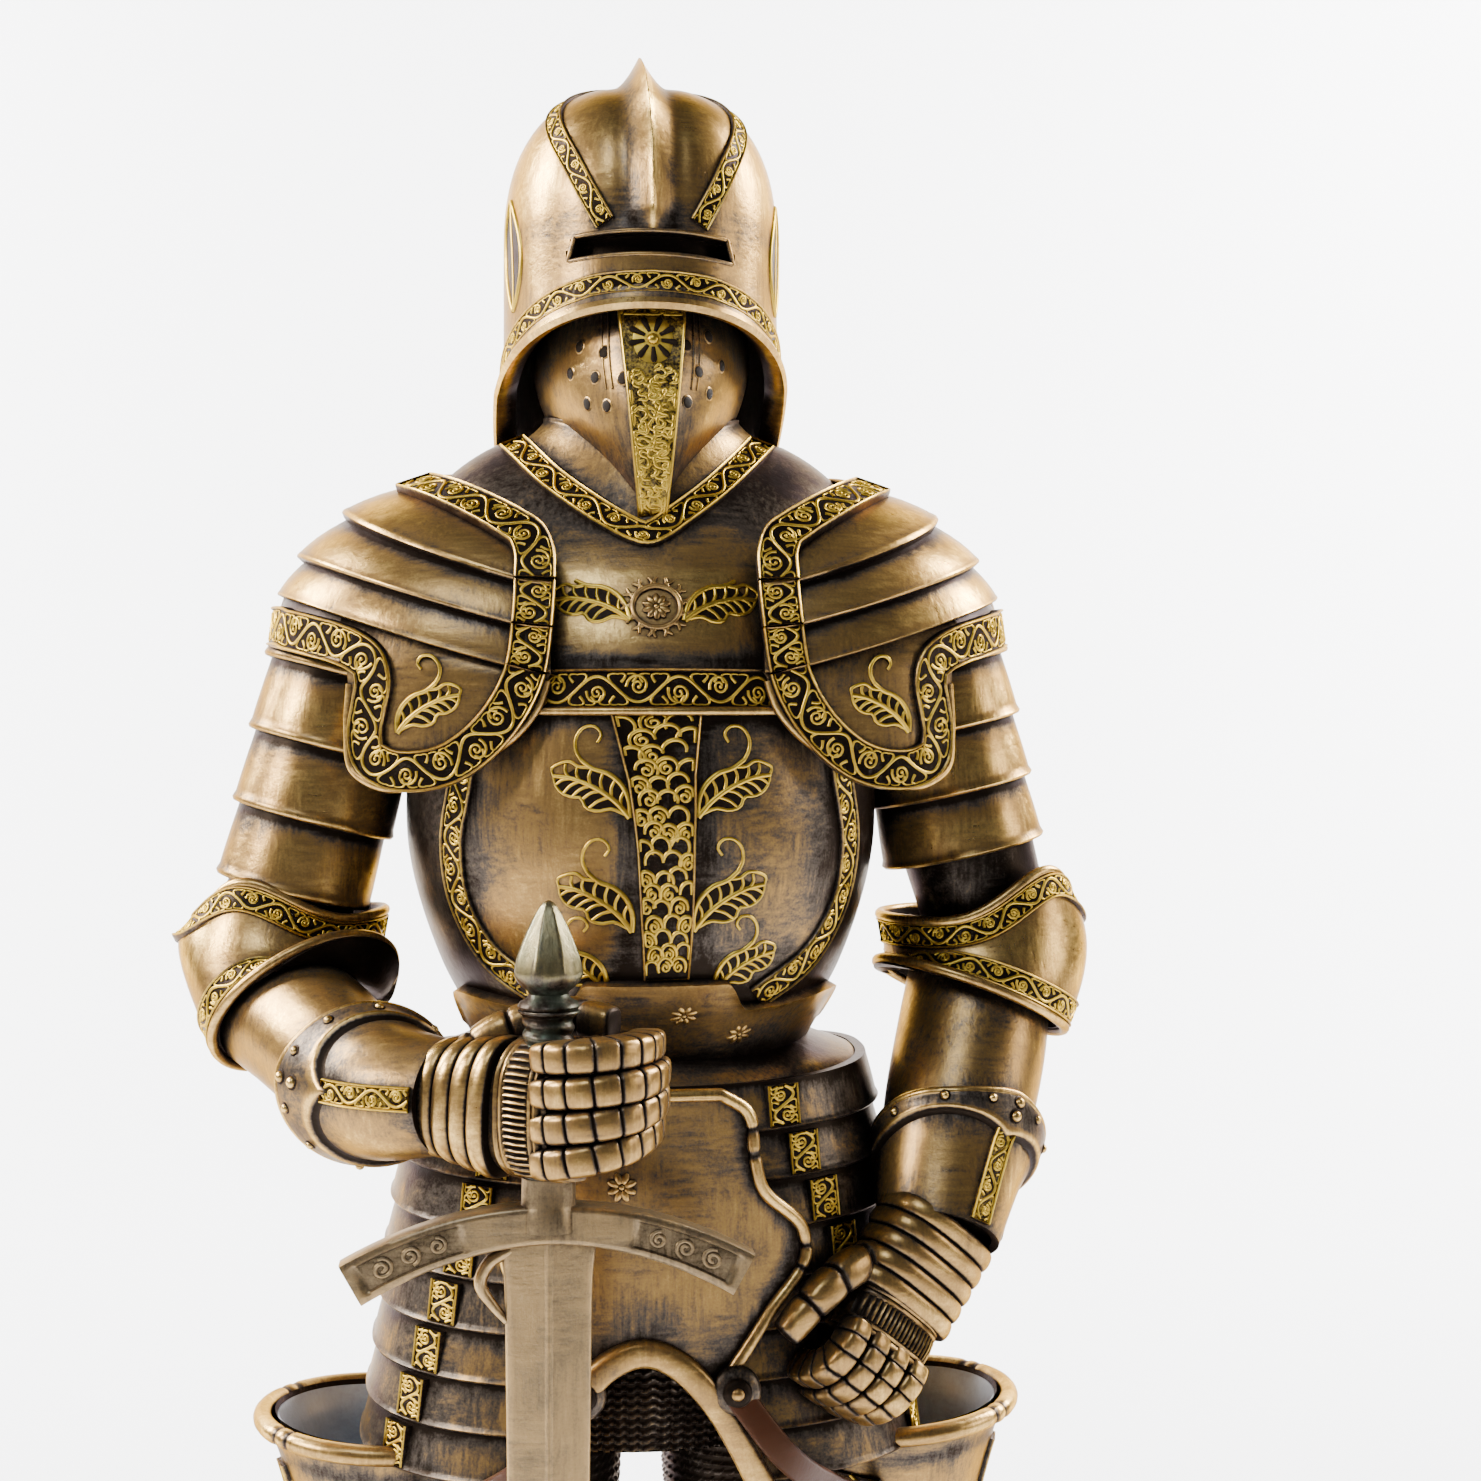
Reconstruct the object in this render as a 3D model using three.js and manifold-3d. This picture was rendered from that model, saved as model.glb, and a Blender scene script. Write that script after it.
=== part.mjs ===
// Medieval knight statue: a standing figure in plate armour on a low plinth, holding a sword point down.
// Three pieces: the cast figure, the sword that stands in its right fist, and the plinth.
// +Z is up, the figure faces -Y, and the origin is under the middle of the plinth. Lengths are in millimetres.

import * as THREE from "three";
import Module from "manifold-3d";

const wasm = await Module();
wasm.setup();

// Driving dimensions
const figureHeight = 450;          // soles to the comb of the helmet
const plinthWidth = 164;
const plinthDepth = 156;
const plinthHeight = 20;
const plinthCornerCut = 26;
const plinthStepHeight = 6;        // height of the upper, smaller step
const plinthStepSetback = 5;
const plateWall = 2.2;             // thickness of a standing plate
const lameStep = 0.9;              // how far one lame stands over the next
const bandRise = 0.55;             // how far an ornamented band stands up
const bandWidth = 6.8;             // width of the bands on the shoulder plates
const swordGripRadius = 4.1;
const swordGripClearance = 0.3;    // around the grip, inside the fist
const swordBladeWidth = 13.6;      // at the guard
const swordBladeTipWidth = 8.0;    // where the point begins
const swordBladeThickness = 4.2;
const swordPointLength = 14;
const swordGuardSpan = 59.5;
const swordGuardDrop = 8.4;          // how far its ends hang below its middle
const swordGuardThickness = 6;
const swordTipGap = 0.3;           // between the point and the plinth

// The figure keeps its proportions as shares of its height: it is drawn at 450 mm and scaled from there
const drawnHeight = 450;
const figureScale = figureHeight / drawnHeight;

// The sword's axis, and the height of its guard above the soles, on the figure as drawn
const swordX = -18.3;
const swordY = -61.5;
const guardHeight = 255.5;
const pommelTop = 305.5;

// Small vector and curve helpers
const vec = (x, y, z) => new THREE.Vector3(x, y, z);
const radians = THREE.MathUtils.degToRad;
const lerp = THREE.MathUtils.lerp;
const smooth = THREE.MathUtils.smoothstep;      // smooth(value, from, to)

const power = (value, exponent) => Math.sign(value) * Math.abs(value) ** exponent;

// Joins a list of closed solids into one
const join = (solids) => solids.reduce((whole, solid) => whole.add(solid));

// A closed solid from points and triangles, turned to face outwards
function solidFrom(points, triangles) {
  const build = (faces) =>
    new wasm.Manifold(
      new wasm.Mesh({
        numProp: 3,
        vertProperties: new Float32Array(points.flatMap((p) => [p.x, p.y, p.z])),
        triVerts: new Uint32Array(faces.flat()),
      }),
    );
  const made = build(triangles);
  return made.volume() < 0 ? build(triangles.map(([a, b, c]) => [a, c, b])) : made;
}

// A copy of a solid with each of its points moved, and the copy across the figure's middle plane
function moved(solid, change) {
  const { numProp, vertProperties, triVerts } = solid.getMesh();
  const points = [];
  for (let i = 0; i < vertProperties.length; i += numProp) {
    points.push(change(vec(...vertProperties.subarray(i, i + 3))));
  }
  const triangles = [];
  for (let i = 0; i < triVerts.length; i += 3) triangles.push([...triVerts.subarray(i, i + 3)]);
  return solidFrom(points, triangles);
}

const mirrored = (solid) => moved(solid, (p) => vec(-p.x, p.y, p.z));
const bothSides = (solid) => [solid, mirrored(solid)];

// The two triangles of each cell between neighbouring rows of points
function cells(rows, columns, closed) {
  const faces = [];
  const across = closed ? columns : columns - 1;
  for (let r = 0; r + 1 < rows; r++) {
    for (let c = 0; c < across; c++) {
      const a = r * columns + c;
      const b = r * columns + ((c + 1) % columns);
      faces.push([a, b, b + columns], [a, b + columns, a + columns]);
    }
  }
  return faces;
}

// A solid skinned over closed rings of equally many points, with its two ends closed
function skinned(rings) {
  const columns = rings[0].length;
  const points = rings.flat();
  const faces = cells(rings.length, columns, true);
  for (const [ring, first] of [[rings[0], true], [rings.at(-1), false]]) {
    const start = first ? 0 : (rings.length - 1) * columns;
    const middle = ring.reduce((sum, p) => sum.add(p), vec(0, 0, 0)).divideScalar(columns);
    points.push(middle);
    for (let c = 0; c < columns; c++) {
      const a = start + c;
      const b = start + ((c + 1) % columns);
      faces.push(first ? [points.length - 1, b, a] : [points.length - 1, a, b]);
    }
  }
  return solidFrom(points, faces);
}

// The indices around the edge of a grid of points
function gridEdge(rows, columns) {
  const edge = [];
  for (let c = 0; c < columns; c++) edge.push(c);
  for (let r = 1; r < rows; r++) edge.push(r * columns + columns - 1);
  for (let c = columns - 2; c >= 0; c--) edge.push((rows - 1) * columns + c);
  for (let r = rows - 2; r > 0; r--) edge.push(r * columns);
  return edge;
}

// A plate: an outer grid of points, the inner grid behind it, and the rim between them
function plate(outer, inner) {
  const rows = outer.length;
  const columns = outer[0].length;
  const count = rows * columns;
  const faces = cells(rows, columns, false);
  const back = faces.map(([a, b, c]) => [a + count, c + count, b + count]);
  const edge = gridEdge(rows, columns);
  const rim = edge.flatMap((a, i) => {
    const b = edge[(i + 1) % edge.length];
    return [[b, a, a + count], [b, a + count, b + count]];
  });
  return solidFrom([...outer.flat(), ...inner.flat()], [...faces, ...back, ...rim]);
}

// A solid between a grid of points and one point behind it, which sees all of the grid
function backedBy(grid, behind) {
  const rows = grid.length;
  const columns = grid[0].length;
  const faces = cells(rows, columns, false);
  const hub = rows * columns;
  const edge = gridEdge(rows, columns);
  edge.forEach((a, i) => faces.push([edge[(i + 1) % edge.length], a, hub]));
  return solidFrom([...grid.flat(), behind], faces);
}

// A point of an oval in plan: half width sideways, and its own reach forwards and backwards
function ovalPoint(turn, halfWidth, front, back, exponent) {
  const s = Math.sin(turn);
  const c = Math.cos(turn);
  return [
    halfWidth * power(s, 2 / exponent),
    -(c > 0 ? front : back) * power(c, 2 / exponent),
  ];
}

// A level ring of the body, given as {z, wide, front, back} with an optional middle
function levelRing({ z, wide, front, back, x = 0, y = 0 }, sides, exponent = 2.2) {
  return Array.from({ length: sides }, (_, i) => {
    const [px, py] = ovalPoint((i / sides) * 2 * Math.PI, wide, front, back, exponent);
    return vec(x + px, y + py, z);
  });
}

// Rings square to a path. A station is {at, wide, deep}, and across is the way its width points
function limbRings(stations, across, sides, exponent = 2) {
  return stations.map(({ at, wide, deep = wide }, i) => {
    const before = stations[Math.max(i - 2, 0)].at;
    const after = stations[Math.min(i + 2, stations.length - 1)].at;
    const along = after.clone().sub(before).normalize();
    const side = across.clone().addScaledVector(along, -across.dot(along)).normalize();
    const other = along.clone().cross(side);
    return Array.from({ length: sides }, (_, n) => {
      const turn = (n / sides) * 2 * Math.PI;
      return at
        .clone()
        .addScaledVector(side, wide * power(Math.cos(turn), 2 / exponent))
        .addScaledVector(other, deep * power(Math.sin(turn), 2 / exponent));
    });
  });
}

const limb = (stations, across, sides, exponent) => skinned(limbRings(stations, across, sides, exponent));

// Stations of overlapping lames along a straight stretch: each one widens to its lower edge
function lames(from, to, count, step = lameStep) {
  const stations = [];
  for (let k = 0; k < count; k++) {
    for (const [share, rise] of [[k / count, 0], [(k + 1) / count - 0.02, step]]) {
      stations.push({
        at: from.at.clone().lerp(to.at, share),
        wide: lerp(from.wide, to.wide, share) + rise,
        deep: lerp(from.deep ?? from.wide, to.deep ?? to.wide, share) + rise,
      });
    }
  }
  return stations;
}

// A round-nosed tube through points, for fingers and rolled edges
function tube(points, radius, sides = 6) {
  const stations = points.map((at, i) => ({
    at,
    wide: i === 0 || i === points.length - 1 ? radius * 0.55 : radius,
  }));
  const across = points.at(-1).clone().sub(points[0]).cross(vec(0.31, 0.52, 0.79));
  return limb(stations, across.lengthSq() > 1e-6 ? across : vec(1, 0, 0), sides);
}

// A ribbon laid on a form: its centre line is given in front view, and each point is dropped
// along the view until it meets the form. It stands up by rise, and its underside is sunk
function ribbonOn(surface, centreLine, width, rise = bandRise, from = vec(0, -1, 0)) {
  const caster = new THREE.Raycaster();
  const reach = 200;
  const sink = 1.4;
  const outer = [];
  const inner = [];
  centreLine.forEach((p, i) => {
    const before = centreLine[Math.max(i - 1, 0)];
    const after = centreLine[Math.min(i + 1, centreLine.length - 1)];
    const along = after.clone().sub(before).normalize();
    const aside = along.clone().cross(from).normalize();
    const top = [];
    const low = [];
    for (const share of [-0.5, 0.5]) {
      const start = p.clone().addScaledVector(aside, share * width).addScaledVector(from, reach);
      caster.set(start, from.clone().negate());
      const hit = caster.intersectObject(surface, false)[0];
      if (!hit) return;
      top.push(hit.point.clone().addScaledVector(hit.face.normal, rise));
      low.push(hit.point.clone().addScaledVector(hit.face.normal, -sink));
    }
    if (top.length < 2) return;
    outer.push(top);
    inner.push(low);
  });
  return plate(outer, inner);
}

// The same solid as a three.js geometry
function geometryOf(solid) {
  const mesh = solid.getMesh();
  const stride = mesh.numProp;
  const position = new Float32Array(mesh.numVert * 3);
  for (let i = 0; i < mesh.numVert; i++) {
    position.set(mesh.vertProperties.subarray(i * stride, i * stride + 3), i * 3);
  }
  return new THREE.BufferGeometry()
    .setAttribute("position", new THREE.BufferAttribute(position, 3))
    .setIndex(new THREE.BufferAttribute(new Uint32Array(mesh.triVerts), 1));
}

const castingTarget = (solid) =>
  new THREE.Mesh(geometryOf(solid), new THREE.MeshBasicMaterial({ side: THREE.DoubleSide }));

// Points of a smooth line through a few given ones
const curve = (points, count) => new THREE.CatmullRomCurve3(points).getSpacedPoints(count);
const frontCurve = (pairs, count) => curve(pairs.map(([x, z]) => vec(x, 0, z)), count);

// The sallet: a deep hood, open in front of the face, with a comb, an eye slit and a tail
const hood = {
  springing: 416, crown: 444.6, wide: 24.5, front: 31.5, back: 35, tail: 45,
  brow: 402, cheek: 391, nape: 374, y: 2, bulge: 2.5,
};

// Height of the hood's lower edge at an angle from the front
function hoodEdge(turn) {
  const degrees = Math.abs(THREE.MathUtils.radToDeg(turn));
  return (
    hood.brow -
    (hood.brow - hood.cheek) * Math.min(degrees / 80, 1) ** 2 -
    11.5 * smooth(degrees, 80, 106) -
    5 * smooth(degrees, 106, 180)
  );
}

function hoodPoint(turn, z, inset) {
  const above = Math.max(0, (z - hood.springing) / (hood.crown - hood.springing));
  const shrink = Math.max(0, 1 - above ** hood.bulge) ** (1 / hood.bulge);
  const below = Math.max(0, (hood.springing - z) / (hood.springing - hood.nape));
  const back = hood.back + (hood.tail - hood.back) * below ** 1.5;
  const front = hood.front + 1.2 * below;
  const [x, y] = ovalPoint(
    turn,
    hood.wide * shrink - inset,
    front * shrink - inset,
    back * shrink - inset,
    2.2,
  );
  return vec(x, hood.y + y, z);
}

function sallet() {
  const sides = 20;
  const heights = 4;
  const ring = (share, inset, topHeight) =>
    Array.from({ length: sides }, (_, i) => {
      const turn = THREE.MathUtils.euclideanModulo((i / sides) * 2 * Math.PI + Math.PI, 2 * Math.PI) - Math.PI;
      return hoodPoint(turn, lerp(hoodEdge(turn), topHeight, share), inset);
    });
  const cavityTop = hood.brow + 5;
  const inside = [0.98, 0].map((share) => ring(share, plateWall, cavityTop));
  const outside = [0, 1].map((share) => ring(share, 0, hood.springing));
  const dome = [];
  for (let k = 1; k <= heights; k++) {
    const z = lerp(hood.springing, hood.crown, Math.sin((k / heights) * Math.PI * 0.48));
    dome.push(ring(1, 0, z));
  }
  const shell = skinned([...inside, ...outside, ...dome]);

  const slitLow = 409.6;
  const slitHigh = 413.0;
  const slitDepth = 3;
  const slitTurn = radians(31);
  const slitSteps = 6;
  const slitSection = Array.from({ length: slitSteps + 1 }, (_, i) => {
    const turn = lerp(-slitTurn, slitTurn, i / slitSteps);
    return [
      hoodPoint(turn, slitLow, -2), hoodPoint(turn, slitHigh, -2),
      hoodPoint(turn, slitHigh, slitDepth), hoodPoint(turn, slitLow, slitDepth),
    ];
  });

  const combSteps = 9;
  const comb = Array.from({ length: combSteps + 1 }, (_, i) => {
    const share = i / combSteps;
    const tilt = lerp(radians(-8), radians(172), share);
    const high = power(Math.sin(tilt), 2 / hood.bulge);
    const ahead = power(Math.cos(tilt), 2 / hood.bulge);
    const rise = 0.6 + 4.4 * Math.sin(Math.PI * smooth(share, 0.02, 0.98)) ** 2;
    const crown = hood.crown - 1 - hood.springing;
    const reach = (ahead > 0 ? hood.front : hood.back) - 1;
    const foot = vec(0, hood.y - reach * ahead, hood.springing + crown * high);
    const outward = vec(0, -ahead, high).normalize();
    const ridge = foot.clone().addScaledVector(outward, rise);
    return [vec(-3.6, foot.y, foot.z), ridge, vec(3.6, foot.y, foot.z), foot.clone().addScaledVector(outward, -3)];
  });
  return shell.add(skinned(comb)).subtract(skinned(slitSection));
}

// The bevor: a keeled plate over mouth and chin, with the gorget and its pointed collar below
function bevor() {
  const levels = [
    { z: 364, wide: 6, front: 21, back: 6 }, { z: 371, wide: 10.5, front: 25.5, back: 8 },
    { z: 380, wide: 15.2, front: 28.5, back: 10 }, { z: 390, wide: 18.4, front: 29.3, back: 12 },
    { z: 399, wide: 18.8, front: 27.5, back: 13 }, { z: 408, wide: 17.5, front: 24.5, back: 13 },
  ];
  return skinned(levels.map((level) => levelRing(level, 14, 1.75)));
}

const collar = { wide: 23.6, front: 28.5, back: 22, point: 361, side: 380, nape: 384 };

// The collar's lower edge, and the same curve drawn in and up by an inset
function collarPoint(turn, inset, lift) {
  const [x, y] = ovalPoint(turn, collar.wide - inset, collar.front - inset, collar.back - inset, 1.9);
  const forward = Math.max(0, Math.cos(turn));
  const low = lerp(collar.side, collar.point, forward ** 1.25);
  const back = lerp(0, collar.nape - collar.side, Math.max(0, -Math.cos(turn)));
  return vec(x, y, low + back + lift);
}

function gorget() {
  const sides = 14;
  const profile = [[4, -16], [0.5, -3], [0, 0], [1.2, 4.6], [5.5, 4.2], [7.8, 10], [9.8, 14]];
  return skinned(
    profile.map(([inset, lift]) =>
      Array.from({ length: sides }, (_, i) => collarPoint((i / sides) * 2 * Math.PI, inset, lift)),
    ),
  );
}

// The cuirass: a globose breastplate, a waist, and a plackart that rises over it in front
function cuirass() {
  const levels = [
    { z: 268, wide: 27, front: 26, back: 21 }, { z: 276, wide: 28.5, front: 29, back: 22 },
    { z: 290, wide: 35.5, front: 39, back: 25 }, { z: 308, wide: 41, front: 43.8, back: 28 },
    { z: 330, wide: 41.3, front: 43.6, back: 29.5 }, { z: 351, wide: 40.5, front: 39, back: 30 },
    { z: 364, wide: 39.8, front: 31.2, back: 27 }, { z: 373, wide: 36.2, front: 22.8, back: 23 },
    { z: 381, wide: 26, front: 12.5, back: 15 },
  ];
  const body = skinned(levels.map((level) => levelRing(level, 18)));
  const plackart = [
    { z: 269, wide: 28, front: 28.5, back: 0 }, { z: 277, wide: 30, front: 32, back: 0 },
    { z: 286, wide: 27, front: 38.5, back: 0 }, { z: 290, wide: 13, front: 42.4, back: 0 },
  ];
  const waistRoll = [
    { z: 268, wide: 30, front: 29, back: 23 }, { z: 270, wide: 31.5, front: 30.5, back: 24.5 },
    { z: 272, wide: 30, front: 29, back: 23 },
  ];
  return join([
    body,
    skinned(plackart.map((level) => levelRing({ ...level, back: 4 }, 12))),
    skinned(waistRoll.map((level) => levelRing(level, 14))),
  ]);
}

// The fauld: eight hoops from waist to thigh, each lower one standing outside the one above
function fauld() {
  const hoops = 8;
  const top = { z: 272, wide: 40, front: 34.5, back: 29 };
  const bottom = { z: 207, wide: 48.5, front: 37.5, back: 35 };
  const rings = [];
  for (let k = 0; k < hoops; k++) {
    for (const [share, rise] of [[k / hoops, lameStep], [(k + 1) / hoops - 0.012, 0]]) {
      rings.push(
        levelRing(
          {
            z: lerp(top.z, bottom.z, share),
            wide: lerp(top.wide, bottom.wide, share) + rise,
            front: lerp(top.front, bottom.front, share) + rise,
            back: lerp(top.back, bottom.back, share) + rise,
          },
          14, 2.5,
        ),
      );
    }
  }
  return skinned(rings);
}

// The arch under the front plate, cut through the hoops so that the mail shows
const archCut = { from: -70, to: -31, below: 195 };
const archShape = [[-19, 203], [-12, 224.5], [0, 232.5], [12, 224.5], [19, 203]];
const archRimShape = [[-20, 200], [-16.8, 209.5], [-11.5, 224.5], [0, 232.8], [11.5, 224.5], [16.8, 209.5], [20, 200]];

function archCutter() {
  const arch = frontCurve(archShape, 8);
  const wall = (y) => arch.map((p) => [vec(p.x, y, p.z), vec(p.x, y, archCut.below)]);
  return plate(wall(archCut.from), wall(archCut.to));
}

// The shield-shaped front plate of the skirt: heights and half widths of its outline, and its rim
const frontPlateOutline = [[271, 14], [256, 15], [246, 26], [236, 19.5], [226, 13]];
const frontPlateDepth = 12;
const frontPlateRim = 1.5;

const frontPlateSkin = (x, z) => -(43.5 - 0.009 * x * x - 0.00035 * (z - 240) ** 2);

function skirtFront() {
  const columns = 7;
  const grid = (inset) =>
    frontPlateOutline.map(([z, halfWidth]) =>
      Array.from({ length: columns }, (_, i) => {
        const x = lerp(-1, 1, i / (columns - 1)) * halfWidth;
        return vec(x, frontPlateSkin(x, z) + inset, z);
      }),
    );
  const blank = plate(grid(0), grid(frontPlateDepth));
  const side = frontPlateOutline.map(([z, halfWidth]) => vec(halfWidth, frontPlateSkin(halfWidth, z), z));
  const rim = bothSides(tube(side, frontPlateRim, 5));
  const arch = frontCurve(archRimShape, 10).map((p) => vec(p.x, -43.2 + 0.05 * Math.max(0, 226 - p.z), p.z));
  return { blank, edging: [...rim, limb(arch.map((at) => ({ at, wide: 2.3, deep: 2.6 })), vec(0, 1, 0), 5)] };
}

// Mail skirt and the thighs in mail under the plates
function mailAndThighs() {
  const skirt = [
    { z: 213.5, wide: 33, front: 33.5, back: 30 }, { z: 240, wide: 34, front: 33, back: 29 },
    { z: 262, wide: 32, front: 30, back: 27 },
  ];
  const thigh = limb(
    [
      { at: vec(19.5, 0, 222), wide: 15.2, deep: 20 }, { at: vec(20, -1, 200), wide: 16.2, deep: 19 },
      { at: vec(27, -3.5, 160), wide: 14.6, deep: 16.5 }, { at: vec(29.6, -4, 133), wide: 14.4, deep: 15.4 },
      { at: vec(29, -3, 108), wide: 10, deep: 11.5 },
    ],
    vec(1, 0, 0), 10,
  );
  return [skinned(skirt.map((level) => levelRing(level, 12))), ...bothSides(thigh)];
}

// A thigh guard: a tall plate round the outside of the thigh, flared at its top like a bucket
const guardRoll = 0.045;           // share of the guard's height that its rolled edge takes
const guardRim = { x: 45.5, y: -2, z: 210, wide: 21.3, deep: 21 };

function guardPoint(turn, share, inset) {
  const flare = 3.4 * (1 - share) ** 9 + (share < guardRoll ? 0.9 : 0);
  const wide = lerp(guardRim.wide - 3.6, 15, smooth(share, 0, 1)) + flare - inset;
  const deep = lerp(guardRim.deep - 3.6, 16, smooth(share, 0, 1)) + flare - inset;
  const x = lerp(guardRim.x, 30, share ** 1.2);
  const z = lerp(guardRim.z + 1.5 * Math.sin(turn), 132, share);
  return vec(x + wide * Math.sin(turn), guardRim.y - share * 2 - deep * Math.cos(turn), z);
}

function thighGuard() {
  const columns = 9;
  const shares = [0, 0.04, 0.05, 0.25, 1];
  const grid = (inset) =>
    shares.map((share) =>
      Array.from({ length: columns + 1 }, (_, i) =>
        guardPoint(radians(lerp(-52, 205, i / columns)), share, inset),
      ),
    );
  return [plate(grid(0), grid(plateWall))];
}

// A strap from the foot of the front plate to the thigh guard, with its round end
function strap() {
  const run = curve([vec(12.5, -43.5, 224), vec(21, -42.5, 215), vec(31, -31, 205)], 3);
  const leather = limb(run.map((at) => ({ at, wide: 3.1, deep: 1.2 })), vec(0.6, 0.2, 0.7), 5);
  const end = limb(
    [{ at: vec(12.5, -42, 224.3), wide: 4 }, { at: vec(12.5, -45.2, 224.3), wide: 4 }],
    vec(1, 0, 0), 8,
  );
  return [leather, end];
}

// The knee cop, its side wing, the greave and the pointed sabaton
function lowerLeg() {
  const knee = vec(29.5, -5, 119);
  const cop = limb(
    [
      { at: vec(29.5, -4, 137), wide: 14.4, deep: 16 }, { at: vec(29.5, -5, 129), wide: 13.2, deep: 15 },
      { at: vec(29.5, -5.5, 120), wide: 13.8, deep: 17 }, { at: vec(29.5, -4.5, 108), wide: 12.6, deep: 14 },
      { at: vec(29.5, -4, 107), wide: 14, deep: 15.6 }, { at: vec(29.5, -3, 100), wide: 13, deep: 14.4 },
    ],
    vec(1, 0, 0), 10,
  );
  const wing = skinned(
    [[0, 0.8], [3.2, 0.9], [4.4, 0.1]].map(([out, size]) =>
      Array.from({ length: 10 }, (_, i) => {
        const turn = (i / 10) * 2 * Math.PI;
        const lobe = 1 + 0.22 * Math.cos(2 * turn);
        return vec(
          knee.x + 11 + out,
          knee.y + 3 + size * 12 * lobe * Math.cos(turn),
          knee.z + size * 10 * lobe * Math.sin(turn),
        );
      }),
    ),
  );
  const greave = limb(
    [
      { at: vec(29.5, -2, 104), wide: 11.4, deep: 12.8 }, { at: vec(29.8, 0.5, 84), wide: 12.6, deep: 14.6 },
      { at: vec(30, 1.5, 66), wide: 11.2, deep: 12.6 }, { at: vec(30.2, 1.5, 42), wide: 8.6, deep: 9.6 },
      { at: vec(30.4, 1, 24), wide: 9, deep: 10.6 }, { at: vec(30.5, 0, 16), wide: 10.4, deep: 12.4 },
    ],
    vec(1, 0, 0), 10,
  );
  const toeOut = radians(14);
  const toe = vec(Math.sin(toeOut), -Math.cos(toeOut), 0);
  const across = vec(Math.cos(toeOut), Math.sin(toeOut), 0);
  const heel = vec(30.5, 2, 0);
  const footShape = [
    [-12, 5.5, 10], [-9, 8.4, 17], [0, 9.2, 21], [6, 9.4, 19.5], [6.6, 8.8, 18],
    [16, 9.6, 14.4], [16.6, 9, 13.2], [28, 9, 9.6], [37, 6.2, 6.2], [46, 1.4, 3.6],
  ];
  const sabaton = skinned(
    footShape.map(([reach, halfWidth, height]) => {
      const middle = heel.clone().addScaledVector(toe, reach);
      const arc = [[-1, 0], [-0.94, 0.5], [-0.5, 0.9], [0.5, 0.9], [0.94, 0.5], [1, 0]];
      return arc.map(([side, up]) =>
        middle.clone().addScaledVector(across, side * halfWidth).add(vec(0, 0, up * height)),
      );
    }),
  );
  return [cop, wing, greave, sabaton];
}

// The pauldron's own form: a superellipsoid over the shoulder, upright below its middle height
const shoulder = { x: 20, z: 344, wide: 44.2, front: 40.5, back: 34, high: 32, exponent: 2.2 };

// A point of it, by angle from the front round the outside to the back, and height
function shoulderPoint(turn, z, rise) {
  const above = Math.max(0, (z - shoulder.z) / shoulder.high);
  const shrink = Math.max(0.02, 1 - above ** shoulder.exponent) ** (1 / shoulder.exponent);
  const [x, y] = ovalPoint(
    turn,
    shoulder.wide * shrink + rise,
    shoulder.front * shrink + rise,
    shoulder.back * shrink + rise,
    shoulder.exponent,
  );
  return vec(shoulder.x + x, y, z + rise * above);
}

// Depth of its front at a place in front view
function shoulderFront(x, z) {
  const across = Math.abs(x - shoulder.x) / shoulder.wide;
  const above = Math.max(0, (z - shoulder.z) / shoulder.high);
  const inside = Math.max(0.01, 1 - across ** shoulder.exponent - above ** shoulder.exponent);
  return -shoulder.front * inside ** (1 / shoulder.exponent);
}

// Heights of the pauldron's lines at an angle: its upper edge, three laps and its lower edge
function pauldronLines(turn) {
  const degrees = THREE.MathUtils.radToDeg(turn);
  const outward = Math.max(0, Math.sin(turn));
  const crest = 360 + 15.5 * smooth(degrees, -10, 48) * (1 - smooth(degrees, 132, 192));
  const laps = [[355.6, 370], [348.8, 362.3], [340.7, 356], [334.5, 345]];
  return [crest, ...laps.map(([inner, outer]) => Math.min(lerp(inner, outer, outward), crest - 1))];
}

// The wing of the lowest plate in front view: its free edge from the breast round to the arm, and its root
const wingEdge = [
  [17.2, 339], [18.6, 334.4], [21.4, 330.4], [27, 326], [36.8, 321.3], [45.5, 320.8], [50, 323], [51.4, 328],
];
const wingRoot = { from: [17, 342], to: [51.8, 346], proud: 0.6 };

function pauldron() {
  const columns = 9;
  const turns = Array.from({ length: columns + 1 }, (_, i) => radians(lerp(-9, 189, i / columns)));
  const row = (line, rise) => turns.map((turn) => shoulderPoint(turn, pauldronLines(turn)[line], rise));
  const outer = [row(0, lameStep)];
  for (let line = 1; line <= 4; line++) {
    outer.push(row(line, 0));
    if (line < 4) outer.push(row(line, lameStep));
  }
  const steps = 9;
  const lower = frontCurve(wingEdge, steps);
  const upper = lower.map((_, i) => {
    const share = i / steps;
    return vec(lerp(wingRoot.from[0], wingRoot.to[0], share), 0, lerp(wingRoot.from[1], wingRoot.to[1], share));
  });
  const rowsDown = 2;
  const wing = Array.from({ length: rowsDown + 1 }, (_, r) =>
    upper.map((top, i) => {
      const p = top.clone().lerp(lower[i], r / rowsDown);
      return vec(p.x, shoulderFront(p.x, p.z) - wingRoot.proud, p.z);
    }),
  );
  return [backedBy(outer, vec(38, 0, 346)), backedBy(wing, vec(34, -14, 340))];
}

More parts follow.
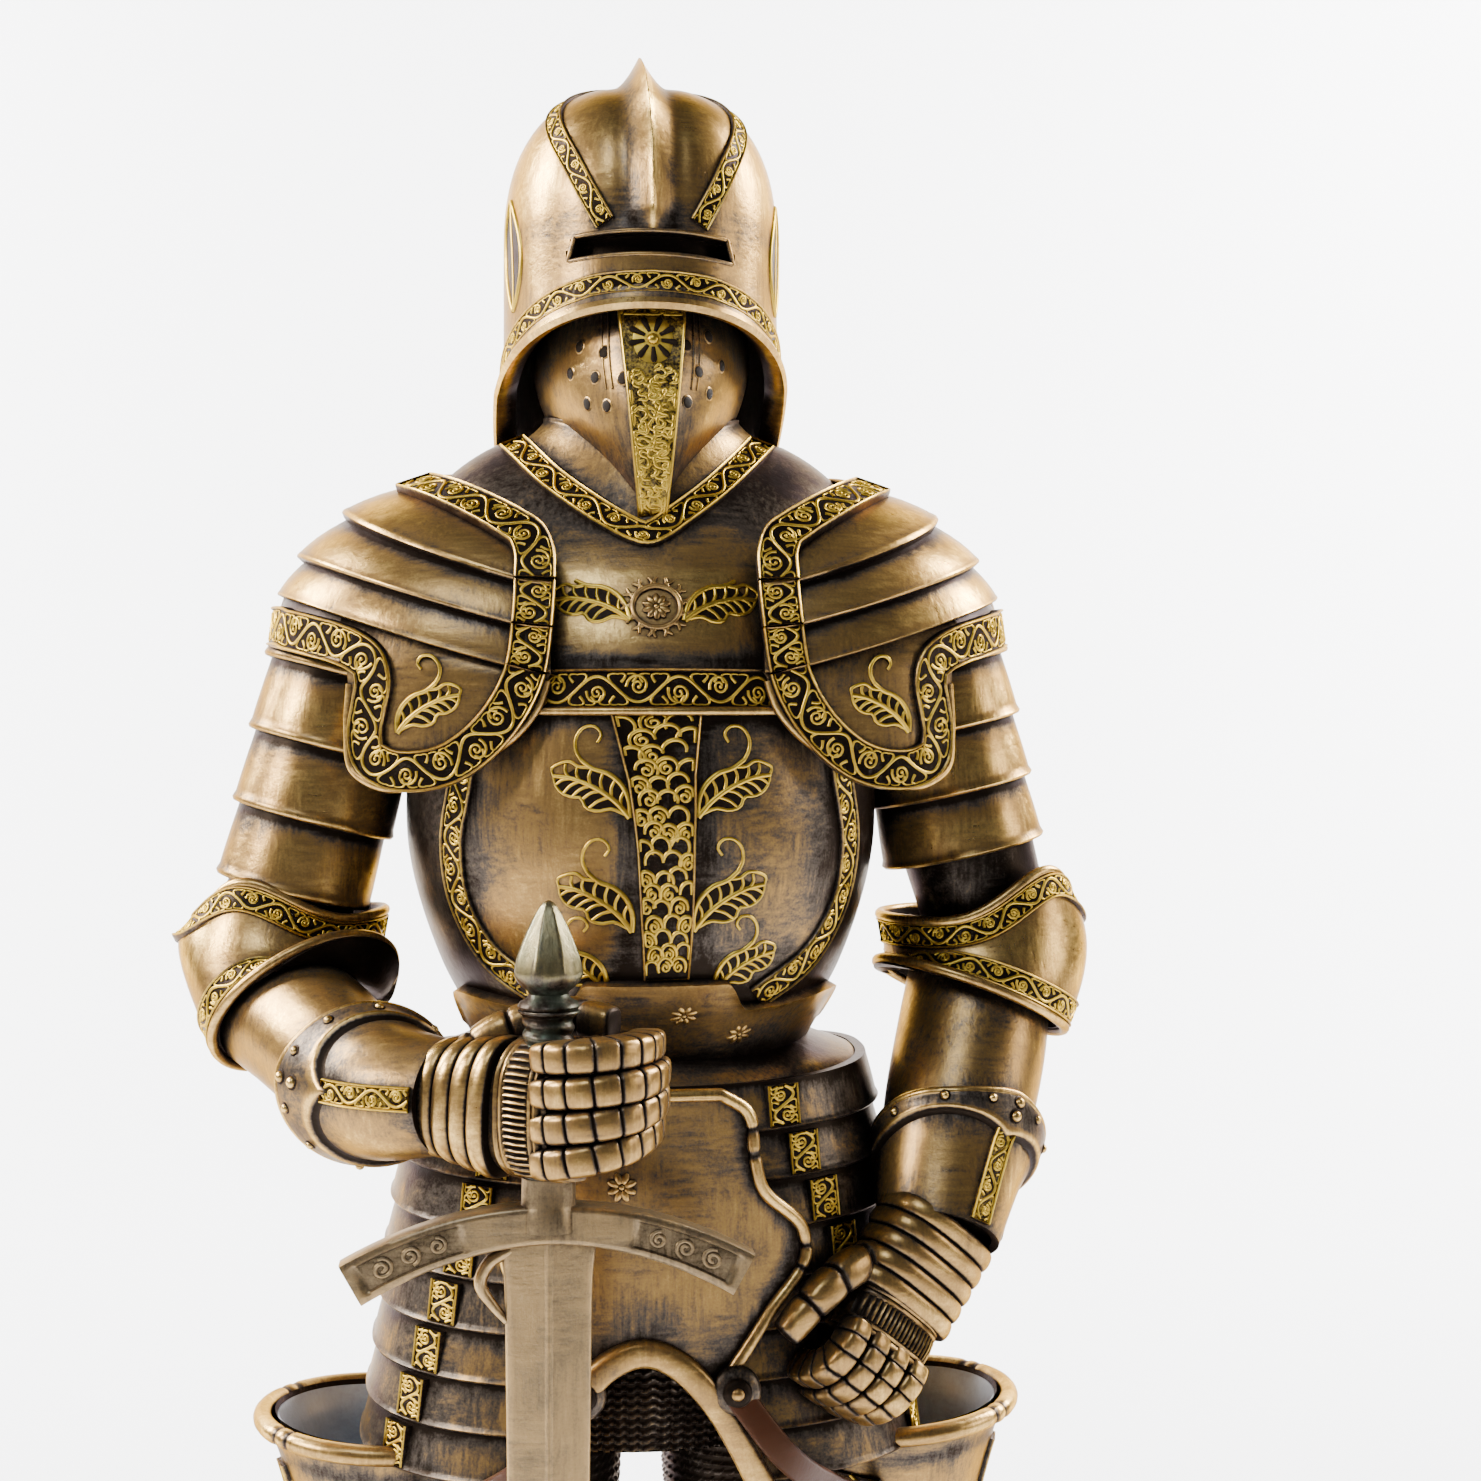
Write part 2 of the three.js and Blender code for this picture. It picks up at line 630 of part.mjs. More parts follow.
// An elbow cop, skinned over three rings of its own
function elbowCop(upper, middle, lower, peakTurn) {
  const sides = 9;
  const ringAt = ({ at, axis, out, wide, deep, peak = 0 }) => {
    const ahead = axis.clone().cross(out).normalize();
    const side = ahead.clone().cross(axis).normalize();
    return Array.from({ length: sides }, (_, n) => {
      const turn = (n / sides) * 2 * Math.PI;
      const lift = peak * Math.max(0, Math.cos(turn - radians(peakTurn))) ** 4;
      return at
        .clone()
        .addScaledVector(side, wide * Math.cos(turn))
        .addScaledVector(ahead, deep * Math.sin(turn))
        .addScaledVector(axis, lift);
    });
  };
  return skinned([upper, middle, lower].map(ringAt));
}

// The right arm: laps over the upper arm, elbow cop, forearm, cuff and wrist laps
function rightArm() {
  const upperArm = limb(
    [
      ...lames({ at: vec(-48, 0, 352), wide: 15, deep: 14.5 }, { at: vec(-61.5, -1, 302), wide: 12.4, deep: 13 }, 4),
      { at: vec(-62, -1, 301), wide: 11.2, deep: 12 }, { at: vec(-66, -1, 288), wide: 10.8, deep: 12 },
      { at: vec(-67, -4, 281), wide: 9, deep: 10 },
    ],
    vec(1, 0, 0), 10,
  );
  const forearm = limb(
    [
      { at: vec(-67, -4, 283), wide: 10.5 }, { at: vec(-60, -15, 281), wide: 11.2 },
      { at: vec(-49, -36, 275.5), wide: 10 }, { at: vec(-40, -53, 272), wide: 8.2, deep: 9 },
    ],
    vec(0, 0, 1), 10,
  );
  const axis = vec(-0.12, 0, 0.99).normalize();
  const cop = elbowCop(
    { at: vec(-61.5, 0, 296.5), axis, out: vec(-1, 0, 0), wide: 16.4, deep: 15, peak: 9 },
    { at: vec(-64, -4, 288.5), axis: vec(0.45, 0.3, 0.84).normalize(), out: vec(-1, 0, 0), wide: 17.5, deep: 15.5 },
    { at: vec(-58.8, -12, 284), axis: vec(-0.45, 0.62, 0.64).normalize(), out: vec(-0.8, -0.2, -0.6), wide: 17, deep: 15 },
    65,
  );
  const cuff = limb(
    [
      { at: vec(-50.5, -33, 275.5), wide: 12.2, deep: 13.2 }, { at: vec(-49.5, -35, 275), wide: 13, deep: 14 },
      { at: vec(-46, -41, 273.8), wide: 9.8, deep: 10.5 }, { at: vec(-40.5, -52, 272), wide: 7.8, deep: 8.6 },
    ],
    vec(0, 0, 1), 10,
  );
  const wristLaps = limb(
    lames({ at: vec(-41.5, -50, 272.2), wide: 8, deep: 7 }, { at: vec(-26.5, -66.4, 272.6), wide: 11.6, deep: 6 }, 4, 0.8),
    vec(0, 0, 1), 8, 2.6,
  );
  return [upperArm, forearm, cop, cuff, wristLaps];
}

function leftArm() {
  const upperArm = limb(
    [
      ...lames({ at: vec(49, 0, 352), wide: 15, deep: 14.5 }, { at: vec(59, -0.5, 308), wide: 13.6, deep: 13.4 }, 4),
      { at: vec(60, -0.5, 307), wide: 12, deep: 12 }, { at: vec(63, -1, 294), wide: 11.6, deep: 12 },
      { at: vec(62, -3, 284), wide: 12.6, deep: 12.6 },
    ],
    vec(1, 0, 0), 10,
  );
  const forearm = limb(
    [
      { at: vec(61.5, -3, 286), wide: 12.8 }, { at: vec(59, -8, 276), wide: 13.4, deep: 13 },
      { at: vec(54.5, -16, 262), wide: 13, deep: 12.5 }, { at: vec(49.5, -27, 246), wide: 10.6, deep: 9 },
    ],
    vec(1, 0, 0), 10,
  );
  const cop = elbowCop(
    { at: vec(60.8, 0, 296.5), axis: vec(0, 0, 1), out: vec(1, 0, 0), wide: 17.2, deep: 16.5, peak: 9 },
    { at: vec(63, -1, 290), axis: vec(-0.02, 0.1, 1).normalize(), out: vec(1, 0, 0), wide: 18.5, deep: 17.5 },
    { at: vec(59.5, -5, 282.5), axis: vec(0.38, 0.2, 0.9).normalize(), out: vec(1, 0, 0), wide: 18, deep: 16.5 },
    -50,
  );
  const cuff = limb(
    [
      { at: vec(54.6, -16, 263), wide: 14.6, deep: 14.5 }, { at: vec(54, -17, 261), wide: 15.4, deep: 15.5 },
      { at: vec(51.5, -22, 254), wide: 12.6, deep: 11.5 }, { at: vec(48.6, -28.5, 245), wide: 10.4, deep: 8.8 },
    ],
    vec(1, 0, 0), 10,
  );
  const wristLaps = limb(
    lames({ at: vec(50, -26, 247), wide: 11.6, deep: 8 }, { at: vec(41, -34.5, 231.5), wide: 10.2, deep: 5.6 }, 3, 0.8),
    vec(0.72, 0.31, -0.62), 8, 2.6,
  );
  return [upperArm, forearm, cop, cuff, wristLaps];
}

// A closed gauntlet hand: palm, ribbed knuckle band, four jointed fingers and the thumb.
// The hand's own axes: along it to the knuckles, across them from first finger to little finger, and out of its back
function fist({ knuckles, along, across, size, thumb }) {
  const back = across.clone().cross(along).normalize().multiplyScalar(across.handed);
  const place = (a, c, b) =>
    knuckles
      .clone()
      .addScaledVector(along, a * size)
      .addScaledVector(across, c * size)
      .addScaledVector(back, b * size);
  const block = (from, to, halfWidth, low, high) =>
    skinned(
      [from, (from + to) / 2, to].map((a) =>
        [[-1, 0.25], [-0.8, 1], [0, 1.12], [0.8, 1], [1, 0.25], [0.85, 0], [-0.85, 0]].map(([c, b]) =>
          place(a, c * halfWidth, lerp(low, high, b)),
        ),
      ),
    );
  const parts = [block(-17, 1.5, 11, -8.5, 2.4), block(-3.6, 3, 12.4, -6, 3.7)];
  const fingerPath = [[1, 0.3], [12, -2.5], [12, -15]];
  for (let f = 0; f < 4; f++) {
    const c = (f - 1.5) * 6.1;
    const shorter = f === 3 ? 0.9 : 1;
    const rings = [];
    fingerPath.forEach(([a, b], i) => {
      if (i + 1 === fingerPath.length) return;
      const [nextA, nextB] = fingerPath[i + 1];
      rings.push({ at: place(a * shorter, c, b), wide: 2.75 * size });
      rings.push({ at: place(lerp(a, nextA, 0.94) * shorter, c, lerp(b, nextB, 0.94)), wide: 3.35 * size });
    });
    parts.push(limb(rings, across, 5));
  }
  parts.push(tube(thumb, 3.4 * size, 5));
  return parts;
}

function hands() {
  const rightAcross = vec(0, 0, -1);
  rightAcross.handed = 1;
  const rightAlong = vec(0.77, -0.64, 0).normalize();
  const leftAcross = vec(0.722, 0.309, -0.619).normalize();
  leftAcross.handed = -1;
  const leftAlong = vec(-0.52, -0.35, -0.78).normalize();
  const right = fist({
    knuckles: vec(-23.8, -67.6, 272.7),
    along: rightAlong,
    across: rightAcross,
    size: 1,
    thumb: [vec(-33, -52, 278), vec(-25, -52.5, 284), vec(-15.5, -53.5, 286.5), vec(-8, -58.5, 286)],
  });
  const left = fist({
    knuckles: vec(38.5, -37, 229),
    along: leftAlong,
    across: leftAcross,
    size: 0.84,
    thumb: [vec(44, -27, 240), vec(33, -36, 242), vec(26, -40.5, 238), vec(20.5, -42, 232.5)],
  });
  return [...right, ...left];
}

// Ornamented bands and leaf sprigs on the breast

function breastOrnament(form) {
  const target = castingTarget(form);
  const centre = frontCurve([[0, 333.5], [0, 325], [0, 314], [0, 303], [0, 291.5]], 3);
  const belt = frontCurve([[-24, 336.6], [-12, 336.4], [0, 336.2], [12, 336.4], [24, 336.6]], 4);
  const side = frontCurve([[-31.5, 322], [-33, 312], [-32.2, 304], [-27.5, 294], [-19, 286.6]], 4);
  const sprigs = [];
  for (const [height, lean] of [[318, 12], [302, 11], [291, 13]]) {
    for (const hand of [-1, 1]) {
      const leaf = [vec(hand * 6.5, 0, height), vec(hand * (8.5 + lean * 0.85), 0, height + lean)];
      sprigs.push(ribbonOn(target, leaf, 4.6, 0.5));
    }
  }
  const wreath = { z: 351, wide: 4.7, high: 4.4, foot: -36, face: -40.3, crown: 0.7 };
  const wreathRing = Array.from({ length: 8 }, (_, i) => {
    const turn = (i / 8) * 2 * Math.PI;
    return vec(wreath.wide * Math.cos(turn), wreath.foot, wreath.z + wreath.high * Math.sin(turn));
  });
  return [
    ribbonOn(target, centre, 12),
    ribbonOn(target, belt, 6.2, 1.0),
    ...bothSides(ribbonOn(target, side, 5.6)),
    ...sprigs,
    skinned([
      wreathRing,
      wreathRing.map((p) => vec(p.x, wreath.face, p.z)),
      wreathRing.map((p) =>
        vec(p.x * wreath.crown, wreath.face - 0.5, wreath.z + (p.z - wreath.z) * wreath.crown),
      ),
    ]),
  ];
}

function helmetOrnament(form) {
  const target = castingTarget(form);
  const brow = frontCurve([[-21, 402.8], [-12, 404.4], [0, 405.6], [12, 404.4], [21, 402.8]], 4);
  const slant = frontCurve([[-8.2, 415.4], [-12.5, 423], [-17.6, 432]], 3);
  return [ribbonOn(target, brow, 3.6, 0.5), ...bothSides(ribbonOn(target, slant, 3.6, 0.5))];
}

function pauldronOrnament(form) {
  const target = castingTarget(form);
  const wing = frontCurve(
    [[20, 359.4], [20.2, 348], [22, 339], [26.4, 331.6], [36.8, 325.2], [45, 325.6], [45.8, 336], [46.2, 341.8], [55, 345.8]],
    6,
  );
  return ribbonOn(target, wing, bandWidth);
}

function knight() {
  const { blank, edging } = skirtFront();
  const trunk = cuirass();
  const helmet = sallet();
  const shoulderPlates = join(pauldron());
  const body = join([
    helmet, bevor(), gorget(), trunk, fauld(), blank,
  ]);
  const arched = body.subtract(archCutter());
  const legs = [...thighGuard(), ...strap(), ...lowerLeg()].flatMap(bothSides);
  const fixed = join([
    arched, ...edging, ...mailAndThighs(), ...legs,
    ...bothSides(shoulderPlates), ...rightArm(), ...leftArm(), ...hands(),
    ...breastOrnament(trunk), ...helmetOrnament(helmet),
    ...bothSides(pauldronOrnament(shoulderPlates)),
  ]);
  return moved(fixed, (p) => p.multiplyScalar(figureScale).add(vec(0, 0, plinthHeight)));
}

// The sword, built at its real place: its grip runs up through the fist, its point stands on the plinth
const onFigure = (height) => plinthHeight + height * figureScale;

function sword() {
  const x = swordX * figureScale;
  const y = swordY * figureScale;
  const guard = onFigure(guardHeight);
  const tip = plinthHeight + swordTipGap;
  const half = swordBladeWidth / 2;
  const tipHalf = swordBladeTipWidth / 2;
  const thick = swordBladeThickness / 2;
  const bladeRing = (z, wide, deep) => [
    vec(x - wide, y, z), vec(x, y - deep, z), vec(x + wide, y, z), vec(x, y + deep, z),
  ];
  const blade = skinned([
    bladeRing(tip, 0.4, 0.4),
    bladeRing(tip + swordPointLength, tipHalf, thick * 0.8),
    bladeRing(guard - 12, half * 0.96, thick),
    bladeRing(guard - 4, half * 0.99, thick * 1.1),
    bladeRing(guard + 1, half * 1.04, thick * 1.2),
  ]);

  const guardSteps = 8;
  const guardBar = skinned(
    Array.from({ length: guardSteps + 1 }, (_, i) => {
      const share = lerp(-1, 1, i / guardSteps);
      const drop = swordGuardDrop * share * share;
      const tall = lerp(2.9, 3.4, Math.abs(share));
      const deep = (swordGuardThickness / 2) * lerp(1, 0.8, Math.abs(share));
      const slope = Math.atan2(2 * swordGuardDrop * share, swordGuardSpan / 2);
      const middle = vec(x + (share * swordGuardSpan) / 2, y, guard + 1 - drop);
      return [[-1, -1], [1, -1], [1, 1], [-1, 1]].map(([up, ahead]) =>
        middle.clone().add(vec(Math.sin(slope) * up * tall, ahead * deep, Math.cos(slope) * up * tall)),
      );
    }),
  );

  const top = onFigure(pommelTop);
  const profile = [
    [0.01, guard - 1], [swordGripRadius, guard - 1], [swordGripRadius, top - 17], [4.7, top - 16],
    [3.1, top - 14.8], [3.1, top - 13.6], [5.6, top - 11.2], [5.2, top - 8.6], [3.3, top - 4], [1.1, top - 0.6],
    [0.01, top],
  ];
  const rings = profile.slice(1, -1).map(([radius, z]) =>
    Array.from({ length: 10 }, (_, i) => {
      const turn = (i / 10) * 2 * Math.PI;
      return vec(x + radius * Math.cos(turn), y + radius * Math.sin(turn), z);
    }),
  );
  return join([blade, guardBar, skinned(rings)]);
}

// The way the grip takes through the fist
function gripPassage() {
  const radius = swordGripRadius + swordGripClearance;
  const ring = (z) =>
    Array.from({ length: 10 }, (_, i) => {
      const turn = (i / 10) * 2 * Math.PI;
      return vec(
        swordX * figureScale + radius * Math.cos(turn),
        swordY * figureScale + radius * Math.sin(turn),
        z,
      );
    });
  return skinned([ring(onFigure(guardHeight - 6)), ring(onFigure(pommelTop + 4))]);
}

// A low plinth with cut corners and one step
function plinth() {
  const outline = (setback) => {
    const w = plinthWidth / 2 - setback;
    const d = plinthDepth / 2 - setback;
    const cut = plinthCornerCut - setback * 0.6;
    return [[w, -d + cut], [w, d - cut], [w - cut, d], [-w + cut, d], [-w, d - cut], [-w, -d + cut], [-w + cut, -d], [w - cut, -d]];
  };
  const layer = (setback, z) => outline(setback).map(([px, py]) => vec(px, py, z));
  const step = plinthHeight - plinthStepHeight;
  return skinned([
    layer(0, 0), layer(0, step * 0.45), layer(1.6, step * 0.6), layer(1.6, step - 1.6), layer(plinthStepSetback, step),
    layer(plinthStepSetback, plinthHeight - 1), layer(plinthStepSetback + 1, plinthHeight),
  ]);
}

// The finished group, one named mesh for each piece
const bronze = () => new THREE.MeshStandardMaterial({ color: 0x8a6a3c, roughness: 0.42, metalness: 0.8 });
const paleBronze = () => new THREE.MeshStandardMaterial({ color: 0xa08a62, roughness: 0.5, metalness: 0.7 });
const darkBronze = () => new THREE.MeshStandardMaterial({ color: 0x33281c, roughness: 0.5, metalness: 0.6 });

function named(name, solid, material) {
  const mesh = new THREE.Mesh(geometryOf(solid), material);
  mesh.name = name;
  return mesh;
}

const group = new THREE.Group();
group.add(named("knight", knight().subtract(gripPassage()), bronze()));
group.add(named("sword", sword(), paleBronze()));
group.add(named("plinth", plinth(), darkBronze()));

export default group;
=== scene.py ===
"""Dressed model of a medieval knight statue, cast in resin and finished as antique bronze.

Each form is a surface worked out with numpy from a few sizes in millimetres, measured above the figure's
soles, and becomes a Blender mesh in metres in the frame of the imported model.
"""
import logging
import math
from collections.abc import Callable, Sequence
from dataclasses import dataclass, field
from enum import Enum

import bpy
import numpy as np
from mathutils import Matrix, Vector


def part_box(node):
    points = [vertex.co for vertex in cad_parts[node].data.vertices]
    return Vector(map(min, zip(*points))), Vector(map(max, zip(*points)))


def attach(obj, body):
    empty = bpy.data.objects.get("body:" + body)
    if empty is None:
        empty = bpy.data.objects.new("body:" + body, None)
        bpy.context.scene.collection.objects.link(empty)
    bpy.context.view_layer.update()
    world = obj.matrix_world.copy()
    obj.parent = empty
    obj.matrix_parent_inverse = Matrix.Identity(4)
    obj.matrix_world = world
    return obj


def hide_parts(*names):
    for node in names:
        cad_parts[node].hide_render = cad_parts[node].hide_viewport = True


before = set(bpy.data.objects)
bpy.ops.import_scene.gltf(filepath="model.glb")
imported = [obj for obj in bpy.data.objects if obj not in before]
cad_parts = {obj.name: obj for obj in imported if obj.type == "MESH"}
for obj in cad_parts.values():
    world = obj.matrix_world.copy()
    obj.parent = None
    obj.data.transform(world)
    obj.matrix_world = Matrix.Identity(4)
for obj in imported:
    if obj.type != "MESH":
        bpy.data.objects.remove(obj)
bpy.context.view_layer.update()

log = logging.getLogger("knight")

Array = np.ndarray
Triple = tuple[float, float, float]
Stations = Sequence[tuple[float, ...]]

MM = 0.001
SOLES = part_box("plinth")[1][2] / MM
SHARP_ANGLE = math.radians(52)
PICTURE_PIXELS = 1481
LINE_FOOT = 0.12
SIDEWAYS = (1.0, 0.0, 0.0)
UPWARDS = (0.0, 0.0, 1.0)


class Slot(Enum):
    """Material slots of the record."""

    FIGURE = "antique_bronze"
    SWORD = "pale_bronze"
    PLINTH = "dark_bronze"


# Curves and surfaces


def smoothstep(value: Array, low: float, high: float) -> Array:
    """Share that eases from 0 at low to 1 at high."""
    share = np.clip((np.asarray(value, float) - low) / (high - low), 0.0, 1.0)
    return share * share * (3.0 - 2.0 * share)


def bell(value: Array, middle: float, width: float) -> Array:
    """Bell curve of height 1 round a middle."""
    return np.exp(-(((value - middle) / width) ** 2))


def circle(count: int) -> Array:
    """Angles round a full circle, in equal steps."""
    return np.arange(count) / count * 2 * np.pi


def shares(count: int) -> Array:
    """Even steps from 0 to 1."""
    return np.linspace(0.0, 1.0, count)


def notches(along: Array, places: Sequence[float], width: float) -> Array:
    """Depth of notches along a rim: a bell of height 1 at each place."""
    return np.minimum(sum(bell(along, place, width) for place in places), 1.0)


def signed_power(value: Array, exponent: float) -> Array:
    """Power of the size of each value, with its sign kept."""
    return np.sign(value) * np.abs(value) ** exponent


def unit(vectors: Array) -> Array:
    """Vectors of length one along the last axis."""
    return vectors / np.maximum(np.linalg.norm(vectors, axis=-1, keepdims=True), 1e-9)


def stack(x: Array, y: Array, z: Array) -> Array:
    """Points from three arrays that broadcast against each other."""
    return np.stack(np.broadcast_arrays(x, y, z), axis=-1).astype(float)


def oval(turn: Array, wide: Array, front: Array, back: Array, exponent: float = 2.2) -> tuple[Array, Array]:
    """Point of an oval in plan, by angle from the front round to +X.

    Args:
        turn: angles in radians, 0 at the front.
        wide: half width.
        front: reach towards -Y.
        back: reach towards +Y.
        exponent: superellipse exponent, 2 for an ellipse.

    Returns:
        x and y: the sine and cosine, each to the power 2 / exponent, times the reaches.
    """
    sine, cosine = np.sin(turn), np.cos(turn)
    reach = np.where(cosine > 0, front, back)
    return wide * signed_power(sine, 2 / exponent), -reach * signed_power(cosine, 2 / exponent)


def through(knots: Sequence[float], values: Sequence, at: Array) -> Array:
    """Smooth curve through values at knots: cubic Hermite pieces whose slopes are central differences.

    Args:
        knots: rising parameter values.
        values: one number or one vector for each knot.
        at: parameters to read the curve at.

    Returns:
        The curve's values, held constant beyond the ends.
    """
    knots, values, at = np.asarray(knots, float), np.asarray(values, float), np.asarray(at, float)
    slopes = np.gradient(values, knots, axis=0)
    index = np.clip(np.searchsorted(knots, at, side="right") - 1, 0, len(knots) - 2)
    span = knots[index + 1] - knots[index]
    share = np.clip((at - knots[index]) / span, 0.0, 1.0)
    if values.ndim == 2:
        span, share = span[..., None], share[..., None]
    square, cube = share**2, share**3
    return (
        (2 * cube - 3 * square + 1) * values[index]
        + (cube - 2 * square + share) * span * slopes[index]
        + (3 * square - 2 * cube) * values[index + 1]
        + (cube - square) * span * slopes[index + 1]
    )


def arc_lengths(points: Array) -> Array:
    """Length along a line of points, from 0 at its first."""
    return np.concatenate([[0.0], np.cumsum(np.linalg.norm(np.diff(points, axis=0), axis=1))])


def columns_at(parameter: Array, knots: Array, table: Array) -> Array:
    """Rows of a table read between its knots, one straight interpolation for each column."""
    return np.stack([np.interp(parameter, knots, table[:, c]) for c in range(table.shape[1])], axis=-1)


def smooth_line(points: Sequence, count: int) -> Array:
    """Smooth line through points, in equal steps along its length.

    Args:
        points: the points, of any dimension.
        count: points of the smooth line.

    Returns:
        The line, as (count, dimensions).
    """
    points = np.asarray(points, float)
    chord = arc_lengths(points)
    fine = through(chord, points, np.linspace(0.0, chord[-1], count * 6))
    length = arc_lengths(fine)
    return columns_at(np.linspace(0.0, length[-1], count), length, fine)


@dataclass(frozen=True)
class Skin:
    """Surface of two parameters with its outward normal.

    Args:
        shape: gives points for two arrays of parameters.
        facing: 1 where the cross product of the two slopes points outwards, else -1.
        step: half the distance between the two probes of a slope.
    """

    shape: Callable[[Array, Array], Array]
    facing: float = 1.0
    step: float = 1e-3

    def at(self, u: Array, v: Array) -> Array:
        """Points of the surface."""
        return self.shape(*np.broadcast_arrays(np.asarray(u, float), np.asarray(v, float)))

    def normal(self, u: Array, v: Array) -> Array:
        """Outward unit normals, from the slopes along both parameters.

        Args:
            u: first parameter.
            v: second parameter.

        Returns:
            The normals, as (..., 3).
        """
        u, v = np.broadcast_arrays(np.asarray(u, float), np.asarray(v, float))
        along = self.shape(u + self.step, v) - self.shape(u - self.step, v)
        across = self.shape(u, v + self.step) - self.shape(u, v - self.step)
        return unit(np.cross(along, across)) * self.facing

    def lift(self, u: Array, v: Array, height: Array) -> Array:
        """Points at a height over the surface."""
        return self.at(u, v) + self.normal(u, v) * np.asarray(height, float)[..., None]

    def line(self, casting: "Casting", u: Array, v: Array, radius: Array, gilt: float = 1.0,
             polish_and_painted_light: float = 0.9, height: float = 0.0) -> None:
        """Half-round lines along parameters of the surface.

        Args:
            casting: takes the lines.
            u: first parameter, for one line or as (lines, points).
            v: second parameter, in the same way.
            radius: half the lines' width.
            gilt: their gilding.
            polish_and_painted_light: their polish.
            height: height of their feet over the surface.
        """
        raised_lines(casting, self.lift(u, v, height), self.normal(u, v), radius, gilt, polish_and_painted_light)


# Meshes


def tube_quads(stations: int, around: int, closed: bool) -> Array:
    """Corner indices of a tube's faces, with its two ends zipped across, or joined to each other.

    Args:
        stations: rings of the tube.
        around: points of each ring, an even number.
        closed: joins the last ring to the first.

    Returns:
        The faces, as (faces, 4).
    """
    i, j = np.meshgrid(np.arange(stations if closed else stations - 1), np.arange(around), indexing="ij")
    after_i, after_j = (i + 1) % stations, (j + 1) % around
    sides = np.stack(
        [i * around + j, i * around + after_j, after_i * around + after_j, after_i * around + j], axis=-1
    ).reshape(-1, 4)
    if closed:
        return sides
    k = np.arange(around // 2 - 1)
    zipped = np.stack([k, k + 1, around - 2 - k, around - 1 - k], axis=-1)
    return np.concatenate([sides, zipped[:, ::-1], zipped + (stations - 1) * around])


class Casting:
    """Closed forms gathered into one mesh, each point with its polish, which in places is painted shade and
    painted highlight, and its gilding.
    """

    def __init__(self) -> None:
        """Starts with nothing in it."""
        self.points: list[Array] = []
        self.quads: list[Array] = []
        self.polish_and_painted_light: list[Array] = []
        self.gilt: list[Array] = []
        self.size = 0

    def add(self, rings: Array, polish_and_painted_light: Array = 0.7, gilt: Array = 0.0, closed: bool = False) -> None:
        """Adds closed tubes, turned to face outwards by the sign of their volume.

        Args:
            rings: points as (..., stations, around, 3), with an even number around.
            polish_and_painted_light: how much the brushed bronze caught each point, 0 for the dark ground; in
                places it also carries painted shade and painted highlights.
            gilt: how much yellow gilding each point carries.
            closed: joins the last station to the first.
        """
        rings = np.asarray(rings, float)
        stations, around = rings.shape[-3:-1]
        batch = rings.reshape(-1, stations * around, 3)
        local = tube_quads(stations, around, closed)
        a, b, c, d = (batch[:, local[:, corner]] - batch[:, :1] for corner in range(4))
        volume = np.einsum("bfx,bfx->b", a, np.cross(b, c)) + np.einsum("bfx,bfx->b", a, np.cross(c, d))
        quads = np.where(volume[:, None, None] < 0, local[None, :, ::-1], local[None])
        start = self.size + np.arange(len(batch)) * stations * around
        self.quads.append((quads + start[:, None, None]).reshape(-1, 4))
        self.points.append(batch.reshape(-1, 3))
        for store, value in ((self.polish_and_painted_light, polish_and_painted_light), (self.gilt, gilt)):
            store.append(np.broadcast_to(value, rings.shape[:-1]).astype(float).ravel())
        self.size += batch.shape[0] * batch.shape[1]

    def mirrored(self) -> "Casting":
        """The same forms on the other side of the figure's middle plane.

        Returns:
            A new casting, with its faces turned so that they look outwards.
        """
        other = Casting()
        other.points = [points * np.array([-1.0, 1.0, 1.0]) for points in self.points]
        other.quads = [quads[:, ::-1] for quads in self.quads]
        other.polish_and_painted_light, other.gilt, other.size = list(self.polish_and_painted_light), list(self.gilt), self.size
        return other

    def build(self, name: str, material: bpy.types.Material, slot: Slot, node: str) -> bpy.types.Object:
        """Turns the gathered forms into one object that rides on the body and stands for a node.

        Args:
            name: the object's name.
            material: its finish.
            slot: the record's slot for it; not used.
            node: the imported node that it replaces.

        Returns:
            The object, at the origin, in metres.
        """
        points = (np.concatenate(self.points) + np.array([0.0, 0.0, SOLES])) * MM
        quads = np.concatenate(self.quads)
        mesh = bpy.data.meshes.new(name)
        mesh.from_pydata(points, [], quads)
        for label, store in (("polish_and_painted_light", self.polish_and_painted_light), ("gilt", self.gilt)):
            layer = mesh.attributes.new(label, "FLOAT", "POINT")
            layer.data.foreach_set("value", np.concatenate(store).astype(np.float32))
        mesh.shade_smooth()
        mesh.set_sharp_from_angle(angle=SHARP_ANGLE)
        mesh.materials.append(material)
        piece = bpy.data.objects.new(name, mesh)
        bpy.context.scene.collection.objects.link(piece)
        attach(piece, "root")
        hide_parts(node)
        log.info("%s: %d triangles", name, 2 * len(quads))
        return piece


def raised_lines(
    casting: Casting,
    centre: Array,
    normal: Array,
    radius: Array,
    gilt: Array = 1.0,
    polish_and_painted_light: Array = 0.9,
    height: float = 0.9,
) -> None:
    """Half-round lines laid on a surface: five points over the line and one under it.

    Args:
        casting: takes the lines.
        centre: points on the surface, as (lines, points, 3).
        normal: the surface's normals there.
        radius: half the line's width, broadcast to (lines, points).
        gilt: gilding of the lines.
        polish_and_painted_light: polish of the lines.
        height: how high a line stands, as a share of its radius.
    """
    side = unit(np.cross(normal, unit(np.gradient(centre, axis=-2))))
    radius = np.broadcast_to(radius, centre.shape[:-1])[..., None, None]
    angles = np.radians([0.0, 45.0, 90.0, 135.0, 180.0])
    across = np.concatenate([np.cos(angles), [0.0]])[:, None]
    above = np.concatenate([np.sin(angles) * height, [-1.2]])[:, None]
    rings = centre[..., None, :] + radius * (side[..., None, :] * across + normal[..., None, :] * above)
    polish_and_painted_light, gilt = (np.broadcast_to(value, centre.shape[:-1])[..., None] for value in (polish_and_painted_light, gilt))
    casting.add(rings, polish_and_painted_light, gilt)


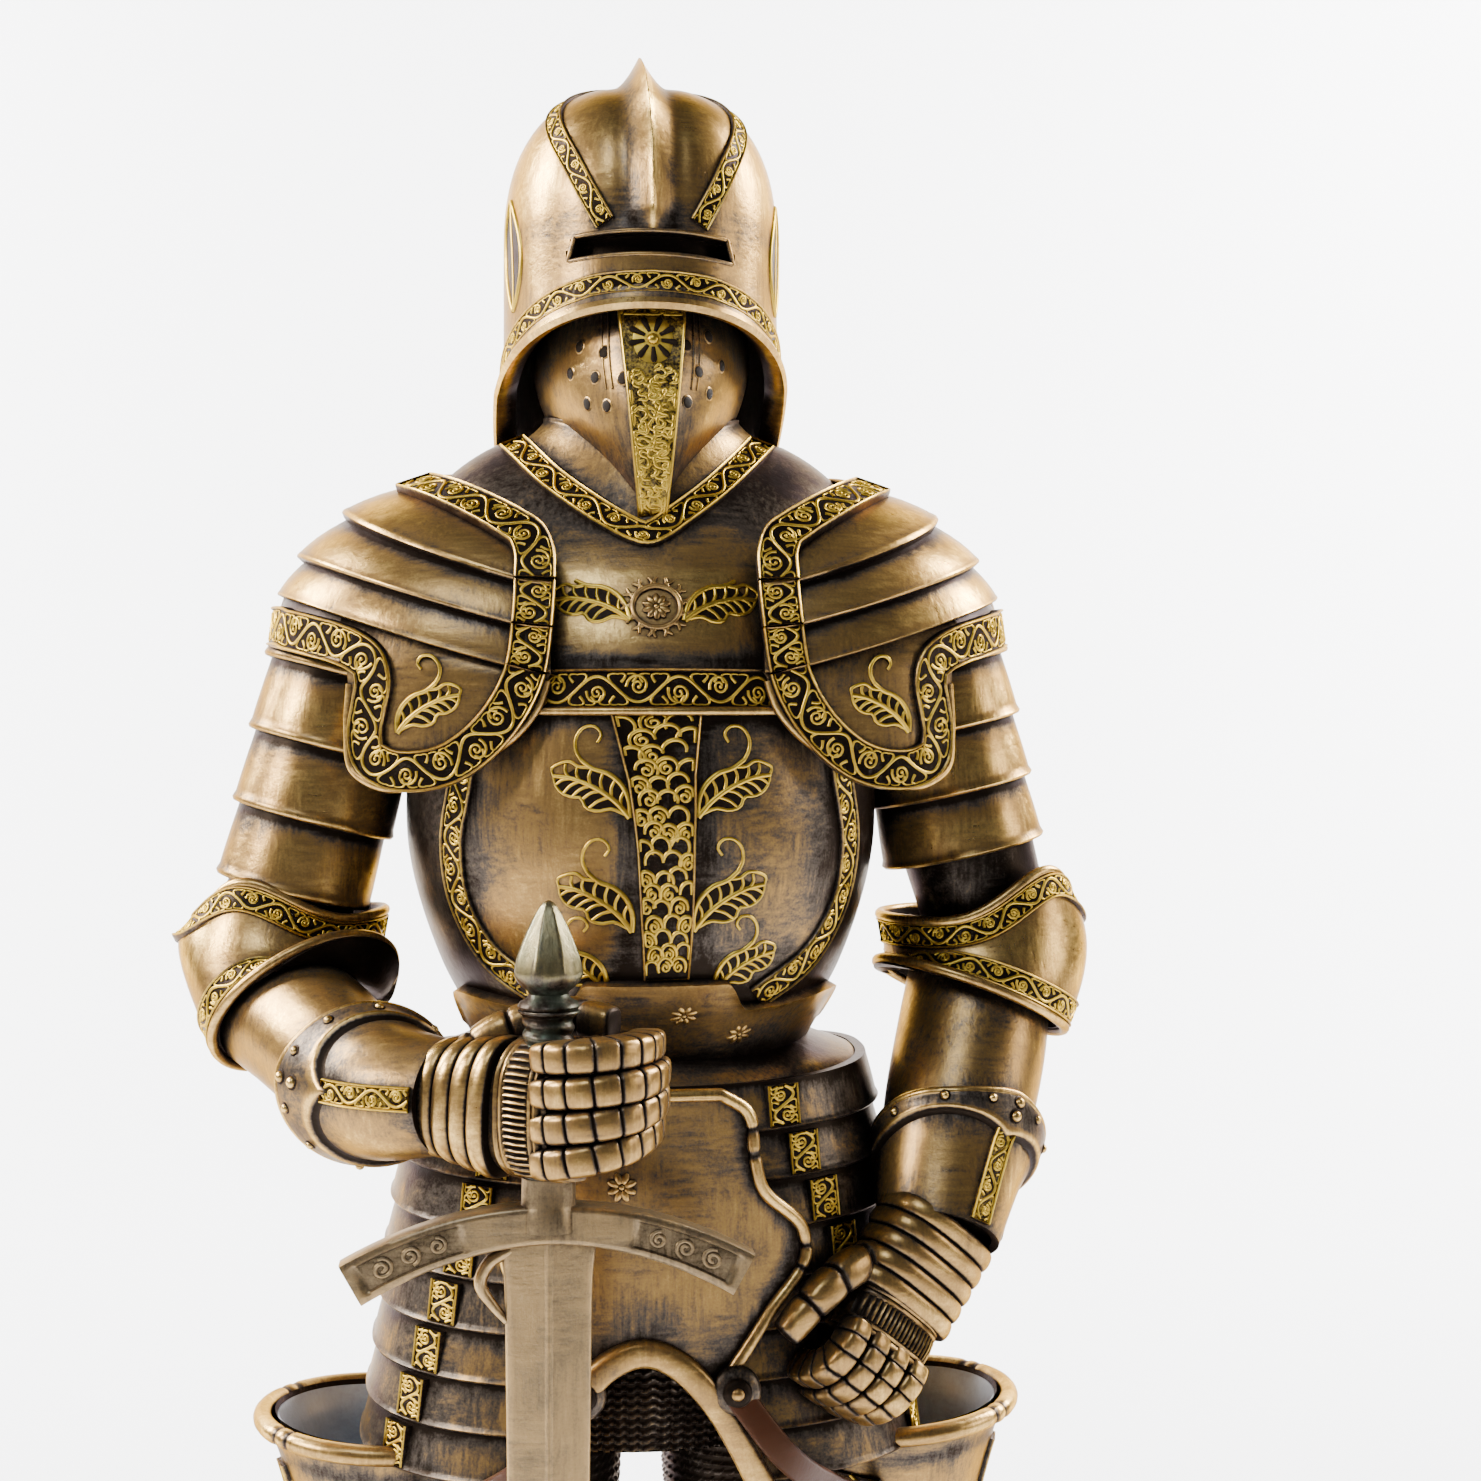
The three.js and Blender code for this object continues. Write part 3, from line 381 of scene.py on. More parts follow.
def bead(
    casting: Casting, centre: Array, radius: Array, polish_and_painted_light: Array = 0.9, gilt: Array = 0.0,
    closed: bool = False, around: int = 10,
) -> None:
    """Round rod along a line of points, for rolled edges.

    Args:
        casting: takes the rod.
        centre: the line, as (points, 3).
        radius: the rod's radius, one or one for each point.
        polish_and_painted_light: its polish.
        gilt: its gilding.
        closed: joins its ends.
        around: points around it.
    """
    if closed:
        slope = np.roll(centre, -1, axis=0) - np.roll(centre, 1, axis=0)
    else:
        slope = np.gradient(centre, axis=0)
    tangent = unit(slope)
    spread = centre - centre.mean(axis=0)
    _, _, directions = np.linalg.svd(spread, full_matrices=False)
    reference = directions[2] + 0.01 * directions[1]
    side = unit(np.cross(tangent, reference))
    other = np.cross(tangent, side)
    turn = circle(around)
    radius = np.broadcast_to(radius, centre.shape[:1])[:, None, None]
    rings = centre[:, None] + radius * (
        side[:, None] * np.cos(turn)[None, :, None] + other[:, None] * np.sin(turn)[None, :, None]
    )
    polish_and_painted_light, gilt = (np.broadcast_to(value, centre.shape[:1])[:, None] for value in (polish_and_painted_light, gilt))
    casting.add(rings, polish_and_painted_light, gilt, closed)


def sheet(
    casting: Casting, skin: Skin, u: Array, v: Array, thickness: float, rise: Array = 0.0,
    polish_and_painted_light: Array = 0.7, gilt: Array = 0.0, inner_polish: float = 0.05, closed: bool = False,
) -> None:
    """Plate with a wall: its outer face, a rounded rim, and the same face set back by the thickness.

    Args:
        casting: takes the plate.
        skin: the surface the plate follows.
        u: parameters along the stations, as (stations, rows).
        v: parameters along the rows, as (stations, rows).
        thickness: the wall.
        rise: height of the outer face over the skin.
        polish_and_painted_light: polish of the outer face.
        gilt: gilding of the outer face.
        inner_polish: polish of the inner face.
        closed: joins the last station to the first.
    """
    u, v = np.broadcast_arrays(np.asarray(u, float), np.asarray(v, float))
    normal = skin.normal(u, v)
    base = skin.at(u, v)
    outer = base + normal * np.broadcast_to(rise, u.shape)[..., None]
    inner = base - normal * thickness
    rings = np.concatenate([outer, inner[:, ::-1]], axis=1)
    outer_polish = np.broadcast_to(polish_and_painted_light, u.shape)
    outer_gilt = np.broadcast_to(gilt, u.shape)
    casting.add(
        rings,
        np.concatenate([outer_polish, np.full(u.shape, inner_polish)], axis=1),
        np.concatenate([outer_gilt, np.zeros(u.shape)], axis=1),
        closed,
    )


def domes(
    casting: Casting, centre: Array, normal: Array, radius: Array, height: float = 0.6,
    polish_and_painted_light: Array = 1.0, gilt: Array = 0.0, around: int = 10,
) -> None:
    """Rivet heads or dots: low domes standing on a surface.

    Args:
        casting: takes the domes.
        centre: their feet, as (domes, 3).
        normal: the surface's normals there.
        radius: their radii.
        height: height as a share of the radius.
        polish_and_painted_light: their polish.
        gilt: their gilding.
        around: points around each.
    """
    centre, normal = np.atleast_2d(centre), np.atleast_2d(normal)
    helper = np.where(np.abs(normal[:, 2:3]) < 0.9, [[0.0, 0.0, 1.0]], [[1.0, 0.0, 0.0]])
    side = unit(np.cross(normal, helper))
    other = np.cross(normal, side)
    turn = circle(around)
    ring = side[:, None] * np.cos(turn)[:, None] + other[:, None] * np.sin(turn)[:, None]
    rise = np.array([-0.8, 0.0, 0.45, 0.8, 0.98])
    wide = np.array([1.0, 1.0, 0.88, 0.58, 0.12])
    radius = np.broadcast_to(radius, centre.shape[:1])[:, None, None, None]
    rings = centre[:, None, None] + radius * (
        ring[:, None] * wide[:, None, None] + normal[:, None, None] * (rise * height)[:, None, None]
    )
    casting.add(rings, polish_and_painted_light, gilt)


# Ornament


class Ribbon:
    """Band that follows a line on a surface, with its own coordinates: along, across and up."""

    def __init__(self, centre: Array, normal: Array, width: Array) -> None:
        """Works out the band's frames.

        Args:
            centre: the band's middle line, as (points, 3).
            normal: the surface's outward normals along it.
            width: the band's width, one or one for each point.
        """
        self.centre = centre
        self.arc = arc_lengths(centre)
        self.length = float(self.arc[-1])
        self.normal = unit(normal)
        self.side = unit(np.cross(self.normal, np.gradient(centre, self.arc, axis=0)))
        self.half = np.broadcast_to(np.asarray(width, float) / 2, self.arc.shape)
        self.table = np.concatenate([self.centre, self.normal, self.side, self.half[:, None]], axis=1)

    @classmethod
    def on(cls, skin: Skin, pairs: Sequence, width: Array, step: float = 0.7, lift: float = 0.0) -> "Ribbon":
        """Band along a smooth line through pairs of a skin's parameters.

        Args:
            skin: the surface.
            pairs: the line's points in the skin's parameters.
            width: the band's width, one or several along it.
            step: distance between its stations.
            lift: height over the skin.

        Returns:
            The band.
        """
        rough = smooth_line(pairs, 60)
        count = max(6, int(arc_lengths(skin.at(*rough.T))[-1] / step))
        line = smooth_line(pairs, count)
        if np.ndim(width) > 0:
            width = np.interp(shares(count), shares(len(width)), width)
        return cls(skin.lift(*line.T, lift), skin.normal(*line.T), width)

    def frames(self, along: Array) -> tuple[Array, Array, Array, Array]:
        """Middle points, normals, sideways directions and half widths at lengths along the band."""
        rows = columns_at(along, self.arc, self.table)
        return rows[..., :3], unit(rows[..., 3:6]), unit(rows[..., 6:9]), rows[..., 9]

    def place(self, along: Array, across: Array, up: Array) -> tuple[Array, Array]:
        """Points and normals: across is a share of the half width, up is in millimetres.

        Args:
            along: lengths along the band.
            across: shares of the half width.
            up: heights over its middle line.

        Returns:
            The points and the normals there.
        """
        centre, normal, side, half = self.frames(np.asarray(along, float))
        offset = (np.asarray(across, float) * half)[..., None]
        return centre + side * offset + normal * np.asarray(up, float)[..., None], normal

    def bed(self, casting: Casting, rim: float = 0.75, ground: float = 0.12, rise: float = 0.62,
            rim_gilt: float = 0.35, sink: float = 1.0, ground_gilt: float = 0.0) -> None:
        """Dark ground of the band between two raised borders.

        Args:
            casting: takes the bed.
            rim: width of each border.
            ground: height of the ground.
            rise: height of the borders.
            rim_gilt: gilding of the borders.
            sink: how far the bed reaches into the plate.
            ground_gilt: gilding of the ground.
        """
        inward = np.array([0.0, 0.0, 0.1, 0.42, 0.8, 1.0, 1.35]) * rim
        up = np.array([-sink, 0.2 * rise, 0.75 * rise, rise, 0.75 * rise, ground, ground])
        worn = 0.45 * ground_gilt
        shine = np.array([0.3, 0.35, 0.85, 1.0, 0.75, 0.05 + worn, worn])
        half = self.half[:, None]
        across = np.concatenate([-half + inward, (half - inward)[:, ::-1]], axis=1)
        up = np.concatenate([up, up[::-1]])
        rings = (
            self.centre[:, None]
            + self.side[:, None] * across[..., None]
            + self.normal[:, None] * np.broadcast_to(up, across.shape)[..., None]
        )
        shine = np.concatenate([shine, shine[::-1]])
        casting.add(rings, shine, np.where(shine > 0.6, rim_gilt, ground_gilt))

    def stretch(self, start: float, end: float) -> "Ribbon":
        """The band between two lengths along it."""
        centre, normal, _, half = self.frames(np.linspace(start, end, max(6, int((end - start) / 0.7))))
        return Ribbon(centre, normal, 2 * half)

    def lines(self, casting: Casting, along: Array, across: Array, radius: Array, clear: Array,
              margin: float = 0.1) -> None:
        """Gilt raised lines given in the band's own coordinates and held inside its borders.

        Args:
            casting: takes the lines.
            along: lengths along the band, as (lines, points).
            across: shares of the half width.
            radius: half the lines' width.
            clear: share of the half width that is free of the borders.
            margin: length left free at the band's ends.
        """
        along = np.clip(along, margin, self.length - margin)
        raised_lines(casting, *self.place(along, np.clip(across, -clear, clear), LINE_FOOT), radius)


def vine(casting: Casting, ribbon: Ribbon, seed: int, rim: float = 0.75, line: float = 0.34,
         lobe: float = 2.1) -> None:
    """Running scroll: a waving stem, a spiral in the hollow of each wave, and small curled leaves.

    The stem is a cosine along the band. Each spiral turns 1.7 times with a radius that shrinks evenly,
    and its outer end starts on the stem. The leaves are short hooks from the stem to the borders.

    Args:
        casting: takes the lines.
        ribbon: the band.
        seed: seed of the small hand-made differences.
        rim: width of the band's borders, left free.
        line: half the width of a line.
        lobe: length of one wave's half, in half widths.
    """
    chance = np.random.default_rng(seed)
    half = float(ribbon.half.mean())
    clear = (half - rim) / half
    count = max(2, int(round(ribbon.length / (lobe * half))))
    pitch = ribbon.length / count
    middles = (np.arange(count) + 0.5) * pitch
    sign = np.where(np.arange(count) % 2 == 0, 1.0, -1.0)

    along = np.linspace(0.2, ribbon.length - 0.2, count * 16)
    stem = 0.78 * clear * np.sin(along / pitch * np.pi)
    ribbon.lines(casting, along, stem, line * 1.05, clear)

    steps = shares(26)
    reach = np.minimum(pitch * 0.46, clear * half * 0.74) * chance.uniform(0.9, 1.06, (count, 1))
    angle = np.pi * 0.9 + 1.7 * 2 * np.pi * steps + chance.uniform(-0.3, 0.3, (count, 1))
    radius = reach * (1.0 - 0.86 * steps**0.8)
    drop = -0.22 * clear * half
    spiral_along = middles[:, None] + radius * np.cos(angle) * 0.95
    spiral_across = sign[:, None] * (drop + radius * np.sin(angle)) / half
    ribbon.lines(casting, spiral_along, spiral_across, line * (0.95 - 0.3 * steps), clear)
    bulbs, normals = ribbon.place(spiral_along[:, -1], spiral_across[:, -1], 0.1)
    domes(casting, bulbs, normals, line * 1.25, 0.9, 0.9, 1.0, 8)

    short = shares(9)
    hooks = ((0.12, 0.2, -1.0), (-0.14, -0.18, -1.0), (0.36, 0.22, 1.0), (-0.34, -0.2, 1.0),
             (0.42, 0.12, -1.0), (-0.42, -0.1, -1.0))
    for start, lean, side in hooks:
        hook = lean + chance.uniform(-0.06, 0.06, (count, 1))
        bow = 0.16 * np.sin(np.pi * short) * np.sign(lean)
        leaf_along = middles[:, None] + pitch * (start + hook * short - bow)
        from_stem = 0.78 * math.cos(start * math.pi) if side > 0 else 0.42
        climb = (0.96 - from_stem) * np.sin(short * np.pi * 0.62)
        leaf_across = sign[:, None] * side * clear * (from_stem + climb)
        ribbon.lines(casting, leaf_along, leaf_across, line * (1.0 - 0.55 * short), clear)


def curls(casting: Casting, ribbon: Ribbon, seed: int, cell: float = 3.2, rim: float = 0.75,
          line: float = 0.36) -> None:
    """Close pattern of arched scales with a curl in every second one, over the whole band.

    Each scale is an arch: half an ellipse open towards the foot. Rows are offset by half a scale.

    Args:
        casting: takes the lines.
        ribbon: the band.
        seed: seed of the small hand-made differences.
        cell: width of one scale.
        rim: width of the band's borders, left free.
        line: half the width of a line.
    """
    chance = np.random.default_rng(seed)
    half = float(ribbon.half.mean())
    clear = (half - rim) / half
    across_count = max(2, int(round(2 * (half - rim) / cell)))
    rows = int(ribbon.length / (cell * 0.82))
    row, column = np.meshgrid(np.arange(rows), np.arange(across_count), indexing="ij")
    shift = np.where(row % 2 == 0, 0.0, 0.5)
    place_across = ((column + 0.25 + shift) / across_count * 2 - 1).ravel() * clear
    place_along = ((row + 0.7) * cell * 0.82).ravel()
    jitter = chance.uniform(-0.16, 0.16, (2, place_along.size)) * cell
    steps = shares(13)
    lean = chance.uniform(-0.5, 0.5, (place_along.size, 1))
    angle = np.pi * (1.06 - 1.12 * steps) + lean
    arch_along = (place_along + jitter[0])[:, None] - 0.56 * cell * np.sin(angle)
    arch_across = place_across[:, None] + (jitter[1][:, None] + 0.52 * cell * np.cos(angle)) / half
    ribbon.lines(casting, arch_along, arch_across, line * (0.75 + 0.35 * np.sin(np.pi * steps)), clear)
    chosen = np.flatnonzero(chance.uniform(0, 1, place_along.size) < 0.55)
    turns = shares(16)
    angle = np.pi + 1.35 * 2 * np.pi * turns * np.where(chance.uniform(0, 1, (chosen.size, 1)) < 0.5, 1, -1)
    radius = 0.34 * cell * (1.0 - 0.8 * turns)
    curl_along = (place_along + jitter[0])[chosen][:, None] + radius * np.cos(angle)
    curl_across = place_across[chosen][:, None] + (jitter[1][chosen][:, None] + radius * np.sin(angle)) / half
    ribbon.lines(casting, curl_along, curl_across, line * 0.8, clear)


def tangle(casting: Casting, ribbon: Ribbon, seed: int, cell: float, rim: float, line: float,
           reach: float = 1.0) -> None:
    """Gnarled foliage: short double-bent lines that lie close together, each one its own way.

    Each line starts in its cell of a shaken grid. Its heading is a start plus a sine of its length, so it
    bends one way and then the other.

    Args:
        casting: takes the lines.
        ribbon: the band.
        seed: seed of the shaking.
        cell: distance between two lines.
        rim: width of the band's borders, left free.
        line: half the width of a line.
        reach: how many times longer the lines are than usual.
    """
    chance = np.random.default_rng(seed)
    half = ribbon.half.mean() - rim
    rows, columns = max(2, int(ribbon.length / cell)), max(2, int(round(2 * half / cell)))
    shaken_rows = np.arange(rows)[:, None] + chance.uniform(0.2, 0.8, (rows, columns))
    shaken_columns = np.arange(columns) + chance.uniform(0.15, 0.85, (rows, columns))
    along = (shaken_rows * ribbon.length / rows).ravel()
    across = (shaken_columns / columns * 2 - 1).ravel() * half
    steps = np.linspace(-0.5, 0.5, 13)
    heading = chance.uniform(-0.7, 0.7, along.size) + chance.choice([0.0, 0.5, -0.5], along.size)
    bend = chance.uniform(1.0, 1.9, along.size) * chance.choice([-1, 1], along.size)
    angle = heading[:, None] + bend[:, None] * np.sin(2 * np.pi * steps)
    length = reach * cell * chance.uniform(1.3, 2.0, along.size)[:, None] / len(steps)
    run = along[:, None] + np.cumsum(np.cos(angle) * length, axis=1)
    aside = across[:, None] + np.cumsum(np.sin(angle) * length, axis=1)
    width = np.interp(run, ribbon.arc, ribbon.half)
    radius = line * np.sin(np.pi * (steps + 0.5) * 0.86 + 0.2) ** 0.6
    ribbon.lines(casting, run, aside / width, radius, (width - rim - 0.3) / width, 0.3)


@dataclass(frozen=True)
class Sprig:
    """Leaf branch in outline, drawn on a unit length along its midrib, with a curled tip."""

    length: float = 13.6
    line: float = 0.34
    tendril: bool = True

    def outlines(self) -> list[list[tuple[float, float]]]:
        """The branch's lines as points (along, up), on a unit length.

        Returns:
            The lines: the outline and the midrib first, then the veins.
        """
        upper = [(0, 0), (0.08, 0.14), (0.24, 0.27), (0.46, 0.32), (0.66, 0.28), (0.82, 0.30)]
        curl = [(0.82, 0.30), (0.93, 0.37), (1.0, 0.50), (0.97, 0.66), (0.86, 0.72), (0.76, 0.67),
                (0.76, 0.57)]
        midrib = [(0, 0), (0.2, 0.07), (0.42, 0.10), (0.64, 0.09), (0.84, 0.05), (1.0, -0.02)]
        lower = [(0.06, 0.01), (0.24, -0.02), (0.36, -0.12), (0.50, -0.15), (0.60, -0.08), (0.70, -0.13),
                 (0.84, -0.14), (0.94, -0.09), (1.0, -0.02)]
        end = [(0.70, 0.27), (0.80, 0.22), (0.92, 0.22), (1.02, 0.13), (1.06, 0.04), (1.0, -0.02)]
        lines = [upper, midrib, lower, end] + ([curl] if self.tendril else [])
        top = smooth_line(upper[:5] + [(0.95, 0.17)], 41)
        rib = smooth_line(midrib, 41)
        under = smooth_line(lower, 41)
        for share in (0.16, 0.3, 0.44, 0.58, 0.72, 0.84):
            start, goal = rib[int(40 * share)], top[int(40 * min(share + 0.16, 1.0))]
            lines.append([start, (start + goal) / 2 + [0.025, -0.01], goal])
        for share in (0.34, 0.46, 0.58, 0.7, 0.82):
            start, goal = rib[int(40 * share)], under[int(40 * min(share + 0.1, 1.0))]
            lines.append([start, (start + goal) / 2 + [0.02, 0.01], goal])
        return lines

    def lay(self, casting: Casting, skin: Skin, foot: tuple[float, float], lean: float, hand: float,
            gilt: float = 0.8, up: float = 0.05) -> None:
        """Lays the branch on a surface whose parameters are millimetres sideways and up.

        Args:
            casting: takes the lines.
            skin: the surface.
            foot: where the branch starts.
            lean: its midrib's angle above the level, in degrees.
            hand: 1 to grow towards +X, -1 to grow towards -X.
            gilt: gilding of the lines.
            up: height of the lines' feet over the surface.
        """
        angle = math.radians(lean)
        points = np.stack([smooth_line(line, 18) for line in self.outlines()]) * self.length
        sideways = foot[0] + hand * (points[..., 0] * math.cos(angle) - points[..., 1] * math.sin(angle))
        upwards = foot[1] + points[..., 0] * math.sin(angle) + points[..., 1] * math.cos(angle)
        self.ground(casting, skin, sideways, upwards, up)
        thick = np.full((len(points), 1), 0.85)
        thick[:2] = 1.3
        taper = np.linspace(1.15, 0.85, 18)
        skin.line(casting, sideways, upwards, self.line * thick * taper, gilt, 0.95, up)

    def ground(self, casting: Casting, skin: Skin, sideways: Array, upwards: Array, up: float) -> None:
        """Dark ground of the leaf, a thin form between its upper and lower outlines.

        Args:
            casting: takes the form.
            skin: the surface.
            sideways: the lines' places sideways.
            upwards: the lines' heights.
            up: height over the surface.
        """
        columns = np.arange(sideways.shape[1])
        steps = np.linspace(0.06, 0.94, 16) * columns[-1]
        share = np.array([0.0, 0.02, 0.25, 0.5, 0.75, 0.98, 1.0])
        rise = np.array([-0.3, 0.02, 0.05, 0.05, 0.05, 0.02, -0.3])
        spans = []
        for lines in (sideways, upwards):
            upper, lower = (np.interp(steps, columns, lines[row])[:, None] for row in (0, 2))
            spans.append(upper + (lower - upper) * share)
        casting.add(skin.lift(*spans, up + rise), -0.9)


# Finishes


class Shade:
    """Socket of a node tree with arithmetic: each operator adds one Math node."""

    def __init__(self, tree: bpy.types.NodeTree, socket: bpy.types.NodeSocket) -> None:
        """Wraps one output socket of a tree."""
        self.tree = tree
        self.socket = socket

    def node(self, kind: str, settings: dict, inputs: dict) -> bpy.types.Node:
        """Makes any node: its settings first, then the values or links of its sockets.

        Args:
            kind: the node's type name.
            settings: attributes of the node.
            inputs: socket name or number, and its value, Shade or plain number.

        Returns:
            The node.
        """
        made = self.tree.nodes.new(kind)
        for key, value in settings.items():
            setattr(made, key, value)
        for key, value in inputs.items():
            if isinstance(value, Shade):
                self.tree.links.new(value.socket, made.inputs[key])
            else:
                made.inputs[key].default_value = value
        return made

    def math(self, operation: str, *values: "Shade | float") -> "Shade":
        """One Math node on this socket and the values given."""
        inputs = {0: self} | {i + 1: value for i, value in enumerate(values)}
        return Shade(self.tree, self.node("ShaderNodeMath", {"operation": operation}, inputs).outputs[0])

    def __add__(self, other: "Shade | float") -> "Shade":
        """Sum."""
        return self.math("ADD", other)

    __radd__ = __add__

    def __mul__(self, other: "Shade | float") -> "Shade":
        """Product."""
        return self.math("MULTIPLY", other)

    __rmul__ = __mul__

    def __sub__(self, other: "Shade | float") -> "Shade":
        """Difference."""
        return self.math("SUBTRACT", other)

    def __rsub__(self, other: float) -> "Shade":
        """Difference from a number."""
        return (self * -1.0) + other

    def clamp(self) -> "Shade":
        """Held between 0 and 1."""
        made = self.node("ShaderNodeClamp", {}, {0: self})
        return Shade(self.tree, made.outputs[0])

    def ramp(self, low: float, high: float) -> "Shade":
        """Eased share from 0 at low to 1 at high.

        Args:
            low: value at which the share is 0.
            high: value at which it is 1.

        Returns:
            The share.
        """
        made = self.node(
            "ShaderNodeMapRange",
            {"interpolation_type": "SMOOTHSTEP"},
            {"Value": self, "From Min": low, "From Max": high},
        )
        return Shade(self.tree, made.outputs["Result"])


class Finish:
    """Node tree of one material, with a few makers that all finishes share."""

    def __init__(self, name: str) -> None:
        """Starts an empty material with a shader and object coordinates.

        Args:
            name: the material's name.
        """
        self.material = bpy.data.materials.new(name)
        self.material.use_nodes = True
        self.tree = self.material.node_tree
        self.tree.nodes.clear()
        self.root = Shade(self.tree, None)
        self.output = self.root.node("ShaderNodeOutputMaterial", {}, {})
        self.shader = self.root.node("ShaderNodeBsdfPrincipled", {}, {})
        self.tree.links.new(self.shader.outputs[0], self.output.inputs[0])
        self.coordinates = Shade(self.tree, self.root.node("ShaderNodeTexCoord", {}, {}).outputs["Object"])

    def attribute(self, name: str) -> Shade:
        """Mesh attribute as a number."""
        made = self.root.node("ShaderNodeAttribute", {"attribute_name": name}, {})
        return Shade(self.tree, made.outputs["Fac"])

    def noise(self, grain_mm: float, detail: float = 3.0, stretch: tuple = (1.0, 1.0, 1.0),
              turn: tuple = (0.0, 0.0, 0.0)) -> Shade:
        """Noise whose blotches are about grain_mm across, drawn out along an axis by the stretch.

        Args:
            grain_mm: width of the blotches.
            detail: octaves of the noise.
            stretch: how many times they are drawn out along each axis.
            turn: rotation of the axes, in radians.

        Returns:
            The noise, from 0 to 1.
        """
        mapping = self.root.node(
            "ShaderNodeMapping",
            {},
            {"Vector": self.coordinates, "Rotation": turn, "Scale": tuple(1.0 / s for s in stretch)},
        )
        made = self.root.node(
            "ShaderNodeTexNoise",
            {},
            {"Vector": Shade(self.tree, mapping.outputs[0]), "Scale": 1000.0 / grain_mm, "Detail": detail,
             "Roughness": 0.6},
        )
        return Shade(self.tree, made.outputs["Fac"])

    def openness(self, reach_mm: float) -> Shade:
        """Share of the air within a reach that is free of other surfaces, low in hollows and corners."""
        made = self.root.node("ShaderNodeAmbientOcclusion", {"samples": 4}, {"Distance": reach_mm * MM})
        return Shade(self.tree, made.outputs["AO"])

    def mix(self, share: Shade, first: "Shade | tuple", second: "Shade | tuple") -> Shade:
        """Colour between two colours.

        Args:
            share: share of the second colour.
            first: the colour at 0.
            second: the colour at 1.

        Returns:
            The mixed colour.
        """
        first, second = (v if isinstance(v, Shade) else (*v, 1.0) for v in (first, second))
        made = self.root.node("ShaderNodeMix", {"data_type": "RGBA"}, {0: share, 6: first, 7: second})
        return Shade(self.tree, made.outputs[2])

    def feed(self, socket: str, value: "Shade | float") -> None:
        """Links a value to the shader, or sets a plain number on it.

        Args:
            socket: name of the shader's input.
            value: what it gets.
        """
        if isinstance(value, Shade):
            self.tree.links.new(value.socket, self.shader.inputs[socket])
        else:
            self.shader.inputs[socket].default_value = value

    def bump(self, height: Shade, distance_mm: float, strength: float = 1.0) -> None:
        """Fine relief of the surface from a height.

        Args:
            height: the height, from 0 to 1.
            distance_mm: depth of the relief.
            strength: share of it that is used.
        """
        made = self.root.node(
            "ShaderNodeBump", {}, {"Height": height, "Distance": distance_mm * MM, "Strength": strength}
        )
        self.tree.links.new(made.outputs[0], self.shader.inputs["Normal"])


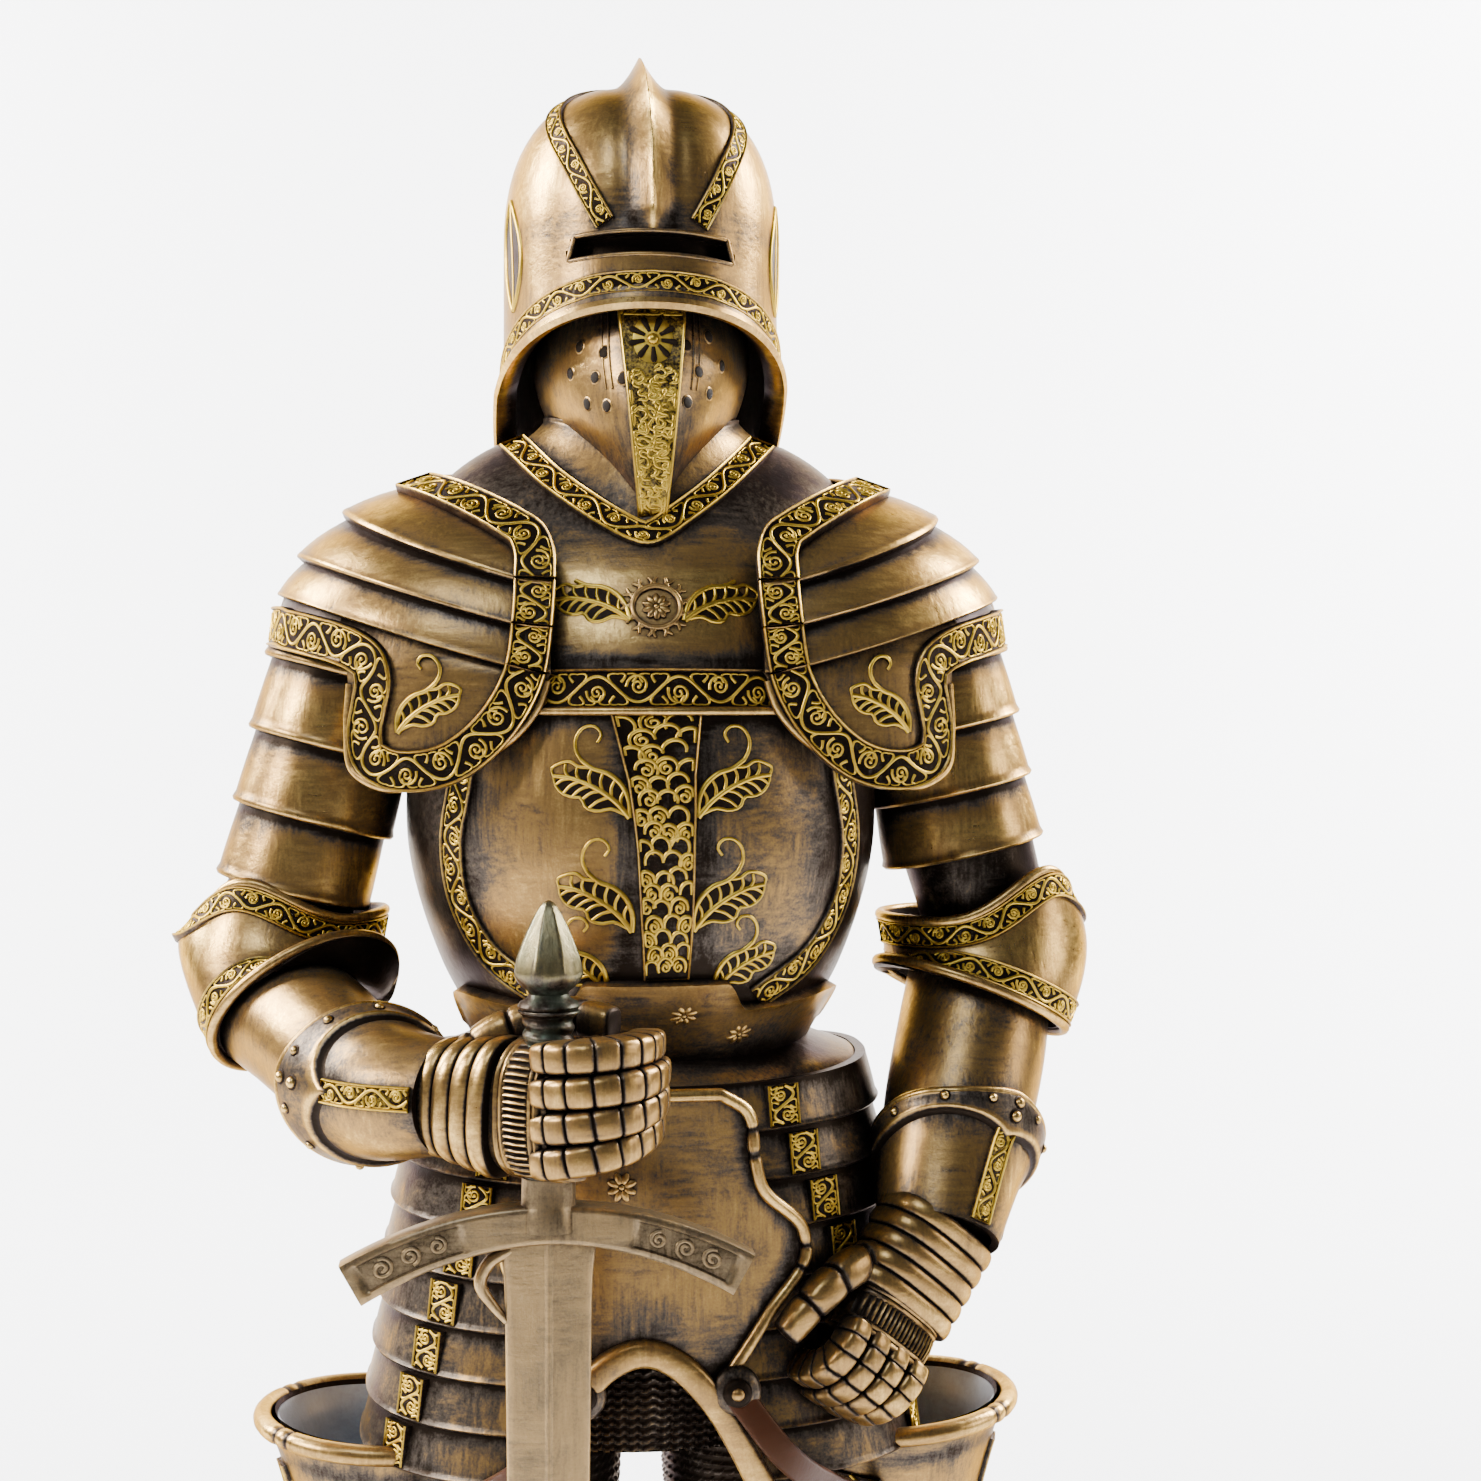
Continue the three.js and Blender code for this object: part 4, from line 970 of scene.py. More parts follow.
@dataclass(frozen=True)
class AntiqueBronze:
    """Dark ground, dry-brushed bronze on what stands out, and yellow gilding on the ornament."""

    name: str
    ground: tuple = (0.012, 0.008, 0.006)
    satin: tuple = (0.080, 0.066, 0.056)
    bronze: tuple = (0.33, 0.195, 0.068)
    bright: tuple = (0.80, 0.52, 0.17)
    gilding: tuple = (0.74, 0.49, 0.07)
    shaded_gilding: tuple = (0.20, 0.105, 0.012)
    verdigris: float = 0.0
    # How far the occlusion darkens the colour: the finish's dark glaze in hollows, together with painted
    # shade.
    wash_and_shade: float = 0.75
    gloss: float = 0.0
    metal: float = 1.0
    clear: float = 0.2
    edge_tint: tuple = (0.50, 0.38, 0.26)

    def make(self) -> bpy.types.Material:
        """The finish as a material.

        The wear is the polish, which in places is painted shade and painted highlight, held back by the
        occlusion in hollows
        and where surfaces crowd close: partly the finish's dark glaze, partly painted shade. Clouds, brush
        marks that change their direction from patch to patch, and grain are added. It runs from ground over
        satin and bronze to bright. The gilding is lit and shaded by the same occlusion, which is painted
        shade.

        Returns:
            A metal whose colour and gloss follow the wear and the gilding.
        """
        finish = Finish(self.name)
        polish_and_painted_light, gilt = finish.attribute("polish_and_painted_light"), finish.attribute("gilt")
        # The occlusion darkens the colour in hollows and where surfaces crowd close: the finish's dark glaze
        # and painted shade together.
        open_to_air = finish.openness(5.0).ramp(0.25, 0.95)
        cloud, patch, grain = finish.noise(15.0, 2.0), finish.noise(5.0, 3.0), finish.noise(0.42, 2.0)
        upright = finish.noise(0.8, 3.0, (1.0, 1.0, 9.0), (0.25, 0.3, 0.0))
        level = finish.noise(0.9, 3.0, (8.0, 1.5, 1.0), (0.1, 0.35, 0.5))
        turned = finish.noise(11.0, 1.0).ramp(0.44, 0.56)
        brush = upright * turned + level * (1.0 - turned)
        marks = (cloud - 0.5) * 0.75 + (patch - 0.5) * 0.5 + (brush - 0.5) * 0.75 + (grain - 0.5) * 0.45
        # The wear takes in the occlusion, so it holds painted shade in hollows as well as wear and glaze.
        worn = (
            polish_and_painted_light * (open_to_air * self.wash_and_shade + (1.0 - self.wash_and_shade))
            - (1.0 - open_to_air) * (0.44 * self.wash_and_shade)
            + marks
        )
        colour = finish.mix(worn.ramp(0.0, 0.42), self.ground, self.satin)
        colour = finish.mix(worn.ramp(0.3, 0.8), colour, self.bronze)
        colour = finish.mix(worn.ramp(0.72, 1.35), colour, self.bright)
        if self.verdigris > 0:
            tone = (patch.ramp(0.40, 0.66) * (1.0 - worn.ramp(0.4, 1.1) * 0.7) * self.verdigris).clamp()
            colour = finish.mix(tone, colour, (0.085, 0.115, 0.085))
        gold = (gilt * 1.2 + (grain - 0.5) * 0.9 + (patch - 0.5) * 0.8).ramp(0.2, 0.8) * gilt.ramp(0.02, 0.3)
        lit = (open_to_air * 1.1 + (brush - 0.5) * 0.9 - 0.25).clamp()
        leaf = finish.mix(lit, self.shaded_gilding, self.gilding)
        colour = finish.mix(gold, colour, leaf)
        finish.feed("Base Color", colour)
        finish.feed("Specular IOR Level", self.clear)
        finish.feed("Specular Tint", (*self.edge_tint, 1.0))
        finish.feed("Metallic", (worn * 0.35 + 0.62).clamp() * self.metal)
        roughness = 0.38 - self.gloss - worn * 0.08 + (brush - 0.5) * 0.22 + gold * 0.04
        finish.feed("Roughness", roughness.clamp())
        finish.bump(grain * 0.4 + brush * 0.7 + finish.noise(3.5, 2.0) * 1.3, 0.09, 0.6)
        return finish.material


@dataclass(frozen=True)
class PlainColour:
    """Matt surface with a little cloudy difference, for the floor."""

    name: str
    colour: tuple = (0.86, 0.86, 0.87)

    def make(self) -> bpy.types.Material:
        """The finish as a material.

        Returns:
            The material.
        """
        finish = Finish(self.name)
        low = tuple(0.97 * c for c in self.colour)
        finish.feed("Base Color", finish.mix(finish.noise(300.0, 2.0), low, self.colour))
        finish.feed("Roughness", 0.8)
        return finish.material


# Bodies that the plates follow


@dataclass(frozen=True)
class Levels:
    """Body of level ovals one over another, with a smooth outline between them."""

    heights: tuple[float, ...]
    wide: tuple[float, ...]
    front: tuple[float, ...]
    back: tuple[float, ...]
    exponent: float = 2.2

    def at(self, turn: Array, z: Array) -> Array:
        """Point at an angle from the front and a height.

        Args:
            turn: angles from the front, in radians.
            z: heights.

        Returns:
            The points, as (..., 3).
        """
        wide, front, back = (through(self.heights, reach, z) for reach in (self.wide, self.front, self.back))
        x, y = oval(turn, wide, front, back, self.exponent)
        return stack(x, y, z)

    def reach(self, x: Array, z: Array, depths: tuple[float, ...]) -> Array:
        """Distance of the outside from the middle plane, at a place sideways and a height.

        Args:
            x: places sideways.
            z: heights.
            depths: the front or back reaches of the levels.

        Returns:
            The reach at the middle, times the superellipse's fall towards the sides.
        """
        inside = 1.0 - np.minimum(np.abs(x) / through(self.heights, self.wide, z), 0.995) ** self.exponent
        return through(self.heights, depths, z) * inside ** (1 / self.exponent)

    def facing(self, x: Array, z: Array) -> Array:
        """Point of the front at a place sideways and a height."""
        return stack(x, -self.reach(x, z, self.front), z)

    def behind(self, x: Array, z: Array) -> Array:
        """Point of the back at a place sideways and a height."""
        return stack(x, self.reach(x, z, self.back), z)

    def round(self) -> Skin:
        """The body's outside by angle and height."""
        return Skin(self.at)

    def ahead(self) -> Skin:
        """The body's front by place sideways and height."""
        return Skin(self.facing, step=1e-2)


class Limb:
    """Round form along a path, with its own width and depth at each station."""

    def __init__(self, stations: Stations, across: Triple, exponent: float = 2.0) -> None:
        """Works out the frames along the path.

        Args:
            stations: x, y, z, half width and half depth.
            across: the way the width points.
            exponent: superellipse exponent of its section.
        """
        rows = np.asarray(stations, float)
        chord = arc_lengths(rows[:, :3])
        fine = through(chord, rows, np.linspace(0.0, chord[-1], 160))
        self.arc = arc_lengths(fine[:, :3])
        self.knots = np.interp(chord / chord[-1], shares(160), self.arc) / self.arc[-1]
        along = unit(np.gradient(fine[:, :3], self.arc, axis=0))
        reach = np.asarray(across, float)
        side = unit(reach - along * (along @ reach)[:, None])
        other = np.cross(along, side)
        self.table = np.concatenate([fine[:, :3], side, other, fine[:, 3:5]], axis=1)
        self.exponent = exponent

    def at(self, turn: Array, share: Array) -> Array:
        """Point at an angle from the across direction and a share of the length.

        Args:
            turn: angles from the across direction, in radians.
            share: shares of the length, 0 at its start.

        Returns:
            The points, as (..., 3).
        """
        rows = columns_at(share * self.arc[-1], self.arc, self.table)
        power = 2 / self.exponent
        wide = (rows[..., 9] * signed_power(np.cos(turn), power))[..., None]
        deep = (rows[..., 10] * signed_power(np.sin(turn), power))[..., None]
        return rows[..., :3] + rows[..., 3:6] * wide + rows[..., 6:9] * deep

    def skin(self) -> Skin:
        """The limb's outside."""
        return Skin(self.at)


@dataclass(frozen=True)
class LameRows:
    """Rows of one lame after another: each one swells to a rolled edge and steps back under it."""

    count: int
    step: float = 0.9
    lip: float = 0.12

    def rows(self) -> tuple[Array, Array, Array]:
        """Share of the whole height, rise over the skin, and polish of each row.

        Returns:
            Three arrays with one value for each row.
        """
        share = np.array([0.0, 0.05, 0.13, 0.3, 0.5, 0.68, 0.8, 0.85, 0.89, 0.94, 0.98, 1.0])
        swell = np.array([0.0, 0.05, 0.14, 0.36, 0.6, 0.79, 0.9, 0.94, 0.98, 1.0, 0.9, 0.3])
        edge = np.array([0.0, 0.0, 0.0, 0.0, 0.0, 0.0, 0.0, 0.0, 0.4, 1.0, 0.5, -0.6])
        shine = np.array([-0.6, -0.1, 0.4, 0.75, 0.86, 0.86, 0.78, 0.68, 0.62, 0.95, 0.75, -0.4])
        order = np.arange(self.count)[:, None]
        every = ((order + share) / self.count).ravel()
        rise = np.tile(self.step * swell + self.lip * edge, self.count)
        return every, rise, np.tile(shine, self.count)


def barrel(casting: Casting, skin: Skin, rows: Array, rise: Array = 0.0, polish_and_painted_light: Array = 0.7,
           around: int = 72, gilt: Array = 0.0) -> None:
    """Closed body round a skin whose first parameter is an angle.

    Args:
        casting: takes the body.
        skin: the surface, by angle and row.
        rows: the second parameter's values, from end to end.
        rise: height of each row over the skin.
        polish_and_painted_light: polish of each row, or of each row and column.
        around: columns.
        gilt: gilding, as the polish.
    """
    turn = circle(around)
    rows = np.asarray(rows, float)[:, None]
    shape = (len(rows), around)

    def spread(value: Array) -> Array:
        """A value for each row and column."""
        value = np.asarray(value, float)
        return np.broadcast_to(value[:, None] if value.ndim == 1 else value, shape)

    casting.add(skin.lift(turn, rows, spread(rise)), spread(polish_and_painted_light), spread(gilt))


@dataclass(frozen=True)
class Knuckled:
    """Rows of square-edged segments with narrow joints between them, for fingers and wrist plates."""

    count: int
    depth: float
    crown: float = 0.1

    def rows(self) -> tuple[Array, Array, Array]:
        """Share of the length, rise over the skin, and polish of each row.

        Returns:
            Three arrays with one value for each row.
        """
        share = np.array([0.0, 0.03, 0.07, 0.14, 0.3, 0.5, 0.7, 0.86, 0.93, 0.97])
        drop = np.array([1.0, 0.6, 0.2, 0.05, 0.0, 0.0, 0.0, 0.05, 0.2, 0.6])
        swell = np.array([0.0, 0.1, 0.3, 0.55, 0.85, 1.0, 0.85, 0.55, 0.3, 0.1])
        shine = np.array([-0.6, -0.2, 0.45, 0.75, 0.8, 0.85, 0.8, 0.75, 0.45, -0.2])
        every = ((np.arange(self.count)[:, None] + share) / self.count).ravel()
        rise = np.tile(self.crown * swell - self.depth * drop, self.count)
        shine = np.append(np.tile(shine, self.count), -0.2)
        return np.append(every, 1.0), np.append(rise, -self.depth), shine


def rivets(casting: Casting, skin: Skin, u: Sequence[float], v: Sequence[float], radius: float = 0.9,
           rise: float = 0.0) -> None:
    """Rivet heads on a surface, each in a shallow dark ring.

    Args:
        casting: takes the rivets.
        skin: the surface.
        u: their first parameters.
        v: their second parameters.
        radius: radius of a head.
        rise: height of their feet over the skin.
    """
    u, v = np.asarray(u, float), np.asarray(v, float)
    foot, normal = skin.lift(u, v, rise), skin.normal(u, v)
    domes(casting, foot, normal, radius * 1.35, 0.12, -0.1)
    domes(casting, foot + normal * 0.08, normal, radius, 0.75, 1.1)


# Helmet


@dataclass
class Helmet:
    """Sallet with comb, eye slit and tail, over a keeled bevor whose breath holes are rings round dark discs
    of painted shade.
    """

    springing: float = 416.0
    crown: float = 444.6
    wide: float = 24.5
    front: float = 31.5
    back: float = 35.0
    tail: float = 45.0
    middle: float = 2.0
    brow: float = 402.2
    cheek: float = 391.0
    nape: float = 374.0
    level: float = 407.0
    wall: float = 2.2
    bulge: float = 2.5
    comb_rise: float = 3.7
    comb_half: float = 4.4
    slit_low: float = 410.7
    slit_high: float = 414.1
    slit_turn: float = math.radians(33)
    slit_slant: float = math.radians(3)
    slit_fall: float = 1.8
    rosette: tuple[float, float] = (12.4, 4.2)
    slant: tuple = ((16.5, 415.7), (24, 421.2), (33, 427.3), (44, 432.8), (54, 437.0), (62, 440.2),
                    (68, 442.4), (72, 443.7), (74, 444.3))
    holes: tuple = ((-11.8, 395.8), (-7.9, 394.3), (-13.3, 391.5), (-9.4, 390.2), (-4.6, 389.4),
                    (-10.6, 386.0), (-7.5, 385.2), (9.9, 397.6), (5.8, 395.5), (12.4, 393.0), (8.0, 391.2),
                    (3.2, 389.8), (10.0, 387.8), (5.9, 385.8))

    def edge(self, turn: Array) -> Array:
        """Height of the hood's lower edge at an angle from the front.

        Args:
            turn: angles from the front, in radians.

        Returns:
            The heights, least at the nape.
        """
        degrees = np.degrees(np.abs((turn + np.pi) % (2 * np.pi) - np.pi))
        return (
            self.brow
            - (self.brow - self.cheek) * np.minimum(degrees / 80, 1.0) ** 2
            - 11.5 * smoothstep(degrees, 80, 106)
            - 5.0 * smoothstep(degrees, 106, 180)
        )

    def hood(self, turn: Array, z: Array, inset: Array = 0.0) -> Array:
        """Point of the hood: a superellipse in plan that closes to the crown as one in section.

        Args:
            turn: angles from the front, in radians.
            z: heights.
            inset: distance inwards from the outside.

        Returns:
            The points, as (..., 3).
        """
        above = np.clip((z - self.springing) / (self.crown - self.springing), 0.0, 1.0)
        shrink = np.maximum(0.0, 1.0 - above**self.bulge) ** (1 / self.bulge)
        below = np.maximum(0.0, (self.springing - z) / (self.springing - self.nape))
        back = self.back + (self.tail - self.back) * below**1.5
        front = self.front + 1.2 * below
        x, y = oval(turn, self.wide * shrink - inset, front * shrink - inset, back * shrink - inset)
        return stack(x, self.middle + y, z)

    def combed(self, turn: Array, z: Array) -> Array:
        """The hood with its comb: a sharp ridge in the middle plane between hollow flanks.

        The rise along the middle plane is a low start plus the square of a sine, and each flank falls away as
        a power of the distance from the ridge.

        Args:
            turn: angles from the front, in radians.
            z: heights.

        Returns:
            The points, as (..., 3).
        """
        base = self.hood(turn, z)
        ahead, up = self.middle - base[..., 1], np.maximum(base[..., 2] - self.springing, -8.0)
        tilt = np.arctan2(up, ahead)
        share = np.clip((tilt + math.radians(8)) / math.radians(172), 0.0, 1.0)
        bow = np.sin(np.pi * smoothstep(share, 0.02, 0.98)) ** 2
        fade = np.where(ahead > 0, smoothstep(base[..., 2], self.slit_high + 0.3, self.slit_high + 3.5),
                        smoothstep(base[..., 2], self.nape + 2.0, self.springing - 4.0))
        rise = (1.5 + self.comb_rise * bow) * fade
        beside = np.abs(base[..., 0] + 0.9 * bow)
        ridge = np.clip(1.0 - beside / self.comb_half, 0.0, 1.0) ** 1.7
        hollow = 0.55 * bell(beside, 4.6, 2.0) * fade * (1.0 - 0.6 * bow)
        outward = np.stack([np.zeros_like(tilt), -np.cos(tilt), np.sin(tilt)], axis=-1)
        return base + outward * (rise * ridge - hollow)[..., None]

    def drawn(self, turn: Array, z: Array) -> Array:
        """Height of a row beside the slit, drawn down towards the slit's ends.

        The fall grows as a smooth step of the angle, and fades above and below the slit as a bell.

        Args:
            turn: angles from the front, in radians.
            z: heights.

        Returns:
            The new heights.
        """
        near = bell(z, (self.slit_low + self.slit_high) / 2, 3.5)
        return z - self.slit_fall * smoothstep(np.abs(turn), 0.0, 1.0) * near

    def skin(self) -> Skin:
        """The hood's outside, by angle and height."""
        return Skin(self.hood)

    def shell(self, casting: Casting) -> None:
        """Adds the hood with its wall, rolled edge, slit and comb.

        Args:
            casting: takes the forms.
        """
        even = np.linspace(-np.pi, np.pi, 260, endpoint=False)
        turn = even - 0.44 * np.sin(2 * even)
        edge = self.edge(turn)
        low = shares(26)[:, None]
        skirt = edge + (self.level - edge) * low**0.9
        slit_rows = [self.slit_low - 0.06, self.slit_low + 0.06, self.slit_high - 0.06, self.slit_high + 0.06]
        upright = np.sort(np.concatenate([np.arange(self.level + 0.8, self.springing, 0.8), slit_rows]))
        dome = self.springing + (self.crown - self.springing) * np.sin(
            np.linspace(0.0, np.pi / 2, 64)[1:-1]) ** (2 / self.bulge)
        level_rows = np.concatenate([upright, dome])[:, None] + 0 * turn
        heights = np.concatenate([skirt, self.drawn(turn, level_rows)])
        level_rows = np.concatenate([skirt, level_rows])
        outer = self.combed(turn, heights)
        normal_out = unit(outer * np.array([1.0, 1.0, 0.0]) - np.array([0.0, self.middle, 0.0]))
        above_edge = heights - edge
        flare = 1.5 * np.exp(-above_edge / 2.2)
        slit_tall = self.slit_high - self.slit_low
        reach = self.slit_turn - self.slit_slant * (level_rows - self.slit_low) / slit_tall
        inside = (level_rows > self.slit_low) & (level_rows < self.slit_high) & (np.abs(turn) < reach)
        outer = outer + normal_out * (flare - 3.2 * inside)[..., None]
        rim_angle = np.radians([60.0, 0.0, -60.0, -120.0])
        rim = [
            self.hood(turn, edge - 0.2 + 1.15 * np.sin(a), -1.2 - 1.1 * np.cos(a) + 0.4) for a in rim_angle
        ]
        inner_heights = edge + (self.slit_low - 2.0 - edge) * np.array([0.03, 0.3, 0.65, 1.0])[:, None]
        inner = self.hood(turn, inner_heights, self.wall)
        rings = np.concatenate([inner[::-1], np.stack(rim[::-1]), outer])
        above_slit = bell(heights, self.slit_high + 2.0, 2.5) * smoothstep(np.cos(turn), 0.25, 0.6)
        shine = 0.68 + 0.2 * smoothstep(heights, 404, 425) - 0.3 * above_slit
        shine = shine - 0.4 * np.exp(-np.abs(above_edge - 2.2) / 0.9) * (np.cos(turn) > -0.3)
        beside = np.abs(outer[..., 0])
        shine = shine + (bell(beside, 0.0, 0.45) - 0.35 * bell(beside, 3.4, 1.6)) * (
            (heights > self.slit_high) | (np.cos(turn) < 0))
        shine = np.where(inside, -0.6, shine)
        dark = np.full((len(inner), turn.size), -0.25)
        bright = np.full((len(rim), turn.size), 0.95)
        casting.add(rings, np.concatenate([dark, bright, shine]))

    def bands(self, casting: Casting) -> None:
        """Adds the brow band, the slanting bands and the bands over the crown.

        Args:
            casting: takes the forms.
        """
        skin = self.skin()
        above_edge = 3.6
        brow = [(a, float(self.edge(a)) + above_edge) for a in np.radians(np.linspace(-100, 100, 15))]
        band = Ribbon.on(skin, brow, 3.8, 0.6, 0.35)
        band.bed(casting, 0.5, 0.1, 0.42)
        vine(casting, band, 11, 0.5, 0.22, 2.6)
        for side in (-1, 1):
            slant = [(side * math.radians(a), z) for a, z in self.slant]
            band = Ribbon.on(skin, slant, 3.7, 0.6, 0.2)
            band.bed(casting, 0.5, 0.1, 0.42)
            vine(casting, band, 12 + side, 0.5, 0.22, 2.6)

    def side_leaves(self, casting: Casting) -> None:
        """Adds the gilt leaf outline at each side of the hood, with a vein down its middle.

        Args:
            casting: takes the forms.
        """
        skin = self.skin()
        share = shares(40)
        height = 403.5 + 19.5 * share
        belly = np.sin(np.pi * share) ** 0.8
        for side in (-1, 1):
            across = np.linspace(-9.0, 6.2, 10)[None] * belly[:, None]
            turn = side * np.radians(68.0 + across + 5.0 * share[:, None])
            sheet(casting, skin, turn, height[:, None], 0.5, 0.08, -0.2)
            for reach, radius, gilt in ((10.0, 0.5, 0.7), (-7.0, 0.5, 0.7), (1.5, 0.3, 0.9)):
                turn = side * np.radians(68.0 - reach * belly + 5.0 * share)
                skin.line(casting, turn, height, radius, gilt)

    def slit_lip(self, casting: Casting) -> None:
        """Adds the thin raised edge round the eye slit.

        Args:
            casting: takes the forms.
        """
        along = np.linspace(-1.0, 1.0, 60)
        turn = np.concatenate([self.slit_turn * along, (self.slit_turn - self.slit_slant) * along[::-1]])
        height = np.repeat([self.slit_low - 0.3, self.slit_high + 0.3], along.size)
        bead(casting, self.hood(turn, self.drawn(turn, height), 0.15), 0.42, 0.6, 0.0, True, 8)

    def bevor_levels(self) -> tuple[Array, Array, Array, Array]:
        """Heights of the bevor with its half width, front and back.

        Returns:
            Four arrays with one value for each height.
        """
        return (
            np.array([362.0, 367.0, 371.0, 375.5, 381.5, 388.0, 394.0, 401.0, 408.0]),
            np.array([1.6, 3.6, 6.9, 10.2, 14.6, 17.8, 19.3, 19.0, 17.5]),
            np.array([24.0, 29.2, 30.6, 31.2, 31.4, 31.0, 29.8, 27.6, 24.5]),
            np.array([4.0, 6.0, 8.0, 9.0, 10.0, 12.0, 13.0, 13.0, 13.0]),
        )

    def bevor(self, turn: Array, z: Array) -> Array:
        """Point of the bevor, a keeled form narrowing to the chin.

        Args:
            turn: angles from the front, in radians.
            z: heights.

        Returns:
            The points, as (..., 3).
        """
        knots, wide, front, back = self.bevor_levels()
        x, y = oval(turn, through(knots, wide, z), through(knots, front, z), through(knots, back, z), 1.78)
        return stack(x, y, z)

    def chin(self, casting: Casting) -> None:
        """Adds the bevor, its middle strip with rays, its breath holes as rings round dark discs of painted
        shade, and its side ridges.

        Args:
            casting: takes the forms.
        """
        turn = circle(120)
        z = np.linspace(362.0, 408.0, 70)[:, None]
        shine = 0.38 + 0.3 * smoothstep(z, 364, 385) - 0.3 * smoothstep(z, 398, 406)
        casting.add(self.bevor(turn, z), shine - 0.1 * np.cos(2 * turn) ** 2)
        skin = Skin(self.bevor)
        middle = [(0.0, 407.5), (0.0, 398.0), (0.0, 388.0), (0.0, 378.0), (0.0, 366.6)]
        strip = Ribbon.on(skin, middle, [12.5, 11.0, 9.0, 7.0, 5.0], 0.7, 0.1)
        strip.bed(casting, 0.5, 0.3, 0.4, 0.6, 1.0, 0.3)
        self.rays(casting, strip)
        tangle(casting, strip.stretch(16.4, strip.length), 21, 1.15, 0.4, 0.38, 2.3)
        tangle(casting, strip.stretch(0.4, 8.0), 22, 1.15, 0.4, 0.38, 2.3)
        sideways, height = np.array(self.holes).T
        aside = np.clip(np.abs(sideways) / through(*self.bevor_levels()[:2], height), 0, 1)
        spot_turn = np.sign(sideways) * np.arcsin(aside**0.89)
        normal = skin.normal(spot_turn, height)
        foot = skin.lift(spot_turn, height, np.where(np.abs(sideways) < 5.2, 0.7, 0.0))
        # Each breath hole is a low ring round a dark disc: the disc is painted shade in place of the opening.
        domes(casting, foot, normal, 1.28, 0.16, 0.7, 0.0, 16)
        domes(casting, foot + normal * 0.12, normal, 1.02, 0.14, -3.0, 0.0, 16)
        for side in (-1, 1):
            for offset, radius in ((24.5, 0.28), (28.0, 0.22)):
                line = [(side * math.radians(offset), z) for z in (407.0, 398.0, 388.0)]
                skin.line(casting, *smooth_line(line, 24).T, radius, 0.1, 0.7)

    def rays(self, casting: Casting, strip: Ribbon) -> None:
        """Adds the rosette on the bevor's strip: a gilt disc with wedge-shaped dark slots, made as low raised
        wedges of painted shade, and a boss.

        Args:
            casting: takes the forms.
            strip: the bevor's middle strip.
        """
        place, reach = self.rosette
        half = np.interp(place, strip.arc, strip.half)
        foot, normal = strip.place(np.array([place]), np.array([0.0]), np.array([0.0]))
        domes(casting, foot, normal, reach + 0.5, 0.1, 0.7, 0.8, 40)
        # The slots are low wedges painted dark: painted shade in place of cut slots.
        angles = np.radians(np.arange(9) * 40.0 + 8.0)[:, None]
        steps = np.linspace(0.34, 0.98, 8)
        along = place + reach * steps * np.sin(angles)
        across = reach * steps * np.cos(angles) / half
        centre, normals = strip.place(along, across, 0.5)
        radius = 0.12 + 0.5 * steps - 0.3 * smoothstep(steps, 0.85, 1.0)
        raised_lines(casting, centre, normals, radius, 0.0, -1.6, 0.25)
        domes(casting, foot + normal * 0.5, normal, 1.0, 0.7, 0.95, 1.0, 16)


# Gorget

TRUNK = Levels(
    (266.0, 276.0, 290.0, 308.0, 330.0, 351.0, 358.0, 364.0, 370.0, 376.0, 381.0, 384.0),
    (26.0, 28.5, 35.5, 41.0, 41.3, 40.5, 40.6, 39.8, 38.0, 33.5, 26.0, 19.0),
    (25.0, 29.0, 39.0, 43.8, 43.6, 38.8, 35.2, 31.0, 26.0, 19.5, 12.5, 7.0),
    (20.0, 22.0, 25.0, 28.0, 29.5, 30.0, 29.0, 27.2, 25.0, 21.0, 15.0, 9.0),
)


@dataclass
class Gorget:
    """Collar that rises from a pointed neckline, with a scroll band along the neckline."""

    wide: float = 21.5
    point: float = 364.6
    side: float = 381.0
    throat_wide: float = 15.5
    throat_front: float = 19.5
    throat_back: float = 15.0
    throat_height: float = 389.0
    band: float = 4.9
    band_line: tuple = ((-22.8, 380.5), (-16.8, 373.4), (-11.2, 368.7), (-6.2, 365.3), (-3.0, 363.6),
                          (-1.2, 363.1), (0.8, 363.9), (4.2, 366.3), (9.8, 370.5), (15.3, 375.4),
                          (20.6, 380.6))

    def at(self, turn: Array, share: Array) -> Array:
        """Point of the collar: from the neckline on the trunk, in a slightly hollow curve, to the throat.

        The neckline's height follows the size of the angle's sine. The hollow is a sine of the share.

        Args:
            turn: angles from the front, in radians.
            share: shares of the way up.

        Returns:
            The points, as (..., 3).
        """
        x = self.wide * np.sin(turn)
        z = self.point + (self.side - self.point) * np.abs(np.sin(turn)) ** 1.12
        ahead = np.cos(turn) > 0
        foot = np.where(ahead[..., None], TRUNK.facing(x, z), TRUNK.behind(x, z))
        top_x, top_y = oval(turn, self.throat_wide, self.throat_front, self.throat_back, 2.0)
        top = stack(top_x, top_y, self.throat_height)
        point = foot + (top - foot) * share[..., None]
        hollow = 0.7 * np.sin(np.pi * share)
        return point - stack(hollow * np.sin(turn), -hollow * np.cos(turn), 0.6 * hollow)

    def cast(self, casting: Casting) -> None:
        """Adds the collar and a low ridge halfway up it.

        Args:
            casting: takes the forms.
        """
        share = shares(60)
        shine = 0.35 + 0.5 * bell(share, 0.3, 0.2)
        ridge = 0.4 * bell(share, 0.62, 0.03)
        barrel(casting, Skin(self.at), share, ridge, shine, 140)

    def dress(self, casting: Casting) -> None:
        """Adds the scroll band along the neckline.

        Args:
            casting: takes the forms.
        """
        skin = TRUNK.ahead()
        band = Ribbon.on(skin, self.band_line, self.band, 0.5, 0.5)
        band.bed(casting, 0.6, 0.1, 0.7, 0.6, 1.6)
        vine(casting, band, 31, 0.62, 0.25, 2.3)


# Breastplate


